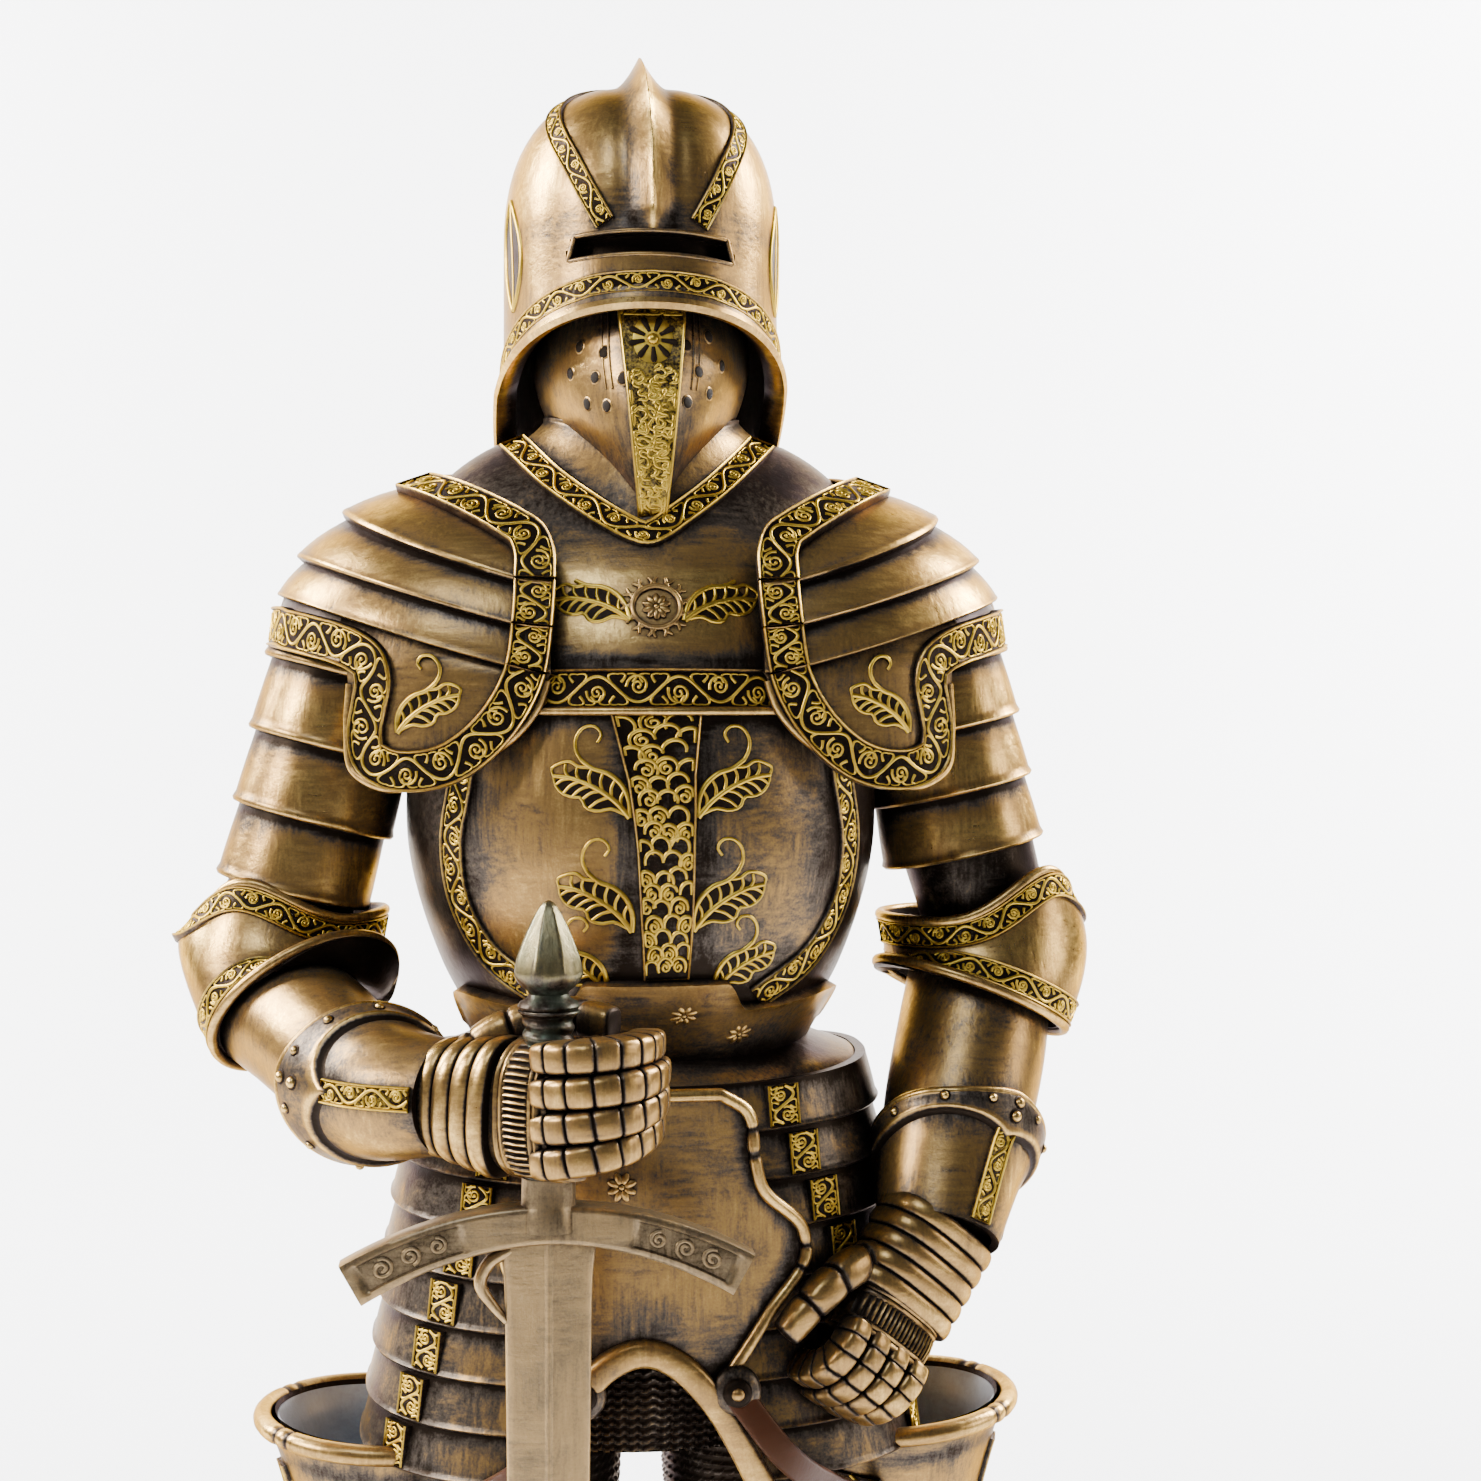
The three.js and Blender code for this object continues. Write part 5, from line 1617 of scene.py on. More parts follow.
@dataclass
class Cuirass:
    """Globose breastplate with its ornament, and the plackart and waist under it."""

    body: Levels = TRUNK
    side_line: tuple = ((30.5, 331), (31.8, 322), (33.2, 312), (32.0, 303), (27.2, 294), (17.0, 286.4))
    band_line: tuple = ((-0.4, 334.0), (0.2, 326.0), (0.9, 316.0), (1.3, 303.0), (1.5, 290.6))
    band_width: tuple = (15.0, 11.2, 9.6, 8.8, 7.6)
    belt_height: float = 337.6
    belt_width: float = 6.8
    leaf_feet: tuple = ((317.0, 30.0, 6.1), (298.5, 33.0, 5.6), (288.2, 33.0, 9.6))

    def plate(self, casting: Casting) -> None:
        """Adds the body, brushed bright in the middle of each field and dark at its borders, and darker
        towards +X below the belt: painted shade.

        Args:
            casting: takes the forms.
        """
        z = np.linspace(266.0, 381.0, 120)[:, None]
        points = self.body.at(circle(200), z)
        x, front = points[..., 0], points[..., 1] < 0
        beside = np.abs(x - 0.8)
        shine = 0.72 - 0.5 * bell(beside, 6.0, 2.2) * (z < 334) * (z > 288)
        shine = shine - 0.5 * bell(z, 333.0, 1.6) - 0.5 * bell(z, 342.3, 1.2)
        # Darker towards +X below the belt: painted shade on the side away from the key light. The second term
        # darkens the top.
        shine = shine - 0.22 * smoothstep(x, -10, 14) * (z < 336) - 0.5 * smoothstep(z, 357, 368)
        shine = shine - 0.45 * (1 - smoothstep(z, 286, 298))
        shine = shine - 0.5 * smoothstep(np.abs(x), 24, 32) * (z < 336)
        shine = shine + 0.25 * smoothstep(z, 343, 348) * (z < 357)
        shine = np.where(front, shine, 0.55 - 0.3 * smoothstep(np.abs(x), 20, 38))
        casting.add(points, shine)

    def waist(self, casting: Casting) -> None:
        """Adds the plackart with its cusped upper edge, and the roll at the waist.

        Args:
            casting: takes the forms.
        """
        skin = self.body.round()
        turn = np.radians(np.linspace(-84, 84, 150))
        degrees = np.abs(np.degrees(turn))
        top = 290.2 - 4.6 * smoothstep(degrees, 16, 24) + 1.4 * smoothstep(degrees, 26, 62)
        top = top - 7.0 * smoothstep(degrees, 66, 84)
        share = shares(22)[None]
        v = top[:, None] + (268.0 - top[:, None]) * share
        rise = 1.5 - 0.9 * share + 0.35 * bell(share, 0.0, 0.05)
        shine = 0.62 - 0.3 * share + 0.3 * bell(share, 0.0, 0.06)
        sheet(casting, skin, turn[:, None], v, 1.2, rise, shine)
        for u, v in ((6.5, 284.6), (25.0, 280.6), (-25.0, 280.6), (-12.0, 279.0)):
            daisy(casting, skin, math.radians(u), v, 2.3, 1.1)
        roll = Levels((262.0, 268.0, 272.0, 276.0), (27.0, 29.0, 29.0, 27.5), (26.0, 28.2, 28.4, 27.6),
                      (20.0, 22.5, 22.5, 21.5))
        rows = np.linspace(262.5, 275.5, 30)
        swell = 1.7 * bell(rows, 271.8, 1.2)
        barrel(casting, roll.round(), rows, swell, 0.25 + 0.5 * swell / 1.7, 96)
        flange = Levels((262.0, 268.0, 272.0, 273.4, 275.4, 278.0), (40.0, 40.2, 40.0, 38.0, 32.5, 27.0),
                        (34.0, 34.4, 34.2, 32.6, 29.6, 26.5), (28.5, 28.8, 28.6, 27.0, 23.6, 20.0))
        rows = np.linspace(262.0, 277.8, 56)
        shine = 0.55 - 0.45 * smoothstep(rows, 273, 276) - 0.3 * (1 - smoothstep(rows, 264, 267))
        barrel(casting, flange.round(), rows, 0.0, shine, 96)

    def bands(self, casting: Casting) -> None:
        """Adds the belt across the breast with its ledge, the band down its middle and the side bands.

        Args:
            casting: takes the forms.
        """
        skin = self.body.ahead()
        belt = Ribbon.on(skin, [(x, self.belt_height - 0.0006 * x * x) for x in (-25, -12, 0, 12, 25)],
                         self.belt_width, 0.6, 0.25)
        belt.bed(casting, 0.55, 0.1, 0.9, 0.25)
        vine(casting, belt, 41, 0.7, 0.27, 2.0)
        ledge = smooth_line([(x, self.belt_height - self.belt_width / 2 - 0.2) for x in (-25, 0, 25)], 70)
        bead(casting, skin.lift(*ledge.T, 0.75), 0.75, 1.0)
        middle = Ribbon.on(skin, self.band_line, self.band_width, 0.6, 0.1)
        middle.bed(casting, 0.5, 0.1, 0.6, 0.3)
        curls(casting, middle, 42, 3.1, 0.6, 0.34)
        for side in (-1, 1):
            band = Ribbon.on(skin, [(side * x, z) for x, z in self.side_line], 6.0, 0.6, 0.1)
            band.bed(casting, 0.5, 0.1, 0.6, 0.3)
            vine(casting, band, 44 + side, 0.6, 0.26, 1.8)

    def emblems(self, casting: Casting) -> None:
        """Adds the leaf branches, and the wreath with its leaves.

        Args:
            casting: takes the forms.
        """
        skin = self.body.ahead()
        for index, (height, lean, aside) in enumerate(self.leaf_feet):
            branch = Sprig(13.8 if index < 2 else 11.5)
            for hand in (-1, 1):
                branch.lay(casting, skin, (0.7 + hand * (aside - 0.6), height), lean, hand, 0.75)
        for hand in (-1, 1):
            leaf = Sprig(12.6, 0.36, False)
            leaf.lay(casting, skin, (hand * 4.4, 348.8), 17, hand, 0.85)
        self.wreath(casting, skin, (-0.1, 351.0))

    def wreath(self, casting: Casting, skin: Skin, centre: tuple[float, float]) -> None:
        """Adds a wreath of small leaves round a plain rosette.

        Args:
            casting: takes the wreath.
            skin: the breast's front.
            centre: its middle, sideways and up.
        """
        turn = circle(90)
        ring = skin.lift(centre[0] + 3.9 * np.cos(turn), centre[1] + 3.4 * np.sin(turn), 0.25)
        bead(casting, ring, 0.5, 0.8, 0.0, True, 8)
        count = 26
        lean = np.where(np.arange(count) % 2 == 0, 0.42, -0.42)
        steps = shares(7)
        reach = 3.5 + 1.9 * steps
        swing = circle(count)[:, None] + lean[:, None] * (1 - steps) * 0.55 + 0.09
        u = centre[0] + 1.08 * reach * np.cos(swing)
        v = centre[1] + 0.92 * reach * np.sin(swing)
        skin.line(casting, u, v, 0.42 * (1.15 - 0.6 * steps), 0.0, 0.9, 0.2)
        daisy(casting, skin, centre[0], centre[1], 2.3, 0.25, 10)


def daisy(casting: Casting, skin: Skin, u: float, v: float, radius: float, rise: float,
          petals: int = 8) -> None:
    """Small flower in relief: a button and petals round it.

    Args:
        casting: takes the flower.
        skin: the surface it stands on.
        u: its place in the skin's first parameter.
        v: its place in the second parameter.
        radius: reach of its petals.
        rise: height of the surface it stands on over the skin.
        petals: how many.
    """
    middle = skin.lift(np.array([u]), np.array([v]), np.array([rise]))
    normal = skin.normal(np.array([u]), np.array([v]))
    side = unit(np.cross([[0.0, 0.0, 1.0]], normal))
    up = np.cross(normal, side)
    angle = (np.arange(petals) + 0.5) / petals * 2 * np.pi
    steps = np.linspace(0.25, 1.0, 7)
    way = side * np.cos(angle)[:, None] + up * np.sin(angle)[:, None]
    centre = middle + way[:, None] * (radius * steps)[:, None]
    width = radius * 0.27 * np.sin(np.pi * np.linspace(0.22, 0.93, 7)) ** 0.6
    raised_lines(casting, centre, np.broadcast_to(normal[:, None], centre.shape), width, 0.0, 0.85, 0.7)
    domes(casting, middle, normal, radius * 0.24, 0.9, 0.9)


# Shoulder plates


@dataclass
class Pauldron:
    """Shoulder plate of overlapping lames, with a wing in front and a scroll band round it."""

    x: float = 20.0
    z: float = 344.0
    wide: float = 44.2
    front: float = 40.5
    back: float = 34.0
    high: float = 32.0
    exponent: float = 2.2
    band: float = 6.8
    wing_edge: tuple = ((18.0, 339), (19.4, 334.9), (22.1, 331.2), (27.5, 327.0), (37, 322.5), (45.3, 322.0),
                        (49.0, 324.4), (49.9, 330.4), (49.5, 338.5))
    front_band: tuple = ((39.6, 372.2), (33.6, 369.4), (28.7, 366.8), (23.6, 363.8), (21.0, 361.9),
                         (20.0, 359.6), (19.9, 355.3), (20.4, 348.0), (21.7, 339.9), (23.7, 335.4),
                         (26.2, 331.7), (29.5, 328.3), (33.2, 325.8), (38.6, 324.4), (43.0, 324.8),
                         (45.8, 326.6), (46.6, 330.2), (45.9, 335.1), (45.3, 339.0), (46.0, 341.9),
                         (48.4, 343.9), (51.4, 345.2))
    joints: tuple = (355.4, 348.0, 341.0)

    def at(self, turn: Array, z: Array) -> Array:
        """Point of the shoulder: a superellipsoid, upright below its middle height.

        Args:
            turn: angles from the front, in radians.
            z: heights.

        Returns:
            The points, as (..., 3).
        """
        above = np.clip((z - self.z) / self.high, 0.0, 1.0)
        shrink = np.maximum(0.02, 1 - above**self.exponent) ** (1 / self.exponent)
        x, y = oval(turn, self.wide * shrink, self.front * shrink, self.back * shrink, self.exponent)
        return stack(self.x + x, y, z)

    def facing(self, x: Array, z: Array) -> Array:
        """Point of its front at a place sideways and a height.

        Args:
            x: places sideways.
            z: heights.

        Returns:
            The points, as (..., 3).
        """
        across = np.abs(x - self.x) / self.wide
        above = np.clip((z - self.z) / self.high, 0.0, 1.0)
        inside = np.maximum(0.01, 1 - across**self.exponent - above**self.exponent)
        return stack(x, -self.front * inside ** (1 / self.exponent), z)

    def lines(self, turn: Array) -> Array:
        """Heights of the upper edge, three laps and the lower edge at angles.

        The upper edge rises by an exponential of the angle from the front, and falls away behind.

        Args:
            turn: angles from the front, in radians.

        Returns:
            The heights, as (5, angles).
        """
        degrees = np.degrees(turn)
        outward = np.maximum(0.0, np.sin(turn))
        crest = 360 + 15.5 * (1 - np.exp(-(degrees + 2) / 27)) * (1 - smoothstep(degrees, 132, 192))
        laps = [(354.0, 367.4), (347.1, 359.9), (340.2, 353.6), (334.5, 345.0)]
        heights = [
            np.minimum(low + (high - low) * outward, crest - 0.8 * (k + 1))
            for k, (low, high) in enumerate(laps)
        ]
        return np.stack([crest, *heights])

    def lames(self, casting: Casting) -> None:
        """Adds the four lames over the shoulder, and a rolled rim along the upper edge.

        Args:
            casting: takes the forms.
        """
        share, rise, shine = LameRows(1, 1.5, 0.12).rows()
        for k, start in enumerate((-2.5, -2.5, -2.5, 42.0)):
            turn = np.radians(np.linspace(start, 189, 120))
            lines = self.lines(turn)
            fade = 0.9 + 0.3 * np.sin(np.pi * np.linspace(0.04, 0.96, 120))
            fade = fade - 0.25 * bell(np.degrees(turn), 75, 16)
            lame_shine = np.where((share < 0.12) & (k == 0), 0.7, shine)
            v = lines[k][:, None] + (lines[k + 1] - lines[k])[:, None] * share
            sheet(casting, Skin(self.at), turn[:, None], v, 1.6, rise[None] + 0.1 - 0.1 * k,
                  lame_shine[None] * fade[:, None])
        turn = np.radians(np.linspace(6, 189, 120))
        bead(casting, Skin(self.at).lift(turn, self.lines(turn)[0], 0.2), 0.75, 1.0, 0.35)

    def wing(self, casting: Casting) -> None:
        """Adds the wing in front, which hangs from the third lame over the armpit.

        Args:
            casting: takes the forms.
        """
        count = 70
        lower = smooth_line(self.wing_edge, count)
        upper_x = np.linspace(17.0, 51.5, count)
        upper = np.stack([upper_x, np.interp(upper_x, [17, 51.5], [340.8, 351.0])], axis=1)
        share = np.concatenate([np.linspace(0.0, 0.93, 24), [0.955, 0.975, 0.99, 1.0]])
        place = upper[:, None] + (lower - upper)[:, None] * share[None, :, None]
        skin = Skin(self.facing, step=1e-2)
        rise = -0.6 + 1.35 * smoothstep(share, 0.0, 0.25) - 1.0 * smoothstep(share, 0.96, 1.0)
        sheet(casting, skin, place[..., 0], place[..., 1], 2.0, rise[None], 0.72)
        bead(casting, skin.lift(*lower.T, 0.35), 0.8, 1.0)

    def dress(self, casting: Casting) -> None:
        """Adds the scroll band, parted where the lames meet, and the leaf branch in the wing.

        Args:
            casting: takes the forms.
        """
        skin = Skin(self.facing, step=1e-2)
        front = Ribbon.on(skin, self.front_band, self.band, 0.4, 1.4)
        turn = np.linspace(46, 186, 9)
        heights = self.lines(np.radians(turn))[4] + self.band / 2 + 0.2
        outer = Ribbon.on(Skin(self.at), list(zip(np.radians(turn), heights)), self.band, 0.8, 1.4)
        centre = np.concatenate([front.centre, outer.centre])
        whole = Ribbon(centre, np.concatenate([front.normal, outer.normal]), self.band)
        inner = whole.arc < front.arc[np.argmin(front.centre[:, 2])]
        cuts = [float(np.interp(-z, -whole.centre[inner, 2], whole.arc[inner])) for z in self.joints]
        ends = [0.0, *cuts, whole.length]
        for k, (start, end) in enumerate(zip(ends[:-1], ends[1:])):
            part = whole.stretch(start + 0.12, end - 0.12)
            lean = np.linspace(0.0, 1.0, len(part.arc)) if k < 3 else np.zeros(len(part.arc))
            raised = part.centre + part.normal * (0.5 * lean - 0.1 * k)[:, None]
            part = Ribbon(raised, part.normal, 2 * part.half)
            part.bed(casting, 0.6, 0.1, 0.65, 0.4, 1.8)
            vine(casting, part, 51 + k, 0.65, 0.27, 1.8)
        Sprig(11.5, 0.36).lay(casting, skin, (41.6, 330.6), 33, -1, 0.8, 0.8)

    def cast(self, casting: Casting) -> None:
        """Adds the plates."""
        self.lames(casting)
        self.wing(casting)


# Arms


@dataclass(frozen=True)
class Hoop:
    """Ring of an elbow plate: its middle, axis, outward direction, half sizes and the rise of its point."""

    at: Triple
    axis: Triple
    out: Triple
    wide: float
    deep: float
    peak: float = 0.0
    peak_turn: float = 0.0

    def point(self, turn: Array) -> Array:
        """Points of the ring at angles.

        Args:
            turn: angles from the outward direction, in radians.

        Returns:
            The points, as (..., 3).
        """
        axis = unit(np.asarray(self.axis, float))
        ahead = unit(np.cross(axis, self.out))
        side = np.cross(ahead, axis)
        lift = self.peak * np.maximum(0.0, np.cos(turn - math.radians(self.peak_turn))) ** 4
        return (
            np.asarray(self.at, float)
            + side * (self.wide * np.cos(turn))[..., None]
            + ahead * (self.deep * np.sin(turn))[..., None]
            + axis * lift[..., None]
        )


@dataclass
class Elbow:
    """Elbow plate through three hoops, with a rolled rim and a scroll band at both ends."""

    hoops: tuple[Hoop, Hoop, Hoop]
    band: float = 4.4

    def at(self, turn: Array, share: Array) -> Array:
        """Point of the plate: a parabola through the three hoops.

        Args:
            turn: angles from the outward direction, in radians.
            share: 0 at the upper hoop, 1 at the lower.

        Returns:
            The points, as (..., 3).
        """
        upper, middle, lower = (hoop.point(turn) for hoop in self.hoops)
        weights = (2 * (share - 0.5) * (share - 1), 4 * share * (1 - share), 2 * share * (share - 0.5))
        return weights[0][..., None] * upper + weights[1][..., None] * middle + weights[2][..., None] * lower

    def cast(self, casting: Casting) -> None:
        """Adds the plate and its rims.

        Args:
            casting: takes the forms.
        """
        skin = Skin(self.at, -1.0)
        turn = circle(110)
        share = shares(26)
        shine = 0.42 + 0.6 * np.sin(np.pi * share) ** 0.8
        sheet(casting, skin, turn[:, None], share[None], 1.6, 0.0, shine[None], 0.0, -0.2, True)
        for end in (0.0, 1.0):
            bead(casting, skin.lift(turn, end, -0.3), 0.95, 0.95, 0.0, True)

    def dress(self, casting: Casting, seed: int) -> None:
        """Adds the scroll bands along both rims, at an even distance from them.

        Args:
            casting: takes the bands.
            seed: seed of their scrolls.
        """
        skin = Skin(self.at, -1.0)
        turn = np.linspace(np.pi, 3 * np.pi, 61)
        for end, inward in ((0.0, 0.1), (1.0, 0.9)):
            reach = np.linalg.norm(skin.at(turn, end) - skin.at(turn, inward), axis=-1) / 0.1
            share = np.clip(np.abs(end - (self.band / 2 + 0.7) / reach), 0.02, 0.98)
            band = Ribbon.on(skin, np.stack([turn, share], axis=1), self.band, 0.5, 0.1)
            band.bed(casting, 0.5, 0.1, 0.55, 0.4)
            vine(casting, band, seed + int(10 * end), 0.5, 0.27, 2.2)


@dataclass
class Cuff:
    """Gauntlet cuff: a flared, pointed rim with a riveted border, and a scroll band down its back."""

    limb: Limb
    point_turn: float
    point_reach: float = 0.42
    border: float = 0.17
    cusp: float = 0.2

    def rim(self, turn: Array) -> Array:
        """Share along the limb where the cuff begins: least at its point, and more round the sides."""
        return 0.02 + self.point_reach * (0.5 - 0.5 * np.cos(turn - math.radians(self.point_turn))) ** 0.75

    def inner_line(self, turn: Array) -> Array:
        """Share along the limb where the riveted border ends: it widens to a cusp at the point.

        Args:
            turn: angles round the limb, in radians.

        Returns:
            The shares.
        """
        beside = np.abs((turn - math.radians(self.point_turn) + np.pi) % (2 * np.pi) - np.pi)
        widening = self.border * (1 + 0.6 * bell(beside, 0.0, 0.9))
        return self.rim(turn) + widening + self.cusp * np.exp(-beside / 0.38)

    def cast(self, casting: Casting) -> None:
        """Adds the cuff with its border and rivets.

        Args:
            casting: takes the forms.
        """
        skin = self.limb.skin()
        turn = circle(140)
        rim, line = self.rim(turn)[:, None], self.inner_line(turn)[:, None]
        part = np.array([0.0, 0.1, 0.4, 0.8, 0.93, 1.0])
        ledge = np.array([0.02, 0.035, 0.06])
        rest = np.linspace(0.09, 1.0, 22)
        v = np.concatenate([rim + (line - rim) * part, line + ledge, line + (1 - line) * rest], axis=1)
        rise = np.concatenate([[0.75, 0.85, 0.8, 0.85, 1.0, 0.9], [0.35, 0.0, -0.05], np.full(22, 0.0)])
        shine = np.concatenate([[0.8, 0.4, 0.35, 0.4, 0.95, 1.0], [-0.2, -0.5, -0.2], 0.1 + 0.65 * np.sin(
            np.pi * np.linspace(0.05, 0.95, 22)) ** 0.5])
        sheet(casting, skin, turn[:, None], v, 1.4, rise[None], shine[None], 0.0, -0.2, True)
        bead(casting, skin.lift(turn, rim[:, 0], 0.2), 0.8, 1.0, 0.0, True)
        point = math.radians(self.point_turn)
        angles = point + np.array([-2.2, -1.45, -0.85, -0.35, 0.35, 0.85, 1.45, 2.2])
        rivets(casting, skin, angles, self.rim(angles) + self.border * 0.55, 0.75, 0.85)
        rivets(casting, skin, [point, point], [self.rim(point) + 0.06, self.rim(point) + 0.2], 0.95, 0.85)

    def dress(self, casting: Casting, seed: int, width: float = 3.9) -> None:
        """Adds the scroll band that runs from the cusp to the wrist.

        Args:
            casting: takes the band.
            seed: seed of its scroll.
            width: its width.
        """
        turn = math.radians(self.point_turn)
        start = float(self.inner_line(np.array([turn]))[0]) - 0.02
        line = [(turn, share) for share in np.linspace(start, 0.98, 6)]
        band = Ribbon.on(self.limb.skin(), line, width, 0.5, 0.15)
        band.bed(casting, 0.45, 0.12, 0.6, 1.0, 1.0, 0.25)
        vine(casting, band, seed, 0.42, 0.27, 1.9)


@dataclass
class Fist:
    """Closed gauntlet: back of the hand, ribbed knuckle band, plated fingers and thumb.

    Its own axes run along the hand to the knuckles, across it from first to little finger, and out of its
    back.
    """

    knuckles: Triple
    along: Triple
    across: Triple
    handed: float
    size: float
    fan: float
    thumb: tuple[Triple, ...]

    def place(self, a: Array, c: Array, b: Array) -> Array:
        """Points by distance along, across and out of the back.

        Args:
            a: distances along the hand.
            c: distances across it.
            b: distances out of its back.

        Returns:
            The points, as (..., 3).
        """
        along, across = unit(np.asarray(self.along, float)), unit(np.asarray(self.across, float))
        back = unit(np.cross(across, along)) * self.handed
        a, c, b = np.broadcast_arrays(np.asarray(a, float), np.asarray(c, float), np.asarray(b, float))
        return np.asarray(self.knuckles, float) + self.size * (
            a[..., None] * along + c[..., None] * across + b[..., None] * back
        )

    def slab(self, casting: Casting, a: Array, half: Array, low: float, high: Array, polish_and_painted_light: Array) -> None:
        """Arched block across the hand.

        Args:
            casting: takes the block.
            a: stations along the hand.
            half: half width at each station.
            low: height of its underside.
            high: height of its top, for each station and column.
            polish_and_painted_light: polish, for each station and column.
        """
        columns = high.shape[1]
        c = np.linspace(-1, 1, columns)
        arch = (1 - np.abs(c) ** 3.2) ** 0.5
        top = self.place(a[:, None], c * half[:, None], low + (high - low) * (0.12 + 0.88 * arch))
        under = self.place(a[:, None], c[::-1] * half[:, None] * 0.9, np.full((1, columns), low))
        casting.add(np.concatenate([top, under], axis=1), np.concatenate([polish_and_painted_light, polish_and_painted_light * 0 - 0.1], axis=1))

    def cast(self, casting: Casting) -> None:
        """Adds the whole hand.

        Args:
            casting: takes the forms.
        """
        columns = 169
        c = np.linspace(-1, 1, columns)
        a = np.linspace(-17, 1.5, 24)
        crown = 2.4 + 0.4 * np.cos(a / 3.0)
        self.slab(casting, a, 11 + 0 * a, -8.5, crown[:, None] + 0 * c, np.full((24, columns), 0.6))
        a = np.array([-9.3, -9.1, -8.6, -8.1, -7.9, -7.7, -7.2, -6.9, -6.7, -4.6, -2.4, -2.2, -1.9, -1.4,
                        -1.2, -1.0, -0.5, 0.1, 0.4]) + 0.3
        edge = np.array([2.0, 2.9, 3.6, 3.4, 3.0, 3.4, 3.5, 3.1, 2.8, 3.0, 2.8, 3.1, 3.5, 3.4, 3.0, 3.4,
                           3.6, 3.1, 2.0])
        ribbed = np.isin(np.arange(a.size), [8, 9, 10]).astype(float)[:, None]
        ribs = (0.5 + 0.5 * np.cos(c * 21 * np.pi)) ** 0.7
        high = edge[:, None] + 0.75 * ribbed * ribs
        shine = 0.8 - ribbed * (1.15 * (1 - ribs) - 0.15)
        self.slab(casting, a, 11.4 - 0.08 * np.abs(a + 4), -6.0, high, shine)
        for finger in range(4):
            self.finger(casting, finger)
        self.thumb_plates(casting)

    def finger(self, casting: Casting, order: int) -> None:
        """Adds one finger: a bent limb whose radius dips at the joints between its plates.

        Args:
            casting: takes the finger.
            order: 0 for the first finger, 3 for the little one.
        """
        reach = (0.93, 1.04, 1.02, 0.93)[order]
        share = shares(9)
        c = (order - 1.5) * 5.5 * (1 - 0.26 * share**1.5) - 0.9 - self.fan * share
        a = np.array([-1.0, 2.0, 4.9, 7.6, 9.6, 10.8, 11.0, 10.2, 8.6])
        b = [0.6, 1.0, 0.8, -0.2, -2.3, -5.2, -8.6, -12.0, -15.0]
        points = self.place(a * reach, c, b)
        radius = self.size * np.interp(share, [0.0, 0.1, 0.6, 1.0], [2.2, 2.5, 2.6, 2.3])
        radius = radius[:, None]
        limb = Limb(np.concatenate([points, radius, radius * 1.3], axis=1), self.across, 4.0)
        share, rise, shine = Knuckled(8, 0.4 * self.size, 0.04).rows()
        barrel(casting, limb.skin(), share, rise, shine, 24)

    def thumb_plates(self, casting: Casting) -> None:
        """Adds the thumb along its own path.

        Args:
            casting: takes the forms.
        """
        radius = [3.6 * self.size, 3.5 * self.size, 3.2 * self.size, 2.6 * self.size]
        limb = Limb([(*p, r, r) for p, r in zip(self.thumb, radius)], self.across, 2.8)
        share, rise, shine = Knuckled(5, 0.6 * self.size, 0.15).rows()
        barrel(casting, limb.skin(), share, rise, shine, 24)


@dataclass
class Arm:
    """Arm of lames, elbow plate, forearm, cuff, wrist lames and fist."""

    upper: Stations
    lame_count: int
    inner: Stations
    forearm: Stations
    forearm_across: Triple
    elbow: Elbow
    cuff: Cuff
    wrist: Stations
    wrist_across: Triple
    wrist_count: int
    fist: Fist
    seed: int

    def plates(self, casting: Casting) -> None:
        """Adds the upper arm's lames, the forearm and the elbow plate.

        Args:
            casting: takes the forms.
        """
        limb = Limb(self.upper, SIDEWAYS)
        share, rise, shine = LameRows(self.lame_count, 1.1, 0.35).rows()
        turn = circle(90)
        # The lames' polish is raised at the front of the arm and lowered round the back: painted highlight
        # and painted shade.
        fade = 0.72 + 0.45 * np.maximum(0.0, np.sin(turn + 0.25)) ** 0.7
        barrel(casting, limb.skin(), share, rise, shine[:, None] * fade, 90)
        barrel(casting, Limb(self.inner, SIDEWAYS).skin(), shares(30), 0.0, 0.1, 60)
        barrel(casting, Limb(self.forearm, self.forearm_across).skin(), shares(50), 0.0, 0.72, 80)
        self.elbow.cast(casting)

    def hand(self, casting: Casting) -> None:
        """Adds the cuff, the wrist lames and the fist.

        Args:
            casting: takes the forms.
        """
        self.cuff.cast(casting)
        limb = Limb(self.wrist, self.wrist_across, 2.6)
        share, rise, shine = Knuckled(self.wrist_count, 0.3, 0.5).rows()
        barrel(casting, limb.skin(), share, rise, shine + 0.1, 72)
        self.fist.cast(casting)

    def dress(self, casting: Casting) -> None:
        """Adds the scroll bands."""
        self.elbow.dress(casting, self.seed)
        self.cuff.dress(casting, self.seed + 5)


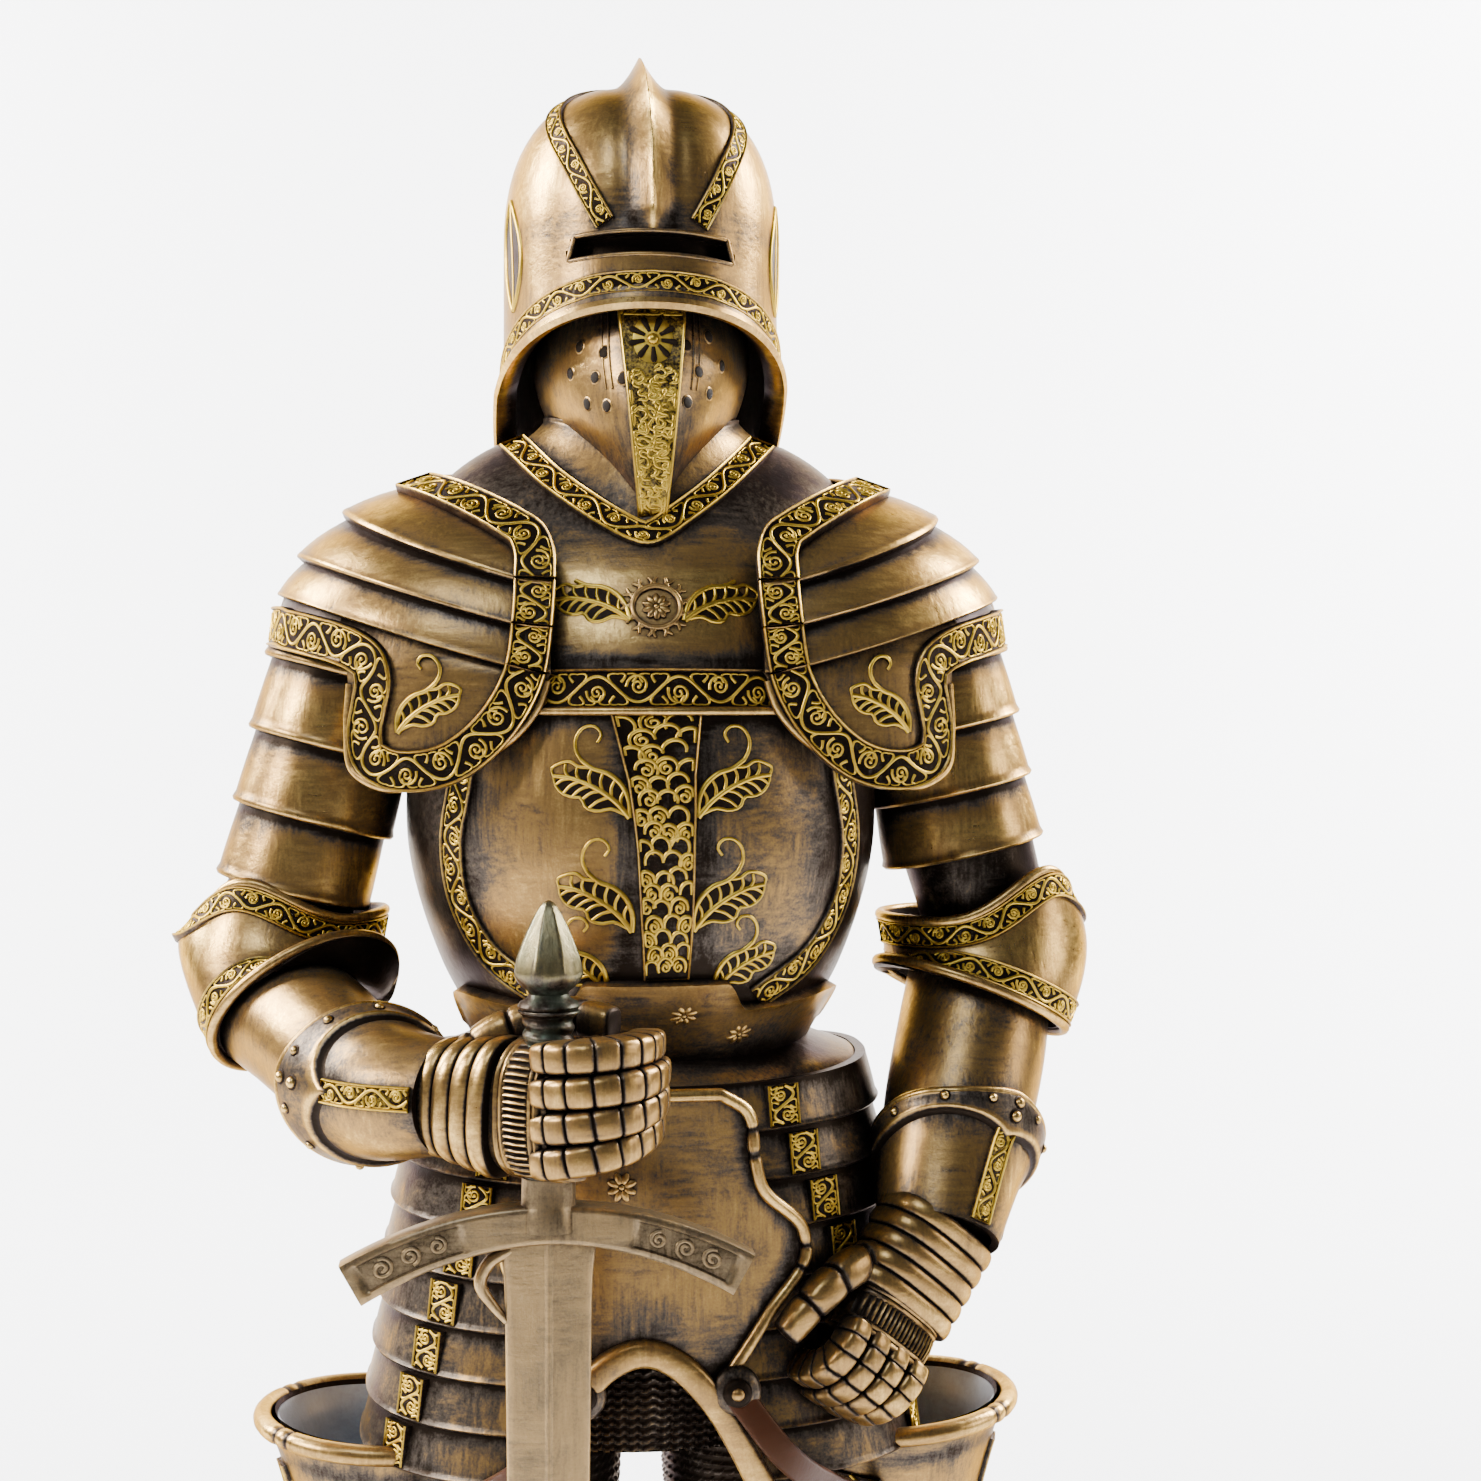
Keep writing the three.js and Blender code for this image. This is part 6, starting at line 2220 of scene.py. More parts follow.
def right_arm() -> Arm:
    """The arm whose fist holds the sword.

    Returns:
        The arm.
    """
    hoops = (
        Hoop((-61.5, 0, 296.5), (-0.12, 0, 0.99), (-1, 0, 0), 16.4, 15.0, 9.0, 65.0),
        Hoop((-64, -4, 288.5), (0.18, 0.3, 0.93), (-1, 0, 0), 17.2, 15.5),
        Hoop((-58.8, -12, 284), (-0.45, 0.62, 0.64), (-0.8, -0.2, -0.6), 17.0, 15.0),
    )
    cuff = Limb(
        [(-48.8, -33.0, 275.0, 13.0, 13.6), (-46.2, -37.7, 274.3, 12.6, 13.2),
         (-42.6, -44.3, 273.9, 11.0, 11.2), (-33.5, -52.0, 274.0, 8.8, 8.6)], UPWARDS,
    )
    return Arm(
        upper=((-48, 0, 352, 15, 14.5), (-61.5, -1, 302, 12.4, 13)),
        lame_count=4,
        inner=((-60.5, -1, 305, 11.2, 12), (-66, -2.5, 288, 10.8, 10), (-67, -5, 279, 8, 8)),
        forearm=((-67, -4, 283, 10.5, 10.5), (-59.5, -16, 281, 11.4, 11.4), (-46.8, -37, 274.9, 10.3, 10),
                 (-34, -51.5, 274, 8.2, 8.0)),
        forearm_across=UPWARDS,
        elbow=Elbow(hoops),
        cuff=Cuff(cuff, 84.0),
        wrist=((-34.0, -50.0, 274.2, 8.7, 7.8), (-24.1, -58.1, 273.4, 10.7, 6.6)),
        wrist_across=UPWARDS,
        wrist_count=4,
        fist=Fist((-18.4, -67.0, 273.6), (0.77, -0.64, 0), (0, 0, -1), 1.0, 0.97, 3.2,
                  ((-33, -52, 278), (-25, -52.5, 284), (-15.5, -53.5, 286.5), (-8, -58.5, 286))),
        seed=91,
    )


def left_arm() -> Arm:
    """The arm whose fist rests at the hip.

    Returns:
        The arm.
    """
    hoops = (
        Hoop((60.8, 0, 296.5), (0, 0, 1), (1, 0, 0), 17.2, 16.5, 9.0, -50.0),
        Hoop((63, -1, 290), (-0.02, 0.1, 1), (1, 0, 0), 18.5, 17.5),
        Hoop((59.5, -5, 282.5), (0.38, 0.2, 0.9), (1, 0, 0), 18.0, 16.5),
    )
    cuff = Limb(
        [(55.2, -15, 265, 14.4, 14.4), (54, -17, 261, 14.9, 14.9), (51.5, -22, 254, 12.8, 11.8),
         (48.6, -28.5, 245, 10.5, 9)], SIDEWAYS,
    )
    return Arm(
        upper=((49, 0, 352, 15, 14.5), (59, -0.5, 308, 13.6, 13.4)),
        lame_count=4,
        inner=((59.5, -0.5, 310, 12, 12), (63, -1, 294, 11.6, 12), (62, -3, 284, 12.6, 12.6)),
        forearm=((61.5, -3, 286, 12.8, 12.8), (59, -8, 276, 13.4, 13), (54.5, -16, 262, 13, 12.5),
                 (49.5, -27, 246, 10.6, 9)),
        forearm_across=SIDEWAYS,
        elbow=Elbow(hoops),
        cuff=Cuff(cuff, 57.0, 0.5, 0.13, 0.16),
        wrist=((49.2, -26.4, 246.5, 10.6, 8), (40.1, -31.8, 233.6, 10.6, 6.4)),
        wrist_across=(0.72, 0.31, -0.62),
        wrist_count=5,
        fist=Fist((38.0, -37.2, 228.4), (-0.52, -0.35, -0.78), (0.722, 0.309, -0.619), -1.0, 0.86, 0.8,
                  ((44, -27, 240), (33, -36, 242), (26, -40.5, 238), (20.5, -42, 232.5))),
        seed=95,
    )


# Skirt of plates


@dataclass
class Fauld:
    """Hoops from waist to thigh with scroll squares, an arch in front, and the front plate over it."""

    body: Levels = field(default_factory=lambda: Levels(
        (205.0, 272.0), (48.8, 40.0), (37.6, 34.5), (35.2, 29.0), 2.5,
    ))
    hoops: int = 8
    top: float = 272.0
    bottom: float = 207.0
    arch: tuple = ((203.0, 19.0), (209.0, 17.4), (217.0, 15.2), (224.5, 11.6), (229.5, 6.5), (232.3, 0.0))
    outline: tuple = ((10.0, 272.0), (14.3, 269.0), (15.6, 261.5), (16.6, 257.0), (23.9, 248.6),
                      (24.4, 246.0), (18.0, 236.0), (10.5, 225.5))
    rim_path: tuple = ((-20.4, 200.0), (-16.8, 209.5), (-15.2, 217.5), (-11.6, 225.6), (-6.8, 229.6),
                       (-2.2, 230.8), (3.0, 228.7), (6.6, 225.4), (10.0, 220.9), (13.6, 214.6),
                       (16.8, 208.0), (20.4, 200.0))

    def at(self, turn: Array, z: Array) -> Array:
        """Point of the hoops: the body, drawn up at the sides by the square of the angle's sine.

        Args:
            turn: angles from the front, in radians.
            z: heights.

        Returns:
            The points, as (..., 3).
        """
        point = self.body.at(turn, z)
        lift = 1.6 * np.sin(turn) ** 2 * (np.asarray(z, float) - self.bottom) / (self.top - self.bottom)
        return point + stack(0.0, 0.0, lift)

    def opening(self, z: Array) -> Array:
        """Angle from the front at which the arch's edge stands at a height.

        Args:
            z: heights.

        Returns:
            The angles, in radians.
        """
        half = np.interp(z, [row[0] for row in self.arch], [row[1] for row in self.arch])
        wide = through(self.body.heights, self.body.wide, z)
        return np.arcsin(np.clip(half / wide, 0.0, 1.0) ** (self.body.exponent / 2))

    def cast(self, casting: Casting) -> None:
        """Adds the hoops, each one standing outside the one above.

        Args:
            casting: takes the forms.
        """
        share, rise, shine = LameRows(self.hoops, 1.0, 0.3).rows()
        z = self.top + (self.bottom - self.top) * share
        start = self.opening(z)
        spread = shares(240)[:, None]
        u = start + (2 * np.pi - 2 * start) * spread
        fade = 0.57 + 0.2 * np.cos(3.0 * u)
        sheet(casting, Skin(self.at), u, z[None], 1.8, rise[None], shine[None] * fade)

    def squares(self, casting: Casting) -> None:
        """Adds the scroll squares: one on each hoop at both sides of the front, and the same behind.

        Args:
            casting: takes the forms.
        """
        skin = Skin(self.at)
        pitch = (self.top - self.bottom) / self.hoops
        wide = through(self.body.heights, self.body.wide, np.array([self.top, self.bottom]))
        for k in range(self.hoops):
            middle = self.top - pitch * (k + 0.5)
            for side, first, last in ((1, 21.0, 46.0), (-1, 23.0, 42.5)):
                x = first + (last - first) * k / (self.hoops - 1)
                reach = wide[0] + (wide[1] - wide[0]) * k / (self.hoops - 1)
                turn = math.asin(min(x / reach, 0.98) ** (self.body.exponent / 2)) * side
                for way in (turn, np.pi - turn):
                    line = [(way, middle + pitch * s) for s in (0.42, 0.0, -0.40)]
                    square = Ribbon.on(skin, line, 5.8, 0.6, 1.05)
                    square.bed(casting, 0.45, 0.1, 0.45, 0.6, 1.2)
                    vine(casting, square, 60 + k + (5 if side > 0 else 0), 0.45, 0.27, 1.4)

    def front_depth(self, x: Array, z: Array) -> Array:
        """Point of the front plate, a shallow bowl."""
        return stack(x, -(43.5 - 0.009 * x * x - 0.00035 * (z - 240) ** 2), z)

    def front_plate(self, casting: Casting) -> None:
        """Adds the front plate, whose foot follows the arch, with its notched rim and a small flower.

        Args:
            casting: takes the forms.
        """
        skin = Skin(self.front_depth, step=1e-2)
        edge = np.asarray(self.outline)
        z = np.linspace(272.0, 225.5, 60)
        half = np.interp(z, edge[::-1, 1], edge[::-1, 0])
        side = np.linspace(-1, 1, 41)[None]
        u = half[:, None] * side
        floor = np.maximum(edge[-1, 1], np.interp(u, *zip(*self.rim_path)))
        v = floor + (z[:, None] - edge[-1, 1]) * (edge[0, 1] - floor) / (edge[0, 1] - edge[-1, 1])
        near = smoothstep(np.abs(side), 0.78, 0.97)
        shine = 0.64 - 0.5 * near - 0.25 * (1 - smoothstep(z[:, None], 228, 238)) * (1 - near)
        sheet(casting, skin, u, v, 5.0, 0.0, shine)
        right = smooth_line(edge, 90)
        outline = np.concatenate([right[::-1], right * [-1, 1]])
        rim = skin.lift(*outline.T, 0.5)
        along = arc_lengths(rim)
        places = [at for place in (22.0, 26.0, 45.0, 49.0) for at in (place, along[-1] - place)]
        notch = notches(along, places, 0.45)
        bead(casting, rim, 1.08 - 0.35 * notch, 1.0 - 1.2 * notch, 0.0, False, 12)
        daisy(casting, skin, -6.0, 257.5, 2.4, 0.1)

    def arch_rim(self, casting: Casting) -> None:
        """Adds the rolled edge of the arch.

        Args:
            casting: takes the forms.
        """
        line = smooth_line(self.rim_path, 110)
        y = -43.2 + 0.16 * np.maximum(0.0, 226 - line[:, 1])
        stations = [(x, depth, z, 2.0, 2.3) for (x, z), depth in zip(line[::4], y[::4])]
        limb = Limb(stations, (0.0, 1.0, 0.0), 3.2)
        barrel(casting, limb.skin(), shares(140), 0.0, 0.85, 24)


@dataclass
class Mail:
    """Mail skirt and mail legs, with rows of small links standing up."""

    link: float = 1.9
    row: float = 1.45
    skirt: Levels = field(default_factory=lambda: Levels(
        (211.0, 214.0, 240.0, 262.0), (32.6, 33.0, 34.0, 32.0), (33.0, 33.5, 33.0, 30.0),
        (29.6, 30.0, 29.0, 27.0),
    ))

    def relief(self, along: Array, height: Array) -> Array:
        """Height of the links: rows of scallops whose lower rims stand up.

        The phase of each row is its height plus the size of a sine along it, and the rim is the phase's
        own sine to a power.

        Args:
            along: lengths along the rows.
            height: heights.

        Returns:
            The relief, from 0 to 1.
        """
        wave = np.abs(np.sin(np.pi * along / self.link))
        return (0.5 + 0.5 * np.sin(2 * np.pi * (height / self.row + 0.42 * wave))) ** 1.6

    def cast(self, casting: Casting) -> None:
        """Adds the skirt and the upper legs.

        Args:
            casting: takes the forms.
        """
        rows, turn = np.arange(211.5, 250.0, 0.36)[:, None], circle(640)
        relief = self.relief(turn * 33.0, rows)
        casting.add(self.skirt.round().lift(turn, rows, 0.62 * relief - 0.3), -0.25 + 0.75 * relief)

    def legs(self, casting: Casting) -> None:
        """Adds both thighs.

        Args:
            casting: takes the forms.
        """
        stations = ((19.5, 0, 222, 15.2, 20), (20, -1, 200, 16.2, 19), (27, -3.5, 160, 14.6, 16.5),
                    (29.6, -4, 133, 14.4, 15.4), (29.4, -3.6, 124, 12, 13))
        limb = Limb(stations, SIDEWAYS)
        share, turn = shares(200)[:, None], circle(150)
        relief = self.relief(turn * 15.6, share * limb.arc[-1])
        points = limb.skin().lift(turn, share, 0.5 * relief - 0.3)
        for side in (1.0, -1.0):
            casting.add(points * [side, 1.0, 1.0], -0.25 + 0.6 * relief)


@dataclass
class ThighGuard:
    """Tall plate round the outside of the thigh, flared at its top like a bucket."""

    x: float = 45.5
    y: float = -2.0
    z: float = 210.0
    low: float = 132.0
    start: float = math.radians(-52)
    end: float = math.radians(205)

    def at(self, turn: Array, share: Array) -> Array:
        """Point of the guard by angle and share of its height from the rim down.

        Args:
            turn: angles from the front, in radians.
            share: 0 at the rim, 1 at the foot.

        Returns:
            The points, as (..., 3).
        """
        flare = 3.4 * (1 - share) ** 9
        ease = smoothstep(share, 0, 1)
        wide = 17.7 - 2.7 * ease + flare
        deep = 17.4 - 1.4 * ease + flare
        x = self.x + (30 - self.x) * share**1.2
        top = self.z + 1.5 * np.sin(turn)
        y = self.y - 2 * share - deep * np.cos(turn)
        return stack(x + wide * np.sin(turn), y, top + (self.low - top) * share)

    def cast(self, casting: Casting) -> None:
        """Adds the outside with its notched roll at the top and a plain one at the foot.

        Args:
            casting: takes the forms.
        """
        skin = Skin(self.at, -1.0)
        turn = np.linspace(self.start, self.end, 130)
        share = np.concatenate([np.linspace(0.0, 0.12, 14), np.linspace(0.14, 1.0, 40)])
        shine = 0.75 - 0.4 * bell(share, 0.075, 0.02) - 0.25 * smoothstep(share, 0.3, 1.0)
        sheet(casting, skin, turn[:, None], share[None], 2.0, 0.0, shine[None])
        rim = skin.lift(turn, 0.012, 0.4)
        notch = notches(arc_lengths(rim), (9.0, 12.0, 36.0, 39.0, 63.0, 66.0), 0.5)
        bead(casting, rim, 1.7 - 0.35 * notch, 0.95 - 1.1 * notch, 0.0, False, 14)
        bead(casting, skin.at(turn, 0.995), 1.2, 0.8)
        rivets(casting, skin, np.radians([-44, -44, 150, 180]), [0.07, 0.2, 0.08, 0.08], 1.0, 0.1)

    def lining(self, casting: Casting) -> None:
        """Adds the smooth inner face, a thin sheet inside the wall, whose pale grey finish is a painted
        reflection of the room.

        Args:
            casting: takes the forms.
        """
        skin = Skin(self.at, -1.0)
        turn = np.linspace(self.start + 0.01, self.end - 0.01, 90)
        share = np.linspace(0.02, 0.99, 30)
        sheet(casting, skin, turn[:, None], share[None], 2.35, -2.05, 0.7, 0.0, 0.7)

    def dress(self, casting: Casting) -> None:
        """Adds the scroll panel in front and the upright bands round the outside.

        Args:
            casting: takes the forms.
        """
        skin = Skin(self.at, -1.0)
        for turn, width, seed in ((-30, 11.0, 71), (75, 6.0, 72), (160, 8.0, 73)):
            line = [(math.radians(turn), share) for share in (0.1, 0.25, 0.45, 0.62)]
            band = Ribbon.on(skin, line, width, 0.8, 0.1)
            band.bed(casting, 0.55, 0.1, 0.6, 0.4)
            vine(casting, band, seed, 0.6, 0.36, 1.5)


@dataclass
class Leg:
    """Knee plate with its side wing, greave and pointed sabaton, for the leg on +X."""

    heel: tuple[float, float] = (30.5, 2.0)
    toe_out: float = math.radians(14)
    shin: tuple = ((29.5, -2, 104, 11.6, 13), (29.8, 0.5, 84, 12.6, 14.6), (30, 1.5, 66, 11.2, 12.6),
                   (30.2, 1.5, 42, 8.6, 9.6), (30.4, 1, 24, 9, 10.6), (30.5, 0, 15, 10.6, 12.8))
    sections: tuple = ((-12, 5.5, 10), (-9, 8.4, 17), (0, 9.2, 21), (6, 9.4, 19.5), (16, 9.6, 14.4),
                       (28, 9.0, 9.6), (37, 6.2, 6.2), (46, 1.4, 3.6))

    def knee(self, casting: Casting) -> None:
        """Adds the knee plate, a ridge across it, its lames and the wing.

        Args:
            casting: takes the forms.
        """
        limb = Limb(((29.5, -4, 137, 14.6, 16.2), (29.5, -5, 129, 13.2, 15), (29.5, -5.5, 120, 13.8, 17),
                     (29.5, -4.5, 110, 12.8, 14.4), (29.5, -3, 99, 12.6, 14)), SIDEWAYS)
        share = shares(90)
        ridge = 0.9 * bell(share, 0.2, 0.02) + 0.9 * bell(share, 0.74, 0.02)
        peak = 1.6 * bell(share, 0.45, 0.10)
        turn = circle(90)
        ahead = np.maximum(0.0, -np.sin(turn)) ** 3
        relief = ridge[:, None] + peak[:, None] * ahead - 0.2
        casting.add(limb.skin().lift(turn, share[:, None], relief), 0.45 + 0.35 * relief)
        angle = circle(80)
        lobe = 1 + 0.22 * np.cos(2 * angle)
        out = np.array([0.0, 2.0, 3.2, 3.9, 4.2, 4.3])[:, None]
        size = np.array([0.84, 0.97, 0.95, 0.7, 0.35, 0.06])[:, None]
        folds = 1 - 0.06 * (0.5 + 0.5 * np.cos(8 * angle))
        wing = stack(40.5 + out, -2 + size * 12 * lobe * folds * np.cos(angle),
                     119 + size * 10 * lobe * folds * np.sin(angle))
        casting.add(wing, 0.6)

    def greave(self, casting: Casting) -> None:
        """Adds the greave with its borders and the seam rivets.

        Args:
            casting: takes the forms.
        """
        skin = Limb(self.shin, SIDEWAYS).skin()
        share = shares(120)
        edge = 0.8 * bell(share, 0.03, 0.014) + 0.8 * bell(share, 0.93, 0.014)
        barrel(casting, skin, share, edge, 0.62 + 0.35 * edge, 90)
        rivets(casting, skin, np.zeros(6), np.linspace(0.12, 0.85, 6), 0.8)

    def shin_bands(self, casting: Casting) -> None:
        """Adds a plain border band under the knee and over the ankle.

        Args:
            casting: takes the forms.
        """
        skin = Limb(self.shin, SIDEWAYS).skin()
        for share, seed in ((0.1, 81), (0.87, 82)):
            line = [(t, share) for t in np.linspace(-np.pi, np.pi, 25)]
            band = Ribbon.on(skin, line, 4.4, 0.8, 0.1)
            band.bed(casting, 0.5, 0.1, 0.5, 0.4)
            vine(casting, band, seed, 0.5, 0.3, 2.3)

    def at(self, side: Array, reach: Array) -> Array:
        """Point of the sabaton: side runs from -1 over the top to 1, reach along the foot.

        Args:
            side: from -1 over the top to 1.
            reach: distances from the heel towards the toe.

        Returns:
            The points, as (..., 3).
        """
        reaches = [row[0] for row in self.sections]
        half = through(reaches, [row[1] for row in self.sections], reach)
        high = through(reaches, [row[2] for row in self.sections], reach)
        up = np.maximum(0.0, 1 - np.abs(side) ** 2.6) ** 0.5
        x = self.heel[0] + reach * math.sin(self.toe_out) + side * half * math.cos(self.toe_out)
        y = self.heel[1] - reach * math.cos(self.toe_out) + side * half * math.sin(self.toe_out)
        return stack(x, y, 0.02 + high * up)

    def sabaton(self, casting: Casting) -> None:
        """Adds the sabaton with its lames.

        Args:
            casting: takes the forms.
        """
        share, rise, shine = LameRows(7, 0.55, 0.25).rows()
        reach = np.concatenate([[-12.0, -9.0, -5.0, 0.0], 4.0 + share * 42.0])
        lift = np.concatenate([np.zeros(4), rise])
        glow = np.concatenate([np.full(4, 0.5), shine * 0.8])
        side = np.sin(np.linspace(-1, 1, 39) * np.pi / 2)
        top = self.at(side, reach[:, None])
        top[..., 2] += lift[:, None] * (1 - side**4)
        rings = np.concatenate([top, top[:, -1:] * [1.0, 1.0, 0.0]], axis=1)
        casting.add(rings, glow[:, None])


# Sword and plinth


@dataclass
class Sword:
    """Sword that stands on its point: ridged blade, curved guard with relief, grip and faceted pommel."""

    x: float = -18.3
    y: float = -61.5
    guard: float = 255.5
    top: float = 305.5
    tip: float = 0.3
    half: float = 6.8
    tip_half: float = 4.0
    thick: float = 2.1
    span: float = 59.5
    drop: float = 8.4

    def blade(self, casting: Casting) -> None:
        """Adds the blade: a flat diamond with a ridge on each side and a ricasso under the guard.

        Args:
            casting: takes the forms.
        """
        z = np.concatenate([np.linspace(self.tip, self.tip + 14, 12), np.linspace(20, self.guard - 16, 60),
                            np.linspace(self.guard - 15, self.guard + 1, 26)])
        taper = np.interp(z, [self.tip, self.tip + 14, self.guard - 12, self.guard + 1],
                          [0.35, self.tip_half, self.half * 0.97, self.half * 1.04])
        ricasso = smoothstep(z, self.guard - 8.0, self.guard - 3.0)
        taper = taper * (1 + 0.035 * ricasso)
        thick = np.interp(z, [self.tip, self.tip + 14, self.guard],
                          [0.35, self.thick * 0.85, self.thick * 1.05])
        across = np.array([0.0, 0.055, 0.075, 0.11, 0.5, 0.8, 0.94, 1.0])
        bulge = np.array([1.0, 0.97, 0.86, 0.83, 0.62, 0.47, 0.36, 0.12])
        across = np.concatenate([-across[::-1], across[1:]])
        depth = np.concatenate([bulge[::-1], bulge[1:]])
        across, depth = np.append(across, across[::-1]), np.append(depth, -depth[::-1])
        casting.add(stack(self.x + taper[:, None] * across, self.y - thick[:, None] * depth, z[:, None]), 0.6)

    def guard_middle(self, share: Array) -> tuple[Array, Array]:
        """Middle line of the guard and its upward direction, by share from -1 to 1.

        Args:
            share: from -1 at its right end to 1 at its left.

        Returns:
            The middle points and the upward directions.
        """
        slope = np.arctan2(2 * self.drop * share, self.span / 2)
        middle = stack(self.x + share * self.span / 2, self.y, self.guard + 1 - self.drop * share**2)
        return middle, stack(np.sin(slope), 0.0, np.cos(slope))

    def guard_bar(self, casting: Casting) -> None:
        """Adds the guard: a curved bar with sunk panels on its faces.

        Args:
            casting: takes the forms.
        """
        share = np.linspace(-1, 1, 140)
        middle, up = self.guard_middle(share)
        tall = 2.9 + 0.6 * np.abs(share)
        deep = 3.0 - 0.6 * np.abs(share)
        panel = smoothstep(np.abs(share), 0.42, 0.46) * (1 - smoothstep(np.abs(share), 0.93, 0.965))
        height = np.array([-1.0, -0.96, -0.8, -0.66, -0.58, 0.0, 0.58, 0.66, 0.8, 0.96, 1.0])
        sunk = np.array([0.0, 0.0, 0.0, 0.0, 1.0, 1.0, 1.0, 0.0, 0.0, 0.0, 0.0])
        swell = np.array([0.75, 0.92, 1.0, 1.0, 1.0, 1.0, 1.0, 1.0, 1.0, 0.92, 0.75])
        depth = deep[:, None] * swell - 0.5 * panel[:, None] * sunk
        heights = tall[:, None] * height
        ahead = np.array([0.0, -1.0, 0.0])
        front = middle[:, None] + up[:, None] * heights[..., None] + ahead * depth[..., None]
        back = middle[:, None] + up[:, None] * heights[:, ::-1, None] - ahead * depth[:, ::-1, None]
        shine = 0.5 - 0.15 * panel[:, None] * sunk
        casting.add(np.concatenate([front, back], axis=1), np.concatenate([shine, shine[:, ::-1]], axis=1))

    def guard_relief(self, casting: Casting) -> None:
        """Adds the curls in the guard's panels, on both faces.

        Args:
            casting: takes the forms.
        """
        steps = shares(26)
        for face in (-1, 1):
            for side in (-1, 1):
                for place, hand, reach in ((0.84, 1, 1.6), (0.70, -1, 1.5), (0.56, 1, 1.3)):
                    angle = hand * (np.pi * 0.5 + 1.6 * 2 * np.pi * steps)
                    radius = reach * (1 - 0.8 * steps)
                    share = side * (place + radius * np.cos(angle) / (self.span / 2))
                    middle, up = self.guard_middle(share)
                    deep = 3.0 - 0.6 * np.abs(share) - 0.55
                    centre = middle + up * (radius * np.sin(angle))[:, None]
                    centre = centre + stack(0.0, face * deep, 0.0)
                    normal = np.broadcast_to([0.0, float(face), 0.0], centre.shape)
                    raised_lines(casting, centre, normal, 0.36, 0.0, 0.56)

    def socket(self, casting: Casting) -> None:
        """Adds the socket between the guard and the fist.

        Args:
            casting: takes the forms.
        """
        turn = circle(36)
        z = self.guard + np.array([0.0, 3.0, 3.6, 4.2, 8.0])[:, None]
        radius = np.array([4.6, 4.5, 4.3, 4.15, 4.1])[:, None]
        rings = stack(self.x + radius * np.cos(turn), self.y + radius * np.sin(turn), z)
        casting.add(rings, 0.35)

    def ring(self, casting: Casting) -> None:
        """Adds the small bent finger guard at the blade's side.

        Args:
            casting: takes the forms.
        """
        points = smooth_line([(-24.0, self.y, 252.5), (-27.2, self.y, 250.6), (-28.6, self.y, 247.4),
                              (-26.8, self.y, 244.2), (-24.6, self.y, 241.6)], 40)
        bead(casting, points, np.interp(shares(40), [0, 0.5, 1], [1.1, 1.0, 0.6]), 0.8)

    def grip(self, casting: Casting) -> None:
        """Adds the grip with its twisted binding.

        Args:
            casting: takes the forms.
        """
        turn = circle(48)
        z = np.linspace(self.guard, self.top - 16.6, 170)[:, None]
        twist = 0.5 + 0.5 * np.sin(2 * np.pi * (z / 2.1) + turn)
        radius = 3.55 + 0.45 * twist**0.7
        radius = radius + 0.9 * bell(z, self.top - 16.9, 0.7)
        rings = stack(self.x + radius * np.cos(turn), self.y + radius * np.sin(turn), z)
        casting.add(rings, -0.2 + 0.7 * twist)

    def pommel(self, casting: Casting) -> None:
        """Adds the pommel: a neck with two rings, and a spearhead of eight soft facets.

        Args:
            casting: takes the forms.
        """
        below = [17.2, 16.6, 16.0, 15.4, 14.9, 14.2, 13.7, 13.2, 12.3, 11.4, 10.9, 10.4, 9.4, 8.4, 6.8, 5.2,
                 3.6, 2.2, 1.1, 0.4, 0.02]
        radius = [3.9, 4.5, 4.75, 4.4, 3.4, 3.0, 3.3, 4.0, 4.9, 5.45, 5.6, 5.55, 5.35, 5.05, 4.45, 3.75,
                    2.95, 2.2, 1.5, 0.9, 0.2]
        z = (self.top - np.asarray(below))[:, None]
        turn = circle(64)
        facet = np.cos(np.pi / 8) / np.cos((turn + np.pi / 8) % (np.pi / 4) - np.pi / 8)
        weight = smoothstep(z, self.top - 13.0, self.top - 10.5)
        radius = np.asarray(radius)[:, None] * (1 + (facet - 1) * weight)
        rings = stack(self.x + radius * np.cos(turn), self.y + radius * np.sin(turn), z)
        ridge = 0.5 + 0.5 * np.cos(8 * turn)
        casting.add(rings, 0.25 + 0.45 * weight + 0.25 * ridge * weight)


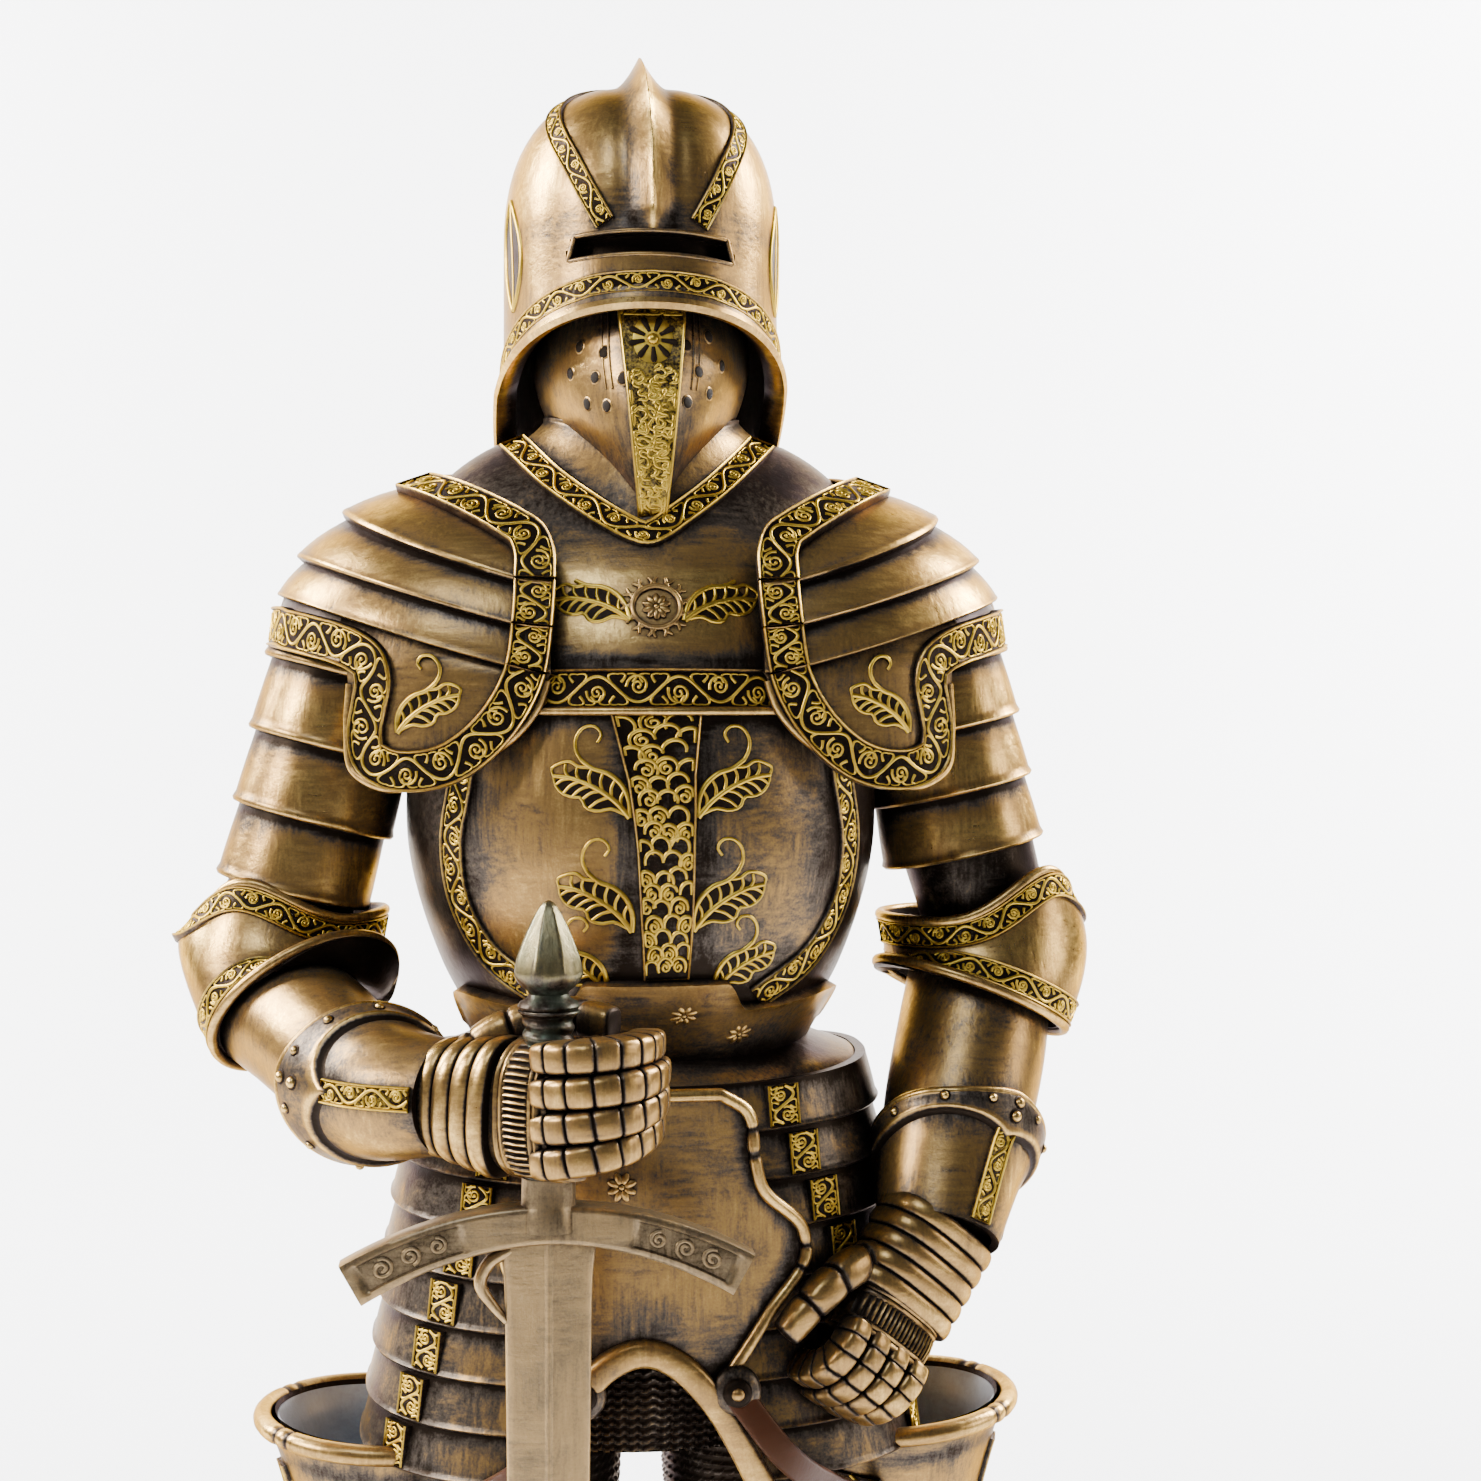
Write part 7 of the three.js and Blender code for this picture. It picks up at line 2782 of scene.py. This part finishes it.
@dataclass
class Plinth:
    """Low base with cut corners, a moulded side and one step."""

    wide: float = 164.0
    deep: float = 156.0
    cut: float = 26.0
    bend: float = 1.6

    def outline(self, inset: float) -> Array:
        """Points round the base at an inset: straight sides between rounded corners.

        Args:
            inset: distance inwards from the widest outline.

        Returns:
            The points, as (points, 2).
        """
        w, d, cut = self.wide / 2 - inset, self.deep / 2 - inset, self.cut - 0.6 * inset
        corners = np.array([(w, -d + cut), (w, d - cut), (w - cut, d), (-w + cut, d), (-w, d - cut),
                            (-w, -d + cut), (-w + cut, -d), (w - cut, -d)])
        before, after = np.roll(corners, 1, axis=0), np.roll(corners, -1, axis=0)
        to_before, to_after = unit(before - corners), unit(after - corners)
        t = shares(7)[None, :, None]
        start, end = corners + self.bend * to_before, corners + self.bend * to_after
        arcs = (1 - t) ** 2 * start[:, None] + 2 * t * (1 - t) * corners[:, None] + t**2 * end[:, None]
        return arcs.reshape(-1, 2)

    def cast(self, casting: Casting) -> None:
        """Adds the base as stacked outlines.

        Args:
            casting: takes the forms.
        """
        profile = [(0.6, 0.0), (0.1, 0.3), (0.0, 0.8), (0.0, 5.6), (0.2, 6.2), (1.0, 6.9), (1.5, 7.6),
                     (1.6, 8.4), (1.6, 11.6), (1.9, 12.4), (2.8, 13.2), (4.2, 13.8), (5.0, 14.0), (5.0, 14.4),
                     (5.0, 18.6), (5.2, 19.3), (5.7, 19.8), (6.3, 20.0), (9.0, 20.0)]
        rings = np.stack([stack(*self.outline(inset).T, z - SOLES) for inset, z in profile])
        shine = np.array([0.2, 0.5, 0.7, 0.35, 0.6, 0.3, 0.1, 0.05, 0.15, 0.3, 0.5, 0.7, 0.2, 0.1, 0.4, 0.7,
                            0.7, 0.35, 0.2])
        casting.add(rings, shine[:, None])


@dataclass
class Strap:
    """Leather strap from the foot of the front plate to the thigh guard, with its round end."""

    path: tuple = ((12.5, -44.4, 224, 2.3, 1.0), (20, -43.4, 214, 2.3, 1.0), (30, -32.0, 204, 2.3, 1.0),
                   (40, -19.8, 197, 2.3, 1.0))

    def cast(self, casting: Casting) -> None:
        """Adds the strap, a flat limb."""
        limb = Limb(self.path, (0.6, 0.2, 0.7), 3.6)
        barrel(casting, limb.skin(), shares(50), 0.0, 0.6, 28)

    def stud(self, casting: Casting) -> None:
        """Adds the round end with its boss.

        Args:
            casting: takes the forms.
        """
        centre, normal = np.array([[12.5, -44.0, 224.3]]), np.array([[0.0, -1.0, 0.0]])
        domes(casting, centre, normal, 4.0, 0.35, 0.45, 0.0, 28)
        domes(casting, centre + [[0.0, -1.3, 0.0]], normal, 2.4, 0.35, -0.2, 0.0, 24)
        domes(casting, centre + [[0.0, -1.6, 0.0]], normal, 1.2, 0.8, 0.9, 0.0, 20)


# Camera, light and floor


@dataclass(frozen=True)
class Studio:
    """Level camera in front, a pale floor that sweeps up behind, and soft lights."""

    distance: float = 410.0
    sideways: float = 18.0
    azimuth: float = math.radians(-6.5)
    eye: float = 357.5
    focal_pixels: float = 2278.0
    horizon_pixel: float = 690.0
    sensor: float = 36.0

    def camera(self) -> None:
        """Level camera, its picture shifted so that the horizon lies on its own row of pixels."""
        data = bpy.data.cameras.new("camera")
        camera = bpy.data.objects.new("camera", data)
        bpy.context.scene.collection.objects.link(camera)
        ahead = np.array([-math.sin(self.azimuth), math.cos(self.azimuth)])
        aside = np.array([math.cos(self.azimuth), math.sin(self.azimuth)])
        x, y = (-self.distance * ahead + self.sideways * aside) * MM
        camera.location = (x, y, self.eye * MM)
        camera.rotation_euler = (math.pi / 2, 0.0, self.azimuth)
        data.sensor_width = self.sensor
        data.lens = self.focal_pixels / PICTURE_PIXELS * self.sensor
        data.shift_y = (self.horizon_pixel - PICTURE_PIXELS / 2) / PICTURE_PIXELS
        data.clip_start = 0.01
        bpy.context.scene.camera = camera

    def softbox(self, name: str, place: tuple, aim: tuple, size: float, power: float,
                colour: tuple = (1.0, 1.0, 1.0)) -> None:
        """Square area light at a place in metres, turned towards a point.

        Args:
            name: the light's name.
            place: where it stands.
            aim: the point it looks at.
            size: its side in metres.
            power: its watts.
            colour: its colour.
        """
        data = bpy.data.lights.new(name, "AREA")
        data.size = size
        data.energy = power
        data.color = colour
        light = bpy.data.objects.new(name, data)
        light.location = place
        bpy.context.scene.collection.objects.link(light)
        direction = np.array(aim) - np.array(place)
        yaw = math.atan2(-direction[0], direction[1])
        pitch = math.atan2(math.hypot(direction[0], direction[1]), -direction[2])
        light.rotation_euler = (pitch, 0.0, yaw)

    def lights(self) -> None:
        """Key from the left, a cool window in front, weaker light from the right, and two for the wall."""
        heart = (0.0, 0.0, 0.33)
        self.softbox("key", (-1.12, -0.42, 0.9), heart, 0.36, 22.0, (1.0, 0.95, 0.86))
        self.softbox("window", (-0.35, -0.85, 1.35), heart, 0.5, 7.0, (0.76, 0.87, 1.0))
        self.softbox("right", (1.2, -0.35, 0.55), heart, 0.42, 4.0, (1.0, 0.94, 0.84))
        for side in (-1, 1):
            self.softbox("wall", (side * 1.5, 0.7, 1.3), (side * 0.2, 1.95, 0.35), 0.9, 200.0)
        world = bpy.data.worlds.new("room")
        world.use_nodes = True
        world.node_tree.nodes["Background"].inputs["Color"].default_value = (0.93, 0.95, 1.0, 1.0)
        world.node_tree.nodes["Background"].inputs["Strength"].default_value = 0.085
        bpy.context.scene.world = world

    def floor(self) -> None:
        """Pale floor that sweeps up into a wall behind the statue: a quarter circle between two planes."""
        low = -0.0002
        bend = np.linspace(0.0, np.pi / 2, 16)
        run = np.concatenate([[-2.5], 1.1 + 0.8 * np.sin(bend), [1.9]])
        rise = np.concatenate([[low], low + 0.8 * (1 - np.cos(bend)), [3.2]])
        width = 4.0
        points = [(x, y, z) for y, z in zip(run, rise) for x in (-width, width)]
        faces = [(2 * i, 2 * i + 1, 2 * i + 3, 2 * i + 2) for i in range(len(run) - 1)]
        mesh = bpy.data.meshes.new("floor")
        mesh.from_pydata(points, [], faces)
        mesh.shade_smooth()
        mesh.materials.append(PlainColour("floor_white").make())
        piece = bpy.data.objects.new("floor", mesh)
        bpy.context.scene.collection.objects.link(piece)


class Statue:
    """The whole statue: builds its pieces in order."""

    def __init__(self) -> None:
        """Makes the finishes."""
        self.bronze = AntiqueBronze("antique_bronze").make()
        self.mail = AntiqueBronze("mail_bronze", bronze=(0.22, 0.15, 0.07), bright=(0.42, 0.31, 0.16)).make()
        # The lining's pale grey stands for the room reflected in it: a painted reflection.
        self.painted_reflection_grey = AntiqueBronze("lining_painted_reflection", ground=(0.25, 0.26, 0.29), satin=(0.30, 0.31, 0.34),
                                   bronze=(0.37, 0.385, 0.42), bright=(0.48, 0.50, 0.55), wash_and_shade=0.0,
                                   metal=0.2).make()
        self.pale = AntiqueBronze("pale_bronze", ground=(0.05, 0.035, 0.02), satin=(0.20, 0.145, 0.085),
                                  bronze=(0.37, 0.245, 0.115), bright=(0.60, 0.43, 0.23)).make()
        self.green = AntiqueBronze("toned_bronze", bronze=(0.22, 0.18, 0.09), bright=(0.38, 0.32, 0.18),
                                   verdigris=0.5).make()
        self.leather = AntiqueBronze("leather_paint", ground=(0.02, 0.007, 0.004),
                                     satin=(0.055, 0.018, 0.009), bronze=(0.05, 0.019, 0.010),
                                     bright=(0.085, 0.036, 0.02), metal=0.1).make()
        self.base = AntiqueBronze("dark_bronze", ground=(0.012, 0.009, 0.007), bronze=(0.16, 0.10, 0.05),
                                  bright=(0.40, 0.28, 0.14)).make()

    def piece(self, name: str, makers: Sequence[Callable[[Casting], None]],
              finish: bpy.types.Material | None = None, mirror: bool = False, slot: Slot = Slot.FIGURE,
              node: str = "knight") -> None:
        """Builds one object from methods that add to a casting.

        Args:
            name: the object's name.
            makers: methods that add closed forms.
            finish: its material, the antique bronze unless given.
            mirror: adds the same forms on the other side too, as a second object.
            slot: the record's slot.
            node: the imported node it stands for.
        """
        casting = Casting()
        for make in makers:
            make(casting)
        finish = finish or self.bronze
        casting.build(name, finish, slot, node)
        if mirror:
            casting.mirrored().build(name + "_right", finish, slot, node)

    def build(self) -> None:
        """Builds every piece."""
        helmet, gorget, cuirass = Helmet(), Gorget(), Cuirass()
        self.piece("sallet", [helmet.shell, helmet.slit_lip])
        self.piece("sallet_bands", [helmet.bands, helmet.side_leaves])
        self.piece("bevor", [helmet.chin])
        self.piece("gorget", [gorget.cast])
        self.piece("gorget_band", [gorget.dress])
        self.piece("breastplate", [cuirass.plate, cuirass.waist])
        self.piece("breast_bands", [cuirass.bands])
        self.piece("breast_emblems", [cuirass.emblems])
        pauldron = Pauldron()
        self.piece("pauldron", [pauldron.cast], mirror=True)
        self.piece("pauldron_band", [pauldron.dress], mirror=True)
        for name, arm in (("sword_arm", right_arm()), ("hip_arm", left_arm())):
            self.piece(name, [arm.plates])
            self.piece(name + "_gauntlet", [arm.hand])
            self.piece(name + "_bands", [arm.dress])
        fauld, mail, guard, leg, strap = Fauld(), Mail(), ThighGuard(), Leg(), Strap()
        self.piece("fauld", [fauld.cast])
        self.piece("fauld_squares", [fauld.squares])
        self.piece("front_plate", [fauld.front_plate, fauld.arch_rim])
        self.piece("mail_skirt", [mail.cast], self.mail)
        self.piece("mail_legs", [mail.legs], self.mail)
        self.piece("thigh_guard", [guard.cast], mirror=True)
        self.piece("thigh_guard_band", [guard.dress], mirror=True)
        self.piece("thigh_guard_lining", [guard.lining], self.painted_reflection_grey, mirror=True)
        self.piece("strap", [strap.cast], self.leather, mirror=True)
        self.piece("strap_stud", [strap.stud], mirror=True)
        self.piece("lower_leg", [leg.knee, leg.greave, leg.shin_bands, leg.sabaton], mirror=True)
        sword = Sword()
        blade = [sword.blade, sword.guard_bar, sword.guard_relief, sword.ring, sword.socket]
        self.piece("sword_blade", blade, self.pale, slot=Slot.SWORD, node="sword")
        self.piece("sword_hilt", [sword.grip, sword.pommel], self.green, slot=Slot.SWORD, node="sword")
        self.piece("base", [Plinth().cast], self.base, slot=Slot.PLINTH, node="plinth")


def main() -> None:
    """Builds the statue piece by piece, then the studio."""
    Statue().build()
    studio = Studio()
    studio.camera()
    studio.lights()
    studio.floor()


if __name__ == "__main__":
    logging.basicConfig(level=logging.INFO)
    main()
